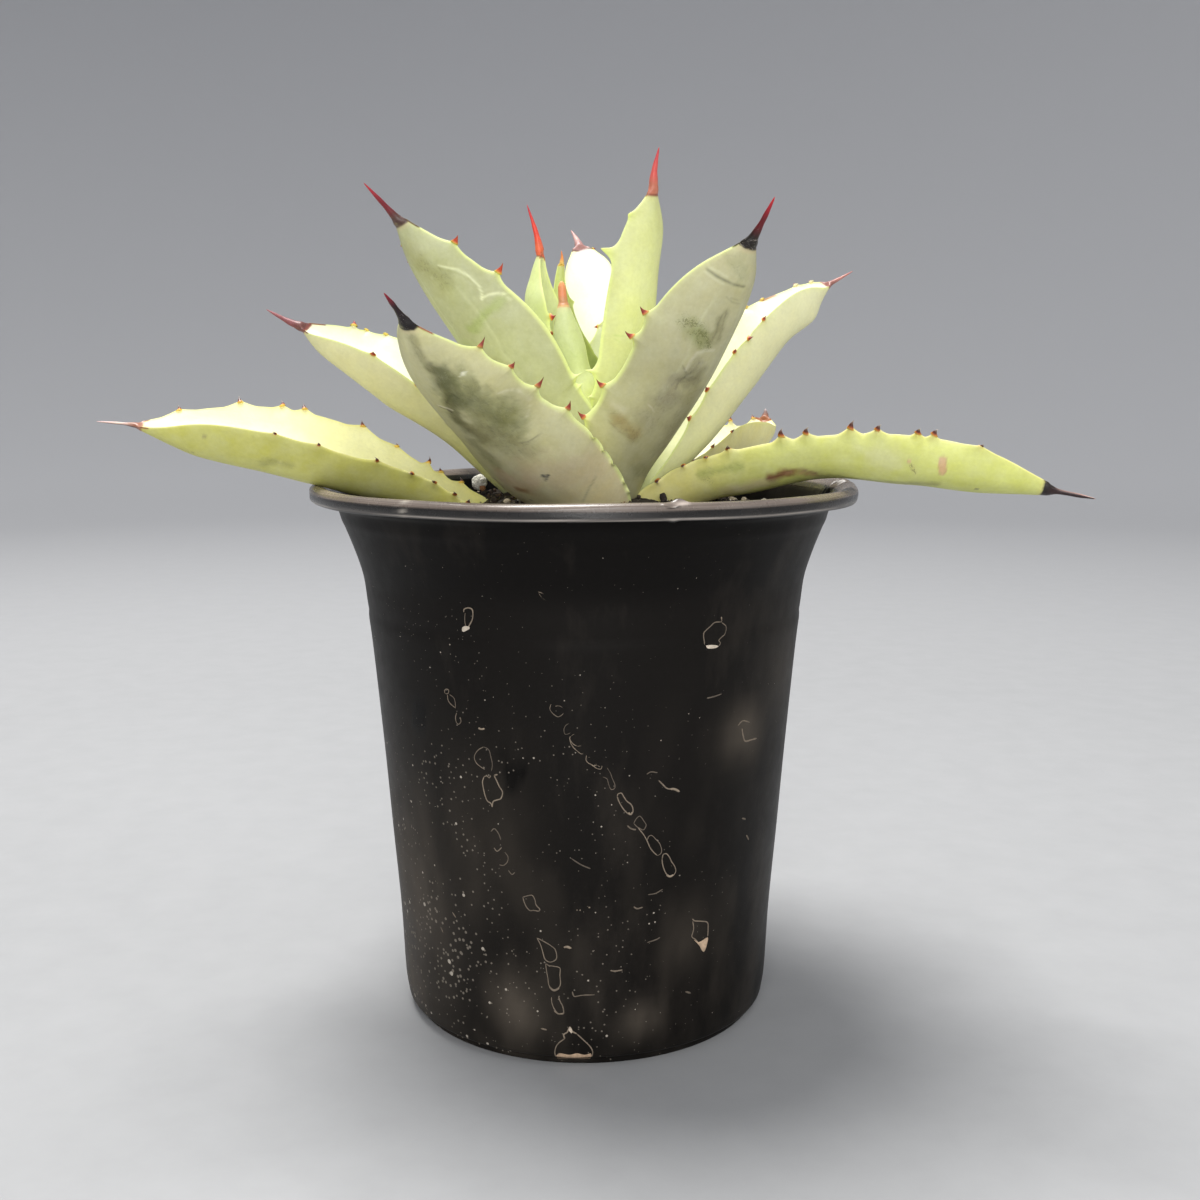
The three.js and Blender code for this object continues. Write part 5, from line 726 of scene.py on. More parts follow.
STYLE = {
    # leaf_left_low: its base colour on the lower part of the leaf is lightened as painted light
    "leaf_left_low": dict(OLD, stout=0.78, ab=(192, 190, 92), ad=(236, 234, 176), base=(224, 214, 112), spine=[(164, 112, 92), (222, 196, 186), (226, 190, 184)], under=(64, 34, 34), slim=0.34, run=(0.1, 1.0, 2.4), knob=0.62, band=(128, 70, 44)),
    "leaf_right_low": dict(OLD, ab=(200, 204, 110), ad=(214, 214, 120), base=(212, 200, 122), spine=[(38, 30, 28), (150, 122, 116), (216, 176, 166)], under=(44, 24, 26), slim=0.4, speck=0.3, run=(0.7, 1.0, 5.5), knob=1.05),
    "leaf_right_back": dict(OLD, ab=(230, 222, 148), ad=(240, 236, 196), base=(222, 214, 130), spine=[(150, 92, 56), (120, 96, 90), (190, 180, 176)], run=(0.8, 1.2, 1.2)),
    "leaf_back_low": dict(OLD),
    "leaf_back_left_low": dict(OLD, ab=(190, 194, 108)),
    "leaf_left_mid": dict(FRESH, ab=(204, 200, 158), ad=(230, 232, 206), spine=[(112, 70, 66), (132, 72, 76), (150, 84, 92)], horned=0.18, run=(0.6, 3.4, 2.0), band=(120, 62, 52)),
    # leaf_front_left: its base colour on the lower part of the leaf is lightened as painted light
    "leaf_front_left": dict(FRESH, line=1.7, slim=0.34, stout=0.8, ab=(196, 192, 142), ad=(212, 216, 170), base=(224, 206, 158), spine=[(24, 18, 18), (34, 18, 22), (132, 18, 44)], lean={1: 1.0, -1: 0.5},
                            tooth=[(222, 196, 110), (196, 104, 72), (150, 66, 60), (104, 62, 58)], horned=0.385, run=(0.5, 1.5, 3.4), speck=0.3, knob=1.1, prints=2.2, edge=(168, 104, 84)),
    "leaf_upper_left": dict(FRESH, line=1.7, slim=0.2, ab=(174, 176, 130), base=(196, 200, 146), spine=[(86, 62, 56), (120, 30, 42), (178, 40, 58)], tooth=[(214, 218, 88), (222, 122, 62), (190, 66, 48), (160, 60, 56)],
                            run=(0.3, 1.6, 2.6), speck=0.15, horned=0.5, prints=2.2),
    # leaf_inner_left: the dark green on the lower part of the leaf is painted shade
    "leaf_inner_left": dict(FRESH, line=1.4, deep_shade=(0.45, (150, 168, 104)), ab=(198, 208, 142), ad=(206, 214, 158), spine=[(236, 112, 76), (238, 70, 54), (200, 40, 58)], run=(0.2, 0.7, 0.7), band=(128, 92, 72), knob=1.12),
    "central_bud": dict(FRESH, ab=(188, 196, 146), ad=(188, 198, 146), band=(206, 176, 128), spine=[(208, 150, 112), (224, 140, 104), (232, 160, 108)], horned=2.0, run=(0.5, 1.0, 1.0), blunt=True),
    # leaf_inner_back: its darker green base colour on the lower part of the leaf is painted shade
    "leaf_inner_back": dict(FRESH, ab=(196, 204, 112), ad=(190, 200, 116), base=(140, 160, 100), spine=[(232, 190, 96), (232, 144, 70), (224, 108, 58)], horned=2.0, run=(0.0, 0.0, 0.0), fleshy=((1, 0.699),)),
    "leaf_back_centre": dict(FRESH, ad=(224, 226, 200), spine=[(164, 120, 116), (196, 158, 152), (186, 140, 138)], run=(0.8, 1.4, 1.4), band=(96, 72, 62)),
    # leaf_upper_right: the dark green on the lower part of the leaf is painted shade
    "leaf_upper_right": dict(FRESH, line=1.5, deep_shade=(0.30, (150, 168, 108)), ab=(208, 211, 148), ad=(220, 226, 168), fleshy=((1, 0.9026), (1, 0.7474)), horned=0.5, prints=1.4, spine=[(198, 120, 98), (226, 96, 92), (206, 66, 80)], run=(0.4, 0.6, 0.8), band=(120, 62, 48),
                             tooth=[(214, 226, 96), (216, 168, 84), (196, 96, 66), (176, 84, 70)]),
    "leaf_front_right": dict(FRESH, line=1.6, slim=0.24, stout=0.9, ab=(184, 180, 136), base=(170, 166, 124), spine=[(26, 20, 14), (104, 16, 26), (186, 28, 46)], tooth=[(220, 204, 104), (204, 100, 72), (142, 58, 56), (104, 46, 50)],
                             horned=0.30, run=(0.6, 1.6, 2.0), speck=0.55, prints=2.6),
    "leaf_right_mid": dict(FRESH, slim=0.16, tooth2=(-1, [(232, 224, 184), (214, 168, 140), (176, 118, 106), (196, 152, 144)]), ab=(224, 222, 176), ad=(222, 222, 182), stain=((-1, 0.735, 0.79),), spine=[(150, 100, 92), (188, 130, 122), (172, 108, 106)], tooth=[(224, 190, 92), (204, 100, 52), (140, 60, 50), (120, 70, 60)], run=(0.0, 0.2, 0.2), knob=0.6),
    "leaf_back_right": dict(FRESH),
    "leaf_back_left": dict(FRESH, spine=[(40, 30, 28), (84, 28, 36), (168, 40, 56)]),
    "leaf_back_upper": dict(FRESH, spine=[(214, 116, 84), (214, 78, 70), (180, 46, 62)]),
}
HIDDEN = ("leaf_back_right", "leaf_back_left", "leaf_back_upper", "leaf_back_low", "leaf_back_left_low")
ACROSS = np.array([0.0, 0.1, 0.2, 0.3, 0.395, 0.485, 0.57, 0.65, 0.72, 0.785, 0.84, 0.885, 0.925, 0.955, 0.977, 0.991, 0.9968, 0.9993])
FINE = ("leaf_front_left", "leaf_front_right", "leaf_upper_left")      # the leaves seen closest have a finer outer face
FEWER = np.array([0.0, 0.18, 0.35, 0.5, 0.63, 0.74, 0.83, 0.9, 0.95, 0.98, 0.995])


def leaf_piece(name, material):
    L, S = LEAVES[name], STYLE[name]
    seed = 1 + sorted(LEAVES).index(name) * 7
    dense = np.linspace(0, 1, 500)
    arc = np.concatenate([[0], np.cumsum(np.linalg.norm(np.diff(cr(L["c"], dense), axis=0), axis=1))])
    length = arc[-1]
    def at_t(t):
        t = np.atleast_1d(t)
        c = cr(L["c"], t)
        tg = unit(cr(L["c"], np.clip(t + 1e-3, 0, 1)) - cr(L["c"], np.clip(t - 1e-3, 0, 1)))
        nr = cr(L["n"], t)
        nr = unit(nr - (nr * tg).sum(1)[:, None] * tg)
        gg = cr(L["g"], t)
        return c[0], tg[0], nr[0], np.cross(tg[0], nr[0]), max(gg[0, 0], 0.3), gg[0, 1]
    # each tooth keeps its point, and leans from its root by the leaf's own habit
    teeth = []
    for side, t, out, fwd, rise in L["teeth"]:
        if t <= 0.06:
            continue
        lean = S.get("lean", {}).get(side, 0.35)
        c0, t0, n0, b0, w0, h0 = at_t(t)
        point = c0 + b0 * side * (w0 + out) + t0 * fwd + n0 * (w0 * h0 + rise)
        t = max(0.05, t - lean * out / length)
        c0, t0, n0, b0, w0, h0 = at_t(t)
        d = point - (c0 + b0 * side * w0 + n0 * w0 * h0)
        teeth.append((side, t, float(d @ b0) * side, float(d @ t0), float(d @ n0)))
    step = 0.7 if name in HIDDEN else (0.38 if name in FINE else S["step"])
    ACR = FEWER if name in HIDDEN else ACROSS
    ACL = np.concatenate([np.linspace(0, 0.9, 33), ACROSS[-6:]]) if name in FINE else ACR
    ts = list(np.linspace(0, 1, int(length / step)))
    for side, t, *_ in teeth:
        ts += [t + d / length for d in (-0.85, -0.5, -0.22, 0, 0.22, 0.5, 0.85)]
    ts = np.unique(np.round(np.clip(ts, 0, 1), 5))
    keep = [0]
    for k in range(1, len(ts)):
        if (ts[k] - ts[keep[-1]]) * length > 0.16:
            keep.append(k)
    ts = ts[keep]
    ts[-1] = 1.0
    e = 1e-3
    C = cr(L["c"], ts)
    T = unit(cr(L["c"], np.clip(ts + e, 0, 1)) - cr(L["c"], np.clip(ts - e, 0, 1)))
    N = cr(L["n"], ts)
    N = unit(N - (N * T).sum(1)[:, None] * T)
    B = np.cross(T, N)
    g = cr(L["g"], ts)
    w, ch, th = np.maximum(g[:, 0], 0.3), g[:, 1], np.maximum(g[:, 2], 0.3)
    s_up = np.concatenate([[-1], -ACR[::-1], ACR[1:], [1]])
    s_lo = np.concatenate([ACL[::-1], -ACL[1:]])
    s = np.concatenate([s_up, s_lo])
    upper = np.concatenate([np.ones(len(s_up), bool), np.zeros(len(s_lo), bool)])
    m, n = len(ts), len(s)
    a = np.abs(s)
    across = w[:, None] * s[None]
    up = (w * ch)[:, None] * s[None] ** 2
    low = (w * ch)[:, None] - (w * ch + th)[:, None] * np.clip(1 - a ** 2.3, 0, 1)[None] ** 0.72
    plain = C[:, None] + B[:, None] * across[..., None] + N[:, None] * np.where(upper[None], up, low)[..., None]
    plain = plain.reshape(-1, 3)                            # the smooth surface that the marks are placed on
    low = low - 0.30 * np.sqrt(np.clip(1 - a ** 14, 0, 1))[None]
    nn = np.where(upper[None], up, low)
    P = C[:, None] + B[:, None] * across[..., None] + N[:, None] * nn[..., None]
    inward = np.hypot((1 - a)[None] * w[:, None], nn - (w * ch)[:, None])      # mm from the margin, over the surface
    mm = np.interp(ts, dense, arc)                          # mm along the leaf
    # scalloped margins: the leaf rises in a soft peak to each tooth
    near_tooth = np.zeros((m, n))
    horned = []
    for sg in (-1, 1):
        here = sorted([q for q in teeth if q[0] == sg], key=lambda q: q[1])
        at = np.array([np.interp(q[1], dense, arc) for q in here])
        push, nib = np.zeros((m, 3)), np.zeros((m, 3))
        peak = np.zeros(m)
        inner_reach = np.full(m, 0.8)
        for k, (_, t, out, fwd, rise) in enumerate(here):
            gap = min([abs(at[k] - at[j]) for j in (k - 1, k + 1) if 0 <= j < len(at)] or [8.0])
            half = float(np.clip(0.50 * gap, 0.8, 4.6))
            fleshy = any(q[0] == sg and abs(q[1] - t) < 0.02 for q in S.get("fleshy", ()))
            horn = t >= S["horned"] and not fleshy
            reach = (0.66 if S["old"] else 0.58) if horn else 0.92
            if fleshy:
                half, reach = 4.6, 0.98
            x = np.abs(mm - at[k])
            f = np.clip(1 - x / half, 0, 1) ** ((1.45 if S["old"] else 1.9) if horn else 2.0)
            core = np.exp(-(x / (0.5 if horn else (0.85 if fleshy else 0.36))) ** 2)
            broad = (0.84 if S["old"] else 0.76) if horn else (0.55 if fleshy else 0.5)
            push += (reach * broad * f)[:, None] * (B * sg * out + N * rise + T * fwd * 0.5)
            nib += (reach * (1 - broad) * core)[:, None] * (B * sg * out + N * rise + T * fwd * 0.8)
            inner_reach = np.where(x < half, 0.5 + (0.42 if horn else 0.2) * half, inner_reach)
            peak = np.maximum(peak, np.clip(1 - x / min(half, 1.3), 0, 1) ** 1.5)
            if horn:
                horned.append((sg, t, out, fwd, rise))
        side = (np.sign(s) == sg) & (a > 0.3)
        reach_in = inner_reach[:, None] * np.where(upper, 1.0, 0.72)[None]
        fall = np.exp(-(inward / reach_in) ** 2) * side[None]
        P += fall[..., None] * push[:, None] + (np.exp(-(inward / 0.62) ** 2) * side[None])[..., None] * nib[:, None]
        near_tooth = np.maximum(near_tooth, peak[:, None] * np.exp(-(inward / 0.7) ** 2) * side[None])
    flat = P.reshape(-1, 3)
    Nn = np.broadcast_to(N[:, None], P.shape).reshape(-1, 3)
    outward = np.where(np.broadcast_to(upper[None], (m, n)).ravel(), 1.0, -1.0)
    inw, tt, aa = inward.ravel(), np.repeat(ts, n), np.tile(a, m)
    mmf = np.repeat(mm, n)
    place = np.stack([across.ravel(), mmf, outward * 6], 1)
    # gentle unevenness of a grown leaf, and the dents listed for it
    relief = (fbm(flat, 15.0, 2, seed) - 0.5) * 0.75 + (fbm(place * (1, 0.22, 1), 4.0, 2, seed + 3) - 0.5) * 0.22
    body = smooth(0.0, 2.2, inw)
    # prints left by the teeth of the leaf that was folded against this one in the bud
    prints = np.zeros(len(flat))
    sc = np.tile(s, m)
    for q, base in enumerate((0.34, -0.42) if name not in HIDDEN else (0.36,)):
        wave = base + np.sign(base) * 0.10 * (np.abs(np.sin(mmf / (7.3 + 1.7 * q) + seed)) ** 0.6) + 0.05 * np.sin(mmf / 19.0 + seed)
        d = (sc - wave) * np.repeat(w, n)
        prints = np.maximum(prints, np.exp(-(d / 0.42) ** 2) * smooth(0.30, 0.42, tt) * smooth(0.86, 0.74, tt) * (0.35 + 0.65 * fbm(flat, 9.0, 1, seed + 50 + q)))
    relief -= 0.07 * prints * S.get("prints", 1.0) ** 0.5
    dark = np.zeros(len(flat))
    for kind, pts, r, c, st in MARKS.get(name, []):
        if kind == "dent":
            d, _ = from_line(plain, pts)
            relief -= st * np.exp(-(d / r) ** 2) * (outward < 0)
    flat = flat + Nn * (outward * relief * body)[:, None]
    # ---- colour ----
    ab, ad, rim, basec = lin(S["ab"]), lin(S["ad"]), lin(S["rim"]), lin(S["base"])
    f = np.where(outward > 0, 1.0, 0.0)[:, None]
    col = ab * (1 - f) + ad * f
    # the lower part takes the base colour; for leaf_left_low and leaf_front_left it is lightened as painted light, for
    # leaf_inner_back darkened as painted shade
    low_part = (smooth(0.42, 0.12, tt) * 0.75)[:, None]
    col = col * (1 - low_part) + basec * low_part
    # painted shade: the lower part of the leaf, low in the rosette, is mixed toward a darker green
    if "deep_shade" in S:
        deep_shade = (smooth(S["deep_shade"][0], S["deep_shade"][0] * 0.6, tt) * 0.85)[:, None]
        col = col * (1 - deep_shade) + lin(S["deep_shade"][1]) * deep_shade
    big = fbm(flat, 13.0, 3, seed + 5) - 0.5
    mid = fbm(place * (1, 0.16, 1), 2.6, 3, seed + 7) - 0.5
    small = fbm(flat, 1.7, 3, seed + 8) - 0.5
    col = col * (1 + 0.20 * big + 0.16 * mid + 0.10 * small)[:, None]
    yellow = (smooth(0.50, 0.72, fbm(flat, 17.0, 2, seed + 9)) * (0.28 if S["old"] else 0.12))[:, None]
    col = col * (1 - yellow) + (col * (1.04, 1.06, 0.62)) * yellow
    shown = prints * 0.10 * S.get("prints", 1.0)
    col = col * (1 - shown)[:, None] + lin((226, 230, 190)) * shown[:, None]
    rough = np.full(len(flat), 0.52) + 0.10 * big
    worn = np.zeros((len(flat), 3))
    for kind, pts, r, c, st in MARKS.get(name, []):
        d, along = from_line(plain, pts)
        face = (outward < 0) | (kind in ("spot", "line"))
        jit = fbm(flat, 1.1, 3, seed + len(pts))
        if kind == "blotch":
            k = smooth(1.25, 0.15, d / r + (fbm(flat, 2.4, 3, seed + 21) - 0.5) * 1.1 + (jit - 0.5) * 0.35)
            k = k * st * (0.72 + 0.28 * jit)
            if sum(c) < 440:
                worn[:, 0] = np.maximum(worn[:, 0], k * face)
        elif kind == "line":
            k = np.exp(-(d / (r * 0.62)) ** 2) * st * (0.65 + 0.35 * smooth(0.3, 0.6, jit))
        elif kind == "specks":
            k = smooth(1.3, 0.25, d / r) * 0.28 * st
            worn[:, 1] = np.maximum(worn[:, 1], smooth(1.35, 0.2, d / r) * st * face)
        elif kind == "spot":
            k = smooth(1.1, 0.55, d / r + (jit - 0.5) * 0.5) * st
        elif kind == "scar":
            k = smooth(1.25, 0.8, d / r + (jit - 0.5) * 0.35) * st
            ring = np.exp(-((d / r - 1.0) / 0.22) ** 2) * 0.55
            col = col * (1 - ring * face)[:, None] + lin((150, 96, 62)) * (ring * face)[:, None]
            rough = rough + 0.2 * k * face
        else:
            continue
        k = (k * face)[:, None]
        col = col * (1 - k) + lin(c) * k
    # bright thin margin, warmer where it climbs a tooth
    glow = (smooth(2.0, 0.3, inw) * 0.16)[:, None]
    col = col * (1 - glow) + (rim * 0.92) * glow
    wide = S.get("line", 1.0) * (1 + 0.8 * smooth(0.8, 0.35, tt))
    line = (smooth(0.42 * wide, 0.18 * wide, inw))[:, None] * 0.9
    col = col * (1 - line) + rim * line
    nt = (near_tooth.ravel() * np.where(tt >= S["horned"], 1.0, 0.0) * 0.7)[:, None]
    col = col * (1 - nt) + lin(S["tooth"][0]) * nt
    # the spine's horn runs down on to the leaf, furthest along the margins
    left = length - mmf
    sc = np.tile(s, m)
    jag = 0.7 + 0.6 * fbm(flat, 0.9, 3, seed + 13)
    edge = left - S["run"][0] * jag
    thin = np.where(sc > 0, S["run"][1], S["run"][2])
    rimmed = smooth(0.4, -0.4, left - thin * jag) * smooth(0.62, 0.28, inw)
    horn = np.maximum(smooth(0.3, -0.3, edge), rimmed)[:, None]
    for sg, t0, t1 in S.get("stain", ()):
        k = (smooth(t0 - 0.01, t0 + 0.008, tt) * smooth(t1 + 0.01, t1 - 0.008, tt) * smooth(1.0, 0.5, inw) * (sc * sg > 0))[:, None] * 0.85
        col = col * (1 - k) + lin((150, 66, 44)) * k
    fade = (smooth(1.6, -0.2, edge) * 0.3)[:, None]
    band = lin(S.get("band", S["spine"][0]))
    only_rim = np.clip(rimmed - smooth(0.3, -0.3, edge), 0, 1)[:, None] if "edge" in S else np.zeros((len(flat), 1))
    band = band * (1 - only_rim) + lin(S.get("edge", (0, 0, 0))) * only_rim
    col = col * (1 - fade) + (lin(S["tooth"][1]) * 0.4 + col * 0.6) * fade
    col = col * (1 - horn) + (band * 0.8 + 0.2 * lin(S["spine"][0])) * horn
    rough = np.where(horn[:, 0] > 0.5, 0.38, rough)
    place[:, 2] = np.where(horn[:, 0] > 0.5, 100.0, place[:, 2])
    shape = Shape()
    quads = []
    i = np.arange(n)
    j = (i + 1) % n
    for k in range(m - 1):
        quads.append(np.stack([k * n + i, (k + 1) * n + i, (k + 1) * n + j, k * n + j], 1)[:, ::-1])
    # ---- spine: carries on from the last ring ----
    tip, midp, root = np.array(L["sp"][1]), np.array(L["sp"][0]), C[-1]
    us = np.concatenate([[0.03, 0.06, 0.10, 0.15], np.linspace(0.21, 0.93, 13), [0.97]])
    SC = cr([root, midp, tip], us)
    ST = unit(cr([root, midp, tip], np.clip(us + e, 0, 1)) - cr([root, midp, tip], np.clip(us - e, 0, 1)))
    spine_len = np.linalg.norm(midp - root) + np.linalg.norm(tip - midp)
    r0 = min(L["g"][6][0] * 0.8, 1.75) * S.get("knob", 1.0)
    last = flat[-n:] - C[-1]
    ang = np.where(upper, np.arccos(np.clip(s, -1, 1)), -np.arccos(np.clip(s, -1, 1)))
    rings, rcol, rrough, dusty = [], [], [], []
    ramp = lin(S["spine"][0]), lin(S["spine"][1]), lin(S["spine"][2])
    for q, u in enumerate(us):
        r = r0 * (0.55 * (1 - u) ** 0.55 + 0.45 * (1 - u) ** 1.7) * (1 + 0.05 * math.sin(u * 21 + seed))
        if S.get("blunt"):
            r = r0 * (1 - 0.22 * u) * min(1.0, ((1.0 - u) / 0.22)) ** 0.5
        r *= 1 - S.get("slim", 0.0) * math.exp(-((u - 0.42) / 0.24) ** 2)
        if S.get("knob") and "slim" not in S:
            r *= 1 + 0.16 * math.exp(-((u - 0.14) / 0.07) ** 2)
        b = B[-1] - (B[-1] @ ST[q]) * ST[q]
        b = b / np.linalg.norm(b)
        nrm = np.cross(b, ST[q])
        circle = b[None] * (r * np.cos(ang))[:, None] + nrm[None] * (0.86 * r * np.sin(ang))[:, None]
        k = 1 - smooth(0.0, 0.17, u)
        ring = SC[q] + k * last * (1 - 0.25 * u) + (1 - k) * circle
        rings.append(ring)
        x = u * 1.0
        c = ramp[0] * (1 - smooth(0.16, 0.5, x)) + ramp[1] * smooth(0.16, 0.5, x)
        c = c * (1 - smooth(0.55, 0.95, x)) + ramp[2] * smooth(0.55, 0.95, x)
        c = np.broadcast_to(c, (n, 3)).copy()
        if "under" in S:
            shaded = (smooth(0.15, -0.55, np.sin(ang)) * smooth(0.02, 0.2, x))[:, None]
            c = c * (1 - shaded) + lin(S["under"]) * shaded
        # painted highlight: the upper side of the spine is mixed toward pale pink
        pale = smooth(0.3, 1.0, np.sin(ang))[:, None] * 0.06
        c = c * 0.88 * (1 - pale) + lin((206, 150, 140)) * pale
        rcol.append(c * (0.86 + 0.28 * fbm(ring, 1.0, 2, seed + 41))[:, None])
        rrough.append(np.full(n, 0.38))
        dusty.append(np.full(n, S["speck"] * float(smooth(0.66, 0.34, x))))
    verts = np.vstack([flat] + rings)
    allcol = np.vstack([col] + rcol)
    allrough = np.concatenate([rough] + rrough)
    allplace = np.vstack([place] + [np.stack([r_[:, 0] * 0, np.full(n, mm[-1] + u * spine_len), np.full(n, 100.0)], 1) for r_, u in zip(rings, us)])
    for k in range(m - 1, m - 1 + len(us)):
        quads.append(np.stack([k * n + i, (k + 1) * n + i, (k + 1) * n + j, k * n + j], 1)[:, ::-1])
    total = len(verts)
    verts = np.vstack([verts, tip[None], flat[:n].mean(0)[None]])
    allcol = np.vstack([allcol, ramp[2][None], col[:1]])
    allrough = np.append(allrough, [0.4, 0.6])
    allplace = np.vstack([allplace, allplace[-1:], allplace[:1]])
    k = (m - 1 + len(us)) * n
    tris = np.vstack([np.stack([k + i, np.full(n, total), k + j], 1)[:, ::-1], np.stack([i, j, np.full(n, total + 1)], 1)[:, ::-1]])
    allworn = np.zeros((len(verts), 3))
    allworn[:len(worn)] = worn
    allworn[len(worn):len(worn) + n * len(us), 2] = np.concatenate(dusty)
    allworn[:len(worn), 2] = np.where(horn[:, 0] > 0.5, S["speck"], 0.0)
    shape.add(verts, np.vstack(quads), tris, allcol, allrough, allplace, allworn)
    # ---- horny teeth ----
    for h, (sg, t, out, fwd, rise) in enumerate(horned):
        k = int(np.argmin(np.abs(ts - t)))
        Mg = C[k] + B[k] * sg * w[k] + N[k] * w[k] * ch[k]
        D = B[k] * sg * out + N[k] * rise
        reach = float(np.linalg.norm(D + T[k] * fwd))
        rnd = float(_hash(np.array([h]), np.array([seed]), np.array([int(sg) + 2]), 5)[0])
        start = Mg + (D + T[k] * fwd * 0.6) * 0.34
        end = Mg + D + T[k] * fwd
        hook = (0.30 if S["old"] else 0.16) * reach * (0.5 + rnd)
        way = 1.0 if (rnd > 0.3 or not S["old"]) else -0.7
        rad = float(np.clip(0.25 * reach + 0.12, 0.34, 0.90)) * S.get("stout", 1.0)
        sides, steps = 10, 9
        us2 = np.linspace(0, 0.94, steps)
        vv, cc = [], []
        tr = [lin(x) for x in (S["tooth2"][1] if "tooth2" in S and S["tooth2"][0] == sg and t > 0.8 else S["tooth"])]
        axis = end - start
        an = axis / np.linalg.norm(axis)
        bt = unit((T[k] - (T[k] @ an) * an)[None])[0]
        bn = np.cross(an, bt)
        for u in us2:
            ctr = start + axis * u + bt * way * hook * (u ** 2.2 - u)
            slim = 0.62 if S["old"] else 0.8
            r = rad * ((1 - u) ** slim * 0.5 + 0.5 * (1 - u) ** 2.0)
            if S["old"]:
                r *= 1 - 0.35 * smooth(0.45, 0.8, u)
            an2 = np.linspace(0, 2 * np.pi, sides, endpoint=False)
            flare = 1 + 0.25 * (1 - u) ** 3
            vv.append(ctr + bt * (r * flare * np.cos(an2))[:, None] + bn * (0.74 * r * np.sin(an2))[:, None])
            if u < 0.16:
                c = tr[0] * (1 - u / 0.16) + tr[1] * (u / 0.16)
            elif u < 0.36:
                c = tr[1] * (1 - (u - 0.16) / 0.20) + tr[2] * ((u - 0.16) / 0.20)
            else:
                w3 = smooth(0.45, 1.0, u)
                c = tr[2] * (1 - w3) + tr[3] * w3
            cc.append(np.broadcast_to(c, (sides, 3)))
        vv, cc = np.vstack(vv), np.vstack(cc)
        ii = np.arange(sides)
        jj = (ii + 1) % sides
        qq = [np.stack([r_ * sides + ii, r_ * sides + jj, (r_ + 1) * sides + jj, (r_ + 1) * sides + ii], 1) for r_ in range(steps - 1)]
        nv = len(vv)
        ctr = start + axis + bt * 0.0
        vv = np.vstack([vv, ctr[None], vv[:sides].mean(0)[None]])
        cc = np.vstack([cc, tr[3][None], tr[0][None]])
        tt3 = np.vstack([np.stack([(steps - 1) * sides + ii, (steps - 1) * sides + jj, np.full(sides, nv)], 1), np.stack([jj, ii, np.full(sides, nv + 1)], 1)])
        if np.dot(np.cross(bt, bn), an) < 0:
            qq = [x[:, ::-1] for x in qq]
            tt3 = tt3[:, ::-1]
        shape.add(vv, np.vstack(qq), tt3, cc * (0.85 + 0.3 * rnd), 0.36, (0.0, float(mm[k]), 100.0))
    obj = shape.make(name + "_grown", material)
    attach(obj, "root")
    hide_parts(name)
    return obj


leaf_skin = leaf_material("leaf_skin")
total_tris = 0
for leaf_name in LEAVES:
    leaf_piece(leaf_name, leaf_skin)

# ---------- pot ----------
def ring_point(theta, r, z):
    """theta in radians from the front, + to the right."""
    return np.stack([r * np.sin(theta), -r * np.cos(theta), z + 0 * r], -1)


def fine(points, per):
    return cr(points, np.linspace(0, 1, (len(points) - 1) * per + 1))


STEP_Z = 112.0
outside = np.array([(r, z + POT_H) for r, z in OUTSIDE])
wall_line = fine(np.vstack([outside, [UNDER_LIP[0][0], UNDER_LIP[0][1] + POT_H]]), 7)[:-7]
wall_line[:, 0] -= 0.36 * smooth(STEP_Z - 0.5, STEP_Z + 0.5, wall_line[:, 1]) * smooth(135, 122, wall_line[:, 1])
foot_line = np.array([(48.3, 0.0), (48.75, 0.10), (49.0, 0.40), (49.12, 1.2), (49.2, 2.0), (49.45, 2.38), (50.2, 2.44), (50.75, 2.62), (51.05, 3.05)])
lip_out = fine([(wall_line[-1][0], wall_line[-1][1])] + [(r, z + POT_H) for r, z in UNDER_LIP], 4)[1:]
lip_in = fine([(73.5, POT_H - 4.0)] + [(r, z + POT_H) for r, z in LIP], 5)[1:]
inner = fine([(r - WALL, z + POT_H) for r, z in OUTSIDE[::-1][1:]] + [(48.6, FOOT_H + WALL)], 3)[1:]
inner = inner[inner[:, 1] > FOOT_H + WALL + 0.5]
inner_floor = np.array([(48.75, FOOT_H + WALL + 0.2), (48.3, FOOT_H + WALL - 0.5), (47.6, WALL + 0.4), (46.9, WALL)])
OUTER = np.vstack([foot_line, wall_line])
LINE = np.vstack([OUTER, lip_out, lip_in, inner, inner_floor])


def wall_r(z):
    return np.interp(z, OUTER[:, 1], OUTER[:, 0])


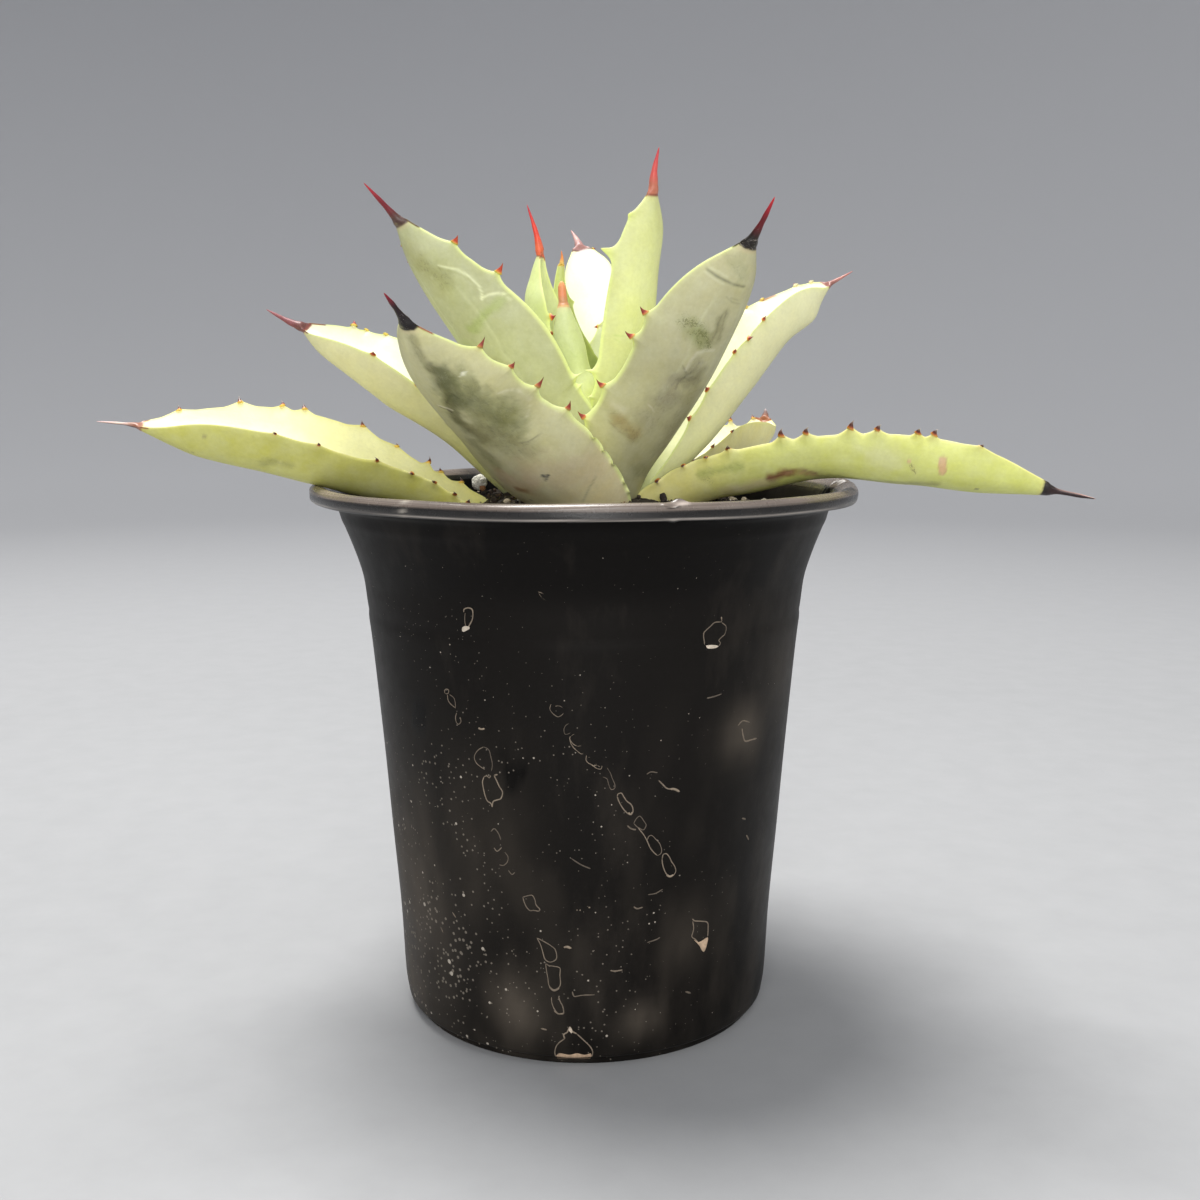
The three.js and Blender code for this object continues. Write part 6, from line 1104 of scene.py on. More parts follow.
def pot_shape():
    theta = [0.0]
    while theta[-1] < 360:
        t = (theta[-1] + 180) % 360 - 180
        fine_zone = abs(t - 17) < 6 or 84 < t < 100
        theta.append(theta[-1] + (0.35 if fine_zone else 1.5))
    theta = np.radians(np.array(theta[:-1]))
    m, n = len(LINE), len(theta)
    R, Z = np.repeat(LINE[:, 0][:, None], n, 1), np.repeat(LINE[:, 1][:, None], n, 1)
    deg = (np.degrees(theta) + 180) % 360 - 180
    k = np.arange(m)
    n_out = len(OUTER)
    a, b = n_out, n_out + len(lip_out) + len(lip_in)
    lip = ((k >= a) & (k < b))[:, None]
    # soft unevenness of a thin moulded wall and lip
    wobble = 0.22 * np.sin(3 * theta + 0.6) + 0.13 * np.sin(5 * theta + 2.0) + 0.08 * np.sin(11 * theta)
    rise = smooth(60, POT_H, Z)
    R = R + wobble[None] * rise * 0.8
    Z = Z + np.where(lip, (0.16 * np.sin(4 * theta + 1.0) + 0.10 * np.sin(9 * theta + 0.4) - 0.2)[None], 0)
    # the pressed-in flap at the front right of the lip
    over = ((k >= a + len(lip_out)) & (k < b))[:, None]
    Z = Z + 0.95 * np.exp(-((deg - 17.2) / 1.35) ** 2)[None] * np.exp(-((R - 72.9) / 0.9) ** 2) * over
    Z = Z - 0.45 * np.exp(-((deg - 15.6) / 0.9) ** 2)[None] * np.exp(-((R - 74.5) / 0.35) ** 2) * over
    R = R + 0.35 * np.exp(-((deg - 14.2) / 0.5) ** 2)[None] * lip * (Z > POT_H - 3)
    # crimps at the far right end of the lip
    c = np.exp(-((deg - 92) / 5.0) ** 2)
    Z = Z + (0.60 * np.sin((deg - 90) * 1.45) * c)[None] * lip
    R = R + (0.45 * np.cos((deg - 90) * 1.9 + 0.7) * c)[None] * lip
    R, Z = np.minimum(R, 74.95), np.clip(Z, 0, POT_H + 1.0)
    P = ring_point(theta[None], R, Z).reshape(-1, 3)
    i = np.arange(n)
    j = (i + 1) % n
    quads = np.vstack([np.stack([q * n + i, q * n + j, (q + 1) * n + j, (q + 1) * n + i], 1) for q in range(m - 1)])
    # ---- colour: near-black plastic, dust and water haze in patches, painted shade under the lip and painted highlights on it ----
    z, th = P[:, 2], np.degrees(np.arctan2(P[:, 0], -P[:, 1]))
    rr = np.hypot(P[:, 0], P[:, 1])
    base = np.broadcast_to(lin((19, 17, 15)), P.shape).copy()
    cloud = fbm(P, 24.0, 3, 77)
    # painted shade: the wall is darkened towards the top, under the lip
    base *= ((0.86 + 0.3 * cloud) * (1 - 0.45 * smooth(118, 128, z)))[:, None]
    outer_face = np.repeat(k < n_out, n)
    haze = np.zeros(len(P))
    for t0, z0, rt, rz, s in [(-20, 16, 9, 9, 0.5), (46, 86, 8, 7, 0.42), (15.6, 12.5, 6, 5, 0.35), (-62, 40, 22, 30, 0.42), (-70, 12, 25, 14, 0.45),
                              (-30, 60, 14, 20, 0.16), (30, 34, 8, 10, 0.18), (150, 40, 30, 26, 0.3), (-130, 90, 20, 30, 0.2), (62, 100, 10, 16, 0.15)]:
        d = np.hypot(((th - t0 + 180) % 360 - 180) / rt, (z - z0) / rz)
        haze = np.maximum(haze, s * np.exp(-d ** 2) * (0.4 + 1.2 * fbm(P * (1, 1, 0.45), 5.0, 3, 91)))
    haze += 0.10 * smooth(0.45, 0.75, fbm(P * (1, 1, 0.4), 9.0, 3, 93)) * smooth(120, 10, z)
    haze = haze * outer_face
    wet = np.zeros(len(P))
    for t0, z0, rt, rz in [(-19.0, 80.0, 3.7, 3.9), (-47.8, 89.5, 3.6, 5.6)]:
        d = np.hypot(((th - t0 + 180) % 360 - 180) / rt, (z - z0) / rz) + (fbm(P, 2.6, 2, 95) - 0.5) * 1.3
        wet = np.maximum(wet, smooth(1.08, 0.86, d))
    for dt, dz, r0 in [(3.4, 2.2, 0.8), (-3.2, 3.6, 0.6), (-1.4, -4.8, 0.75), (1.6, 4.6, 0.7), (4.0, -1.2, 0.5)]:
        d = np.hypot((th + 19.0 - dt) * 1.0, z - 80.0 - dz)
        wet = np.maximum(wet, smooth(r0 + 0.3, r0 - 0.3, d))
    wet = wet * outer_face
    f = (haze * 0.42)[:, None]
    col = base * (1 - f) + lin((150, 138, 124)) * f
    col = col * (1 - 0.72 * wet)[:, None]
    above = smooth(POT_H - 5, POT_H - 3.2, z) * (rr > 68)
    crest = above * smooth(POT_H - 2.0, POT_H - 1.55, z)
    col = col * (1 - above)[:, None] + lin((16, 14, 13)) * above[:, None]
    # painted highlight: the crest of the lip is mixed toward pale grey-brown where the overhead light reflects
    crest_highlight = (crest * 0.62 * (0.8 + 0.4 * fbm(P, 9.0, 2, 99)))[:, None]
    col = col * (1 - crest_highlight) + lin((150, 136, 126)) * crest_highlight
    # painted highlight: a thin pale line along the lower outer edge of the lip
    hem_highlight = (np.exp(-((z - (POT_H - 3.85)) / 0.18) ** 2) * (rr > 73.0) * 0.85)[:, None]
    col = col * (1 - hem_highlight) + lin((176, 168, 160)) * hem_highlight
    # the flap: a pale fold over a dark cut; the pale band is a painted highlight, the dark cut and its outline are
    # painted shade
    h0, r0, face = POT_H - np.repeat(LINE[:, 1], n), np.repeat(LINE[:, 0], n), np.repeat(over[:, 0], n)
    flap_highlight = np.exp(-((h0 - (0.42 - 0.13 * (th - 17.2))) / 0.32) ** 2) * np.clip(1 - ((th - 17.3) / 2.1) ** 2, 0, 1) * 0.75 * (r0 > 72.9)
    slit_shade = np.exp(-((h0 - (0.98 - 0.17 * (th - 15.7))) / 0.24) ** 2) * np.clip(1 - ((th - 15.8) / 1.45) ** 2, 0, 1) ** 0.5 * 0.97 * (r0 > 73.3)
    outline = np.exp(-((r0 - 72.8) / 0.35) ** 2) * np.clip(1 - ((th - 17.1) / 2.4) ** 2, 0, 1) ** 0.4 * 0.95
    for f, c in ((flap_highlight, (208, 194, 184)), (slit_shade, (10, 9, 8)), (outline, (14, 12, 10))):
        f = (f * face)[:, None]
        col = col * (1 - f) + lin(c) * f
    scuff = np.zeros(len(P))
    for t0, w0, s in [(-35.0, 1.0, 1.0), (150, 1.4, 0.7), (-120, 1.1, 0.7)]:
        scuff = np.maximum(scuff, s * np.exp(-((th - t0) / w0) ** 2) * np.exp(-((rr - 74.2) / 1.0) ** 2) * smooth(0.42, 0.6, fbm(P * (1, 1, 3), 0.9, 2, 97)) * (z > POT_H - 5))
    s2 = (scuff * 0.7)[:, None]
    col = col * (1 - s2) + lin((196, 188, 176)) * s2
    rough = 0.46 + 0.12 * (cloud - 0.5) + 0.16 * haze - 0.22 * wet
    rough = rough * (1 - above) + 0.27 * above
    shape = Shape()
    shape.add(P, quads, None, col, rough, np.stack([th * np.pi / 180 * rr, z, outer_face * 1.0 + above * 2.0], 1))
    # ---- the floor of the pot: two faces with the drain holes through them ----
    from mathutils.geometry import delaunay_2d_cdt
    ring0, ring1 = P[:n], P[(m - 1) * n:]
    holes = []
    for q in range(6):
        phi = np.linspace(0, 2 * np.pi, 40, endpoint=False)
        cx, cy_ = DRAIN_RING * math.cos(q * math.pi / 3), DRAIN_RING * math.sin(q * math.pi / 3)
        holes.append(np.stack([cx + DRAIN_R * np.cos(phi), cy_ + DRAIN_R * np.sin(phi)], 1))
    for ring, z0, flip in ((ring0, 0.0, True), (ring1, WALL, False)):
        pts = [Vector(p[:2]) for p in ring]
        edges = [(q, (q + 1) % n) for q in range(n)]
        for h in holes:
            o = len(pts)
            pts += [Vector(p) for p in h]
            edges += [(o + q, o + (q + 1) % 40) for q in range(40)]
        vo, _, fo, *_ = delaunay_2d_cdt(pts, edges, [], 2, 1e-7)
        V2 = np.array([(p.x, p.y, z0) for p in vo])
        tri = []
        for f_ in fo:
            c = V2[list(f_)].mean(0)[:2]
            if any(np.hypot(*(c - h.mean(0))) < DRAIN_R * 0.995 for h in holes):
                continue
            a3, b3, c3 = (V2[q][:2] for q in f_[:3])
            ccw = (b3[0] - a3[0]) * (c3[1] - a3[1]) - (b3[1] - a3[1]) * (c3[0] - a3[0]) > 0
            f_ = list(f_)
            if ccw == flip:
                f_ = f_[::-1]
            tri.append(f_)
        tri3 = np.array([f_ for f_ in tri if len(f_) == 3])
        shape.add(V2, None, tri3, lin((40, 36, 33)), 0.5, np.stack([V2[:, 0], V2[:, 1], V2[:, 0] * 0], 1))
    for h in holes:
        lo = np.concatenate([h, np.zeros((40, 1))], 1)
        hi = np.concatenate([h, np.full((40, 1), WALL)], 1)
        q = np.arange(40)
        shape.add(np.vstack([lo, hi]), np.stack([q, q + 40, (q + 1) % 40 + 40, (q + 1) % 40], 1), None, lin((40, 36, 33)), 0.5, (0, 0, 0))
    return shape


def pot_material(name, gloss):
    k = Nodes(name)
    pos, place, tint = k.position(), k.attribute("place", "Vector"), k.attribute("tint")
    sep = k.t.nodes.new("ShaderNodeSeparateXYZ")
    k.t.links.new(pos, sep.inputs[0])
    z = sep.outputs[2]
    left = k.math("MULTIPLY_ADD", sep.outputs[0], -9.0, 0.35, clamp=True)      # more dust to the left
    low = k.math("MULTIPLY_ADD", z, -9.0, 1.25, clamp=True)                     # and low down
    where = k.math("MULTIPLY_ADD", k.math("MULTIPLY", left, low), 0.75, 0.12)
    # mineral dust: small pale specks of two sizes, in drifts
    drift = k.noise(pos, 46.0, 3.0, 0.6)
    v1 = k.voronoi(pos, 620.0)
    fine_speck = k.math("LESS_THAN", v1, k.math("MULTIPLY", where, k.math("SUBTRACT", drift, 0.22)))
    v2 = k.voronoi(k.vmath("ADD", pos, (0.31, 0.17, 0.05)), 210.0)
    speck = k.math("LESS_THAN", v2, k.math("MULTIPLY", k.math("MULTIPLY", where, 0.30), drift))
    haze = k.noise(k.scaled(pos, (1, 1, 0.35)), 60.0, 5.0, 0.65)
    film = k.math("MULTIPLY", k.ramp(haze, [(0.52, 0.0), (0.78, 1.0)]), 0.05)
    c = k.mix(film, tint, tuple(lin((140, 128, 116))))
    c = k.mix(k.math("MULTIPLY", fine_speck, 0.34), c, tuple(lin((176, 166, 152))))
    c = k.mix(k.math("MULTIPLY", speck, 0.62), c, tuple(lin((206, 196, 182))))
    if gloss > 0.3:
        line = k.noise(k.scaled(place, (0.02, 2.4, 0.0)), 1.0, 4.0, 0.7)
        c = k.mix(k.ramp(line, [(0.38, 0.55), (0.58, 0.0)]), c, k.mix(0.75, c, tuple(lin((30, 26, 24)))))
    k.set(Base_Color=c)
    r = k.math("ADD", k.attribute("rough", "Fac"), k.math("MULTIPLY_ADD", k.noise(pos, 240.0, 4.0, 0.6), 0.16, -0.08))
    k.set(Roughness=k.math("ADD", r, k.math("MULTIPLY", fine_speck, 0.2)))
    # faint rings from turning the mould, and the grain of cheap plastic
    rings = k.noise(k.scaled(pos, (0.02, 0.02, 1.0)), 900.0, 3.0, 0.6)
    b = k.bump(rings, 0.05, 0.0004)
    b = k.bump(k.noise(pos, 1400.0, 3.0, 0.6), 0.10, 0.0002, b)
    k.set(Normal=b)
    k.b.inputs["Specular IOR Level"].default_value = gloss
    return k.m


def dried_material():
    k = Nodes("dried_water")
    pos, tint = k.position(), k.attribute("tint")
    n = k.noise(pos, 900.0, 4.0, 0.65)
    c = k.mix(k.ramp(n, [(0.35, 0.0), (0.7, 1.0)]), k.mix(0.45, tint, tuple(lin((60, 54, 48)))), tint)
    k.set(Base_Color=c, Roughness=0.85)
    k.set(Normal=k.bump(n, 0.3, 0.0002))
    return k.m


def tidy(obj, dist=2e-6):
    import bmesh
    bm = bmesh.new()
    bm.from_mesh(obj.data)
    bmesh.ops.remove_doubles(bm, verts=bm.verts, dist=dist)
    bmesh.ops.recalc_face_normals(bm, faces=bm.faces)
    bm.to_mesh(obj.data)
    bm.free()
    obj.data.update()


pot_obj = pot_shape().make("pot_moulded", pot_material("pot_plastic", 0.09))
pot_obj.data.materials.append(pot_material("pot_lip", 0.55))
mid = np.zeros(len(pot_obj.data.polygons) * 3, np.float32)
pot_obj.data.polygons.foreach_get("center", mid)
mid = mid.reshape(-1, 3)
on_lip = (mid[:, 2] > (POT_H - 4.6) * MM) & (np.hypot(mid[:, 0], mid[:, 1]) > 68.5 * MM)
pot_obj.data.polygons.foreach_set("material_index", on_lip.astype(np.int32))
tidy(pot_obj)
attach(pot_obj, "root")
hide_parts("pot")


def dried_marks():
    shape = Shape()
    tide = lin((178, 160, 138))
    under = lin((46, 41, 37))
    for width, pale, pts in DRIED_LINES:
        pts = np.array(pts, float)
        n = max(4, int(len(pts) * 4))
        path = cr(pts, np.linspace(0, 1, n)) if len(pts) > 2 else np.linspace(pts[0], pts[-1], 5)
        n = len(path)
        th, z = np.radians(path[:, 0]), path[:, 1]
        C = ring_point(th, wall_r(z), z)
        out = unit(np.stack([np.sin(th), -np.cos(th), -0.05 + 0 * th], 1))
        d = unit(np.gradient(C, axis=0))
        side = unit(np.cross(out, d))
        wob = 0.75 + 0.6 * fbm(C, 1.2, 2, 5)
        w = 0.5 * width * wob * np.clip(np.minimum(np.arange(n), np.arange(n)[::-1]) / 1.5 + 0.35, 0, 1)
        hgt = 0.035
        rows = [C - side * w[:, None] + out * 0.004, C - side * (w * 0.45)[:, None] + out * hgt, C + side * (w * 0.45)[:, None] + out * hgt,
                C + side * w[:, None] + out * 0.004, C - out * 0.03]
        V = np.concatenate(rows)
        q = np.arange(n - 1)
        quads = np.vstack([np.stack([a * n + q, a * n + q + 1, ((a + 1) % 5) * n + q + 1, ((a + 1) % 5) * n + q], 1) for a in range(5)])
        ends = np.array([[0, n, 2 * n], [0, 2 * n, 3 * n], [0, 3 * n, 4 * n]])
        ends = np.vstack([ends, ends[:, ::-1] + n - 1])
        p = min(1.0, 0.10 + 0.72 * pale)
        shape.add(V, quads, ends, under * (1 - p) + tide * p, 0.85)
    from mathutils.geometry import tessellate_polygon
    for pale, tan, pts in DRIED_PATCHES:
        pts = np.array(pts, float)
        path = cr(np.vstack([pts, pts[:1]]), np.linspace(0, 1, len(pts) * 5 + 1))[:-1]
        mid = path.mean(0)
        n = len(path)
        rows = []
        for f_, h in ((1.0, 0.0), (0.94, 0.05), (0.7, 0.06), (0.42, 0.055), (0.16, 0.055)):
            q = mid + (path - mid) * f_
            th, z = np.radians(q[:, 0]), q[:, 1]
            rows.append(ring_point(th, wall_r(z) + h, z))
        V = np.concatenate(rows + [ring_point(np.radians(mid[:1, None] * 0 + mid[0])[:, 0], wall_r(mid[1:2]) + 0.055, mid[1:2]),
                                   ring_point(np.radians(mid[:1, None] * 0 + mid[0])[:, 0], wall_r(mid[1:2]) - 0.12, mid[1:2])])
        i = np.arange(n)
        j = (i + 1) % n
        quads = np.vstack([np.stack([a * n + i, a * n + j, (a + 1) * n + j, (a + 1) * n + i], 1) for a in range(4)])
        tris = np.vstack([np.stack([4 * n + i, 4 * n + j, np.full(n, 5 * n)], 1), np.stack([j, i, np.full(n, 5 * n + 1)], 1)])
        c = lin((226, 216, 200)) * (1 - tan) + lin((196, 160, 124)) * tan
        colr = np.broadcast_to(c, (len(V), 3)) * (0.8 + 0.35 * fbm(V, 1.5, 2, 9))[:, None]
        shape.add(V, quads, tris, colr, 0.9)
    return shape


dried = dried_marks().make("dried_water_marks", dried_material())
tidy(dried, 1e-7)
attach(dried, "root")

# ---------- growing mix, its loose grains and stones ----------
from mathutils.bvhtree import BVHTree


def soil_level(r):
    return SOIL_CROWN + (SOIL_WALL - SOIL_CROWN) * smooth(22.0, 64.0, r)


def hollow(x, y):
    """The mix lies lower along the front wall, and under the foot of the lowest left leaf."""
    r = np.hypot(x, y)
    front_wall = smooth(0.1, 0.6, -y / np.maximum(r, 1)) * smooth(26, 44, r) * 2.7
    foot = 5.2 * np.exp(-((x + 36) / 15.0) ** 2 - ((y + 12) / 8.5) ** 2)
    return front_wall + foot


def ico(level):
    import bmesh
    bm = bmesh.new()
    bmesh.ops.create_icosphere(bm, subdivisions=level, radius=1.0)
    v = np.array([q.co[:] for q in bm.verts])
    f = np.array([[q.index for q in face.verts] for face in bm.faces])
    bm.free()
    return v, f


def leaf_trees():
    trees = []
    for obj in bpy.data.objects:
        if obj.name.endswith("_grown"):
            mesh = obj.data
            co = np.zeros(len(mesh.vertices) * 3, np.float32)
            mesh.vertices.foreach_get("co", co)
            co = co.reshape(-1, 3)
            mesh.calc_loop_triangles()
            tri = np.zeros(len(mesh.loop_triangles) * 3, np.int32)
            mesh.loop_triangles.foreach_get("vertices", tri)
            tri = tri.reshape(-1, 3)
            near = (co[tri].min(1)[:, 2] < 0.156)
            if near.sum():
                trees.append(BVHTree.FromPolygons([tuple(c) for c in co.tolist()], tri[near].tolist(), all_triangles=True))
    return trees


TREES = leaf_trees()


def clear_of_leaves(p, r):
    v = Vector(p * MM)
    for t in TREES:
        hit, normal, _, dist = t.find_nearest(v, 0.012)
        if hit is not None and (dist < r * MM or (v - hit).dot(normal) < 0):
            return False
    return True


def soil_shape():
    rng = np.random.default_rng(4)
    shape = Shape()
    rs = np.concatenate([np.linspace(2.0, 20, 16), np.linspace(20.6, 66.0, 76)])
    n = 360
    th = np.linspace(0, 2 * np.pi, n, endpoint=False)
    R = np.repeat(rs[:, None], n, 1)
    lim = 66.0
    Z = soil_level(R)
    P = ring_point(th[None], np.minimum(R, lim), Z).reshape(-1, 3)
    bumps = (fbm(P, 7.0, 2, 31) - 0.5) * 2.2 + (fbm(P, 2.3, 3, 33) - 0.5) * 1.7
    rad = np.hypot(P[:, 0], P[:, 1])
    P[:, 2] += (bumps - 0.35) * smooth(0, 20, rad) - hollow(P[:, 0], P[:, 1])
    wall = np.interp(P[:, 2], OUTER[:, 1], OUTER[:, 0]) - WALL - 0.12
    s = np.minimum(1, wall / np.maximum(rad, 1e-6))
    P[:, 0] *= s
    P[:, 1] *= s
    m = len(rs)
    i = np.arange(n)
    j = (i + 1) % n
    quads = [np.stack([k * n + i, (k + 1) * n + i, (k + 1) * n + j, k * n + j], 1) for k in range(m - 1)]
    side = []
    for z in (134, 126, 110, 80, 40, 12, 6.2):
        side.append(ring_point(th, wall_r(z) - WALL - 0.35 + 0 * th, z + 0 * th))
    side.append(ring_point(th, 47.6 + 0 * th, FOOT_H + WALL + 0.3 + 0 * th))
    side.append(ring_point(th, 46.6 + 0 * th, WALL + 0.3 + 0 * th))
    for r in (40, 30, 15, 4):
        side.append(ring_point(th, r + 0 * th, WALL + 0.3 + 0 * th))
    for k in range(len(side)):
        a = (m - 1 + k) * n
        quads.append(np.stack([a + i, a + n + i, a + n + j, a + j], 1))
    V = np.vstack([P] + side + [[[0, 0, SOIL_CROWN - 0.3]], [[0, 0, WALL + 0.3]]])
    last = (m - 1 + len(side)) * n
    tris = np.vstack([np.stack([i, j, np.full(n, len(V) - 2)], 1), np.stack([last + j, last + i, np.full(n, len(V) - 1)], 1)])
    tone = fbm(V, 2.1, 3, 35)
    col = lin((36, 30, 26)) * (1 - tone[:, None]) + lin((70, 56, 45)) * tone[:, None]
    shape.add(V, np.vstack(quads), tris, col, 0.95)
    return shape


def grit(shape, count, seed, sizes, colours, weights, level=1, region=(15.0, 65.0), sink=0.25):
    """Loose angular grains lying on the mix, none of them inside a leaf."""
    rng = np.random.default_rng(seed)
    bv, bf = ico(level)
    placed = 0
    for _ in range(count * 3):
        if placed >= count:
            break
        r = math.sqrt(rng.uniform(region[0] ** 2, region[1] ** 2))
        th = rng.uniform(0, 2 * np.pi)
        size = float(rng.uniform(*sizes) * rng.uniform(0.75, 1.0))
        c = rng.choice(len(colours), p=weights)
        axes = rng.uniform(0.62, 1.0, 3)
        q = rng.normal(size=(3, 3))
        q, _ = np.linalg.qr(q)
        rn = rng.uniform(0, 100, 3)
        tone = rng.uniform(0.78, 1.12)
        front = math.cos(th) > 0.25 and r > 30
        if front and size > 0.62:
            continue
        r = min(r, 66.0 - size - WALL)
        p = ring_point(np.array([th]), np.array([r]), np.array([0.0]))[0]
        p[2] = soil_level(r) - hollow(p[0], p[1]) + size * (1 - 2 * sink) * 0.8 - (0.5 if front else 0.0)
        if not clear_of_leaves(p, size * 0.85):
            continue
        v = bv * axes
        d = vnoise(v * 1.6 + rn, seed) - 0.5
        v = v * (1 + 0.62 * d)[:, None]
        v = (v @ q.T) * size
        base = lin(colours[c]) * tone
        col = base * (0.72 + 0.56 * vnoise(bv * 3.1 + rn, seed + 1))[:, None]
        shape.add(v + p, None, bf, col, 0.9)
        placed += 1
    return shape


def soil_material():
    k = Nodes("growing_mix")
    pos, tint = k.position(), k.attribute("tint")
    n = k.noise(pos, 700.0, 5.0, 0.7)
    v = k.voronoi(pos, 520.0)
    c = k.mix(k.ramp(n, [(0.3, 0.0), (0.75, 1.0)]), k.mix(0.6, tint, tuple(lin((22, 18, 16)))), tint)
    c = k.mix(k.math("MULTIPLY", k.math("LESS_THAN", v, 0.16), 0.5), c, tuple(lin((190, 176, 156))))
    k.set(Base_Color=c, Roughness=0.95)
    b = k.bump(n, 0.7, 0.0008)
    k.set(Normal=k.bump(k.voronoi(pos, 900.0), 0.5, 0.0005, b))
    return k.m


def grain_material(name, pits):
    k = Nodes(name)
    pos, tint = k.position(), k.attribute("tint")
    n = k.noise(pos, 1500.0, 4.0, 0.65)
    c = k.mix(k.ramp(n, [(0.3, 0.0), (0.72, 1.0)]), k.mix(0.35, tint, tuple(lin((70, 58, 48)))), tint)
    if pits:
        # painted shade: the pits are darkened toward brown-grey
        v = k.voronoi(pos, 1900.0)
        c = k.mix(k.math("MULTIPLY", k.math("LESS_THAN", v, 0.22), 0.55), c, tuple(lin((120, 108, 92))))
        b = k.bump(v, 0.8, 0.0005)
    else:
        b = k.bump(n, 0.5, 0.0005)
    k.set(Base_Color=c, Roughness=0.9)
    k.set(Normal=k.bump(n, 0.5, 0.0003, b))
    return k.m


mix_material, lava_material, pumice_material = soil_material(), grain_material("lava_grit", False), grain_material("pumice_grit", True)
soil_obj = soil_shape().make("growing_mix_bed", mix_material)
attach(soil_obj, "root")
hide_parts("soil")

dark = Shape()
grit(dark, 1250, 11, (0.35, 0.95), [(46, 38, 34), (66, 53, 44), (88, 68, 54), (30, 27, 26)], [0.4, 0.28, 0.14, 0.18])
grit(dark, 70, 12, (1.2, 1.9), [(58, 48, 42), (92, 66, 48), (38, 33, 31)], [0.45, 0.3, 0.25], level=2)
dark_obj = dark.make("loose_dark_grit", lava_material, smooth_shading=True)
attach(dark_obj, "root")
pale = Shape()
grit(pale, 230, 21, (0.3, 0.85), [(226, 218, 202), (198, 182, 156), (180, 150, 116), (236, 232, 224)], [0.34, 0.3, 0.18, 0.18])
grit(pale, 34, 22, (1.1, 1.9), [(222, 214, 198), (198, 184, 160)], [0.6, 0.4], level=2)
pale_obj = pale.make("loose_pale_grit", pumice_material, smooth_shading=True)
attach(pale_obj, "root")

STONES = {
    "pumice_grain_left": (2.6, (255, 252, 240), "pumice"), "chip_left": (1.5, (150, 104, 66), "chip"),
    "pumice_grain_front": (2.3, (224, 216, 200), "pumice"), "pumice_grain_right": (2.4, (220, 212, 196), "pumice"),
    "pumice_grain_back": (2.2, (226, 220, 206), "pumice"), "lava_grain_front": (2.2, (70, 54, 46), "lava"),
    "lava_grain_left": (1.9, (60, 50, 46), "lava"), "lava_grain_back": (2.1, (88, 58, 46), "lava"),
}
chip_material = grain_material("bark_chip", False)
for number, (stone, (size, colour, slot)) in enumerate(STONES.items()):
    lo, hi = (np.array(c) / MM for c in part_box(stone))
    mid, half = (lo + hi) / 2, (hi - lo) / 2
    if stone == "lava_grain_front":                         # half sunk in the mix behind the lip
        half = half * (0.7, 0.7, 0.55)
        mid = mid - (0.0, 0.0, 0.9)
    v, f = ico(4)
    seed = 300 + 7 * number
    d = (fbm(v + number, 1.1, 2, seed) - 0.5) * 0.55 + (fbm(v + number, 0.42, 3, seed + 1) - 0.5) * 0.22
    if slot != "chip":
        pit = smooth(0.60, 0.74, vnoise(v * 5.2 + number, seed + 2))
        d = d - 0.10 * pit
    else:
        d = d + 0.10 * np.sin(v[:, 1] * 9 + v[:, 2] * 3)
    w = v * (1 + d)[:, None]
    w = w / np.abs(w).max(0) * half * 0.99 + mid
    tone = 0.78 + 0.4 * fbm(v + number, 0.5, 3, seed + 3)
    # painted shade: the stone is darker in its pits
    if slot != "chip":
        tone = tone - 0.28 * pit
    piece = Shape()
    piece.add(w, None, f, lin(colour) * tone[:, None], 0.9)
    obj = piece.make(stone + "_pitted", {"pumice": pumice_material, "lava": lava_material, "chip": chip_material}[slot])
    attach(obj, "root")
    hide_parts(stone)

# ---------- the stem and roots keep their CAD shape, hidden in the mix ----------
bark = Nodes("woody_stem")
bpos = bark.position()
bn = bark.noise(bark.scaled(bpos, (1.0, 1.0, 0.25)), 420.0, 5.0, 0.65)
bark.set(Base_Color=bark.ramp(bn, [(0.28, tuple(lin((92, 70, 46)))), (0.55, tuple(lin((150, 128, 84)))), (0.8, tuple(lin((190, 176, 128))))]), Roughness=0.82)
bark.set(Normal=bark.bump(bn, 0.5, 0.0008))
stem_obj = frame["nodes"]["stem_and_roots"]
stem_obj = stem_obj if hasattr(stem_obj, "data") else bpy.data.objects[str(stem_obj)]
if stem_obj.data.materials:
    for slot_number in range(len(stem_obj.material_slots)):
        stem_obj.material_slots[slot_number].material = bark.m
else:
    stem_obj.data.materials.append(bark.m)

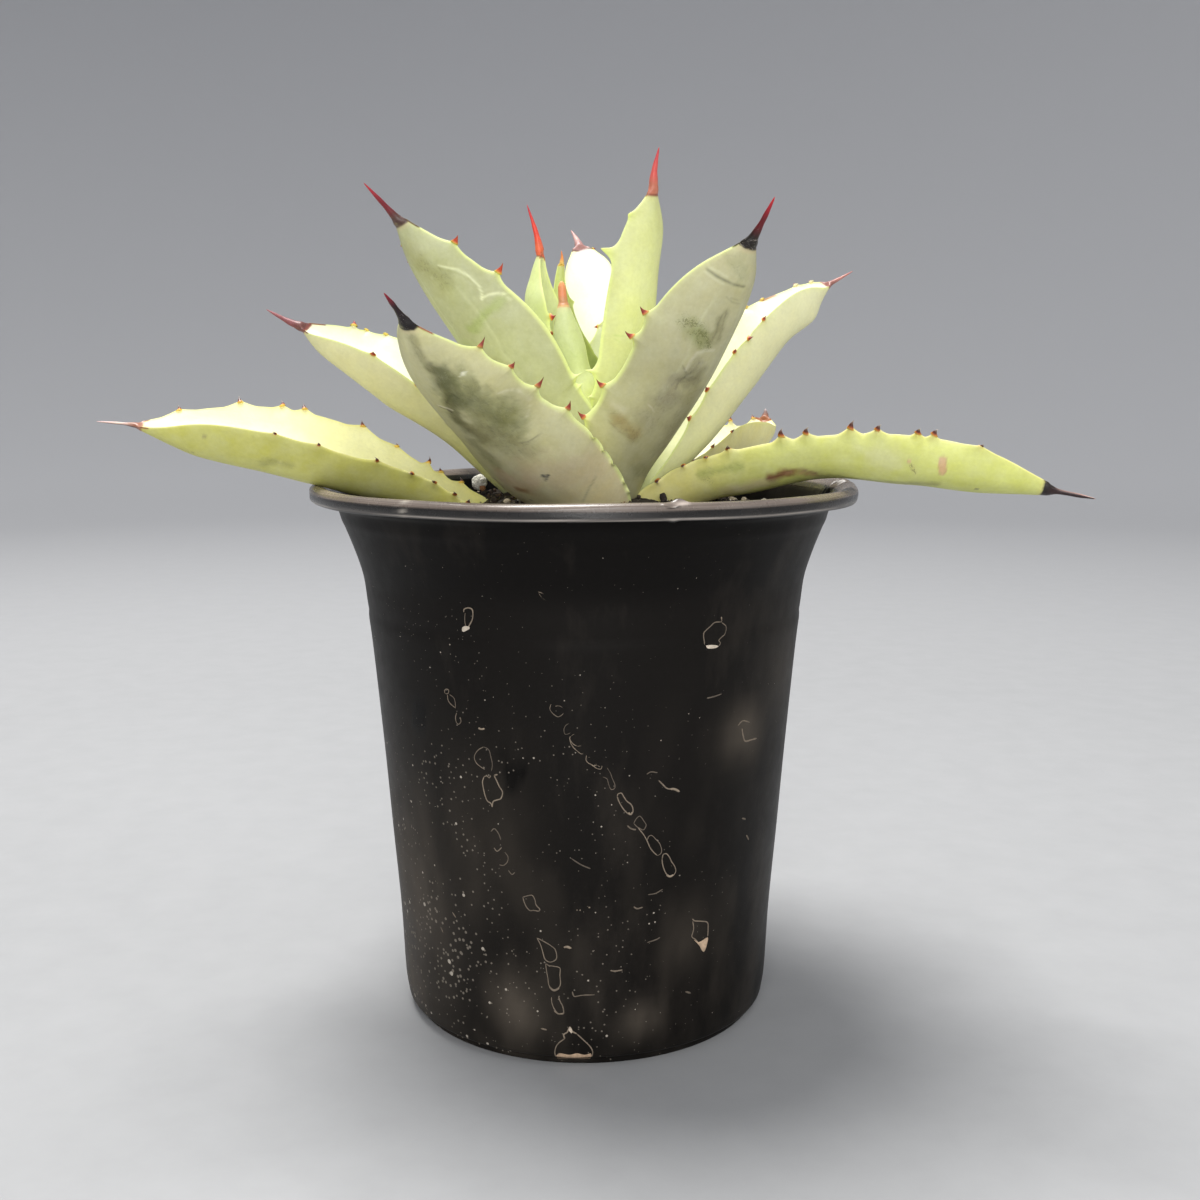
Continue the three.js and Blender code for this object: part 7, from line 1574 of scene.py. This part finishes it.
# ---------- plain pale studio ----------
def studio():
    line = [(0.0, 0.0)] + [(r, 0.0) for r in (0.15, 0.4, 0.9, 1.5)]
    line += [(1.5 + 1.1 * math.sin(a), 1.1 - 1.1 * math.cos(a)) for a in np.linspace(0.12, math.pi / 2, 12)] + [(2.6, 1.9)]
    n = 96
    verts, faces = [(0.0, 0.0, 0.0)], []
    for r, z in line[1:]:
        for k in range(n):
            a = 2 * math.pi * k / n
            verts.append((r * math.cos(a), r * math.sin(a), z))
    for k in range(n):
        faces.append((0, 1 + k, 1 + (k + 1) % n))
    for q in range(len(line) - 2):
        for k in range(n):
            a, b = 1 + q * n + k, 1 + q * n + (k + 1) % n
            faces.append((a, a + n, b + n, b))
    mesh = bpy.data.meshes.new("studio_floor")
    mesh.from_pydata(verts, [], faces)
    mesh.update()
    for p in mesh.polygons:
        p.use_smooth = True
    obj = bpy.data.objects.new("studio_floor", mesh)
    scene.collection.objects.link(obj)
    k = Nodes("pale_paper")
    n1 = k.noise(k.position(), 60.0, 4.0, 0.6)
    # painted light: the paper is lighter further from the centre, where the lamps light the floor and walls less
    far_lightening = k.math("SUBTRACT", k.vmath("LENGTH", k.position()), 0.45)
    far_lightening = k.math("MULTIPLY", far_lightening, 0.75, clamp=True)
    near_tone = k.ramp(n1, [(0.3, tuple(lin((160, 161, 163)))), (0.7, tuple(lin((164, 165, 167))))])
    k.set(Base_Color=k.mix(far_lightening, near_tone, tuple(lin((190, 191, 194)))), Roughness=0.9)
    k.set(Normal=k.bump(k.noise(k.position(), 900.0, 3.0, 0.6), 0.05, 0.0004))
    mesh.materials.append(k.m)


studio()


def area(name, at, aim, size, power, colour=(1, 1, 1)):
    light = bpy.data.lights.new(name, "AREA")
    light.shape, light.size, light.energy, light.color = "DISK", size, power, colour
    obj = bpy.data.objects.new(name, light)
    scene.collection.objects.link(obj)
    obj.location = at
    obj.rotation_euler = (Vector(aim) - Vector(at)).to_track_quat("-Z", "Y").to_euler()
    return obj


area("overhead", (-0.24, 0.26, 1.5), (0.0, 0.0, 0.16), 0.75, 31.5, (1.0, 0.985, 0.955))
area("front_fill", (0.05, -1.5, 0.62), (0.0, 0.0, 0.16), 1.2, 18.0, (1.0, 0.99, 0.97))
area("side_fill", (1.25, -0.55, 0.75), (0.0, 0.0, 0.16), 0.9, 2.5, (1.0, 0.99, 0.96))
world = bpy.data.worlds.new("studio_air")
world.use_nodes = True
world.node_tree.nodes["Background"].inputs[0].default_value = (0.93, 0.95, 1.0, 1)
world.node_tree.nodes["Background"].inputs[1].default_value = 0.42
scene.world = world
scene.view_settings.view_transform = "Standard"
scene.view_settings.look = "None"
scene.view_settings.exposure = 0.0
scene.view_settings.gamma = 1.0
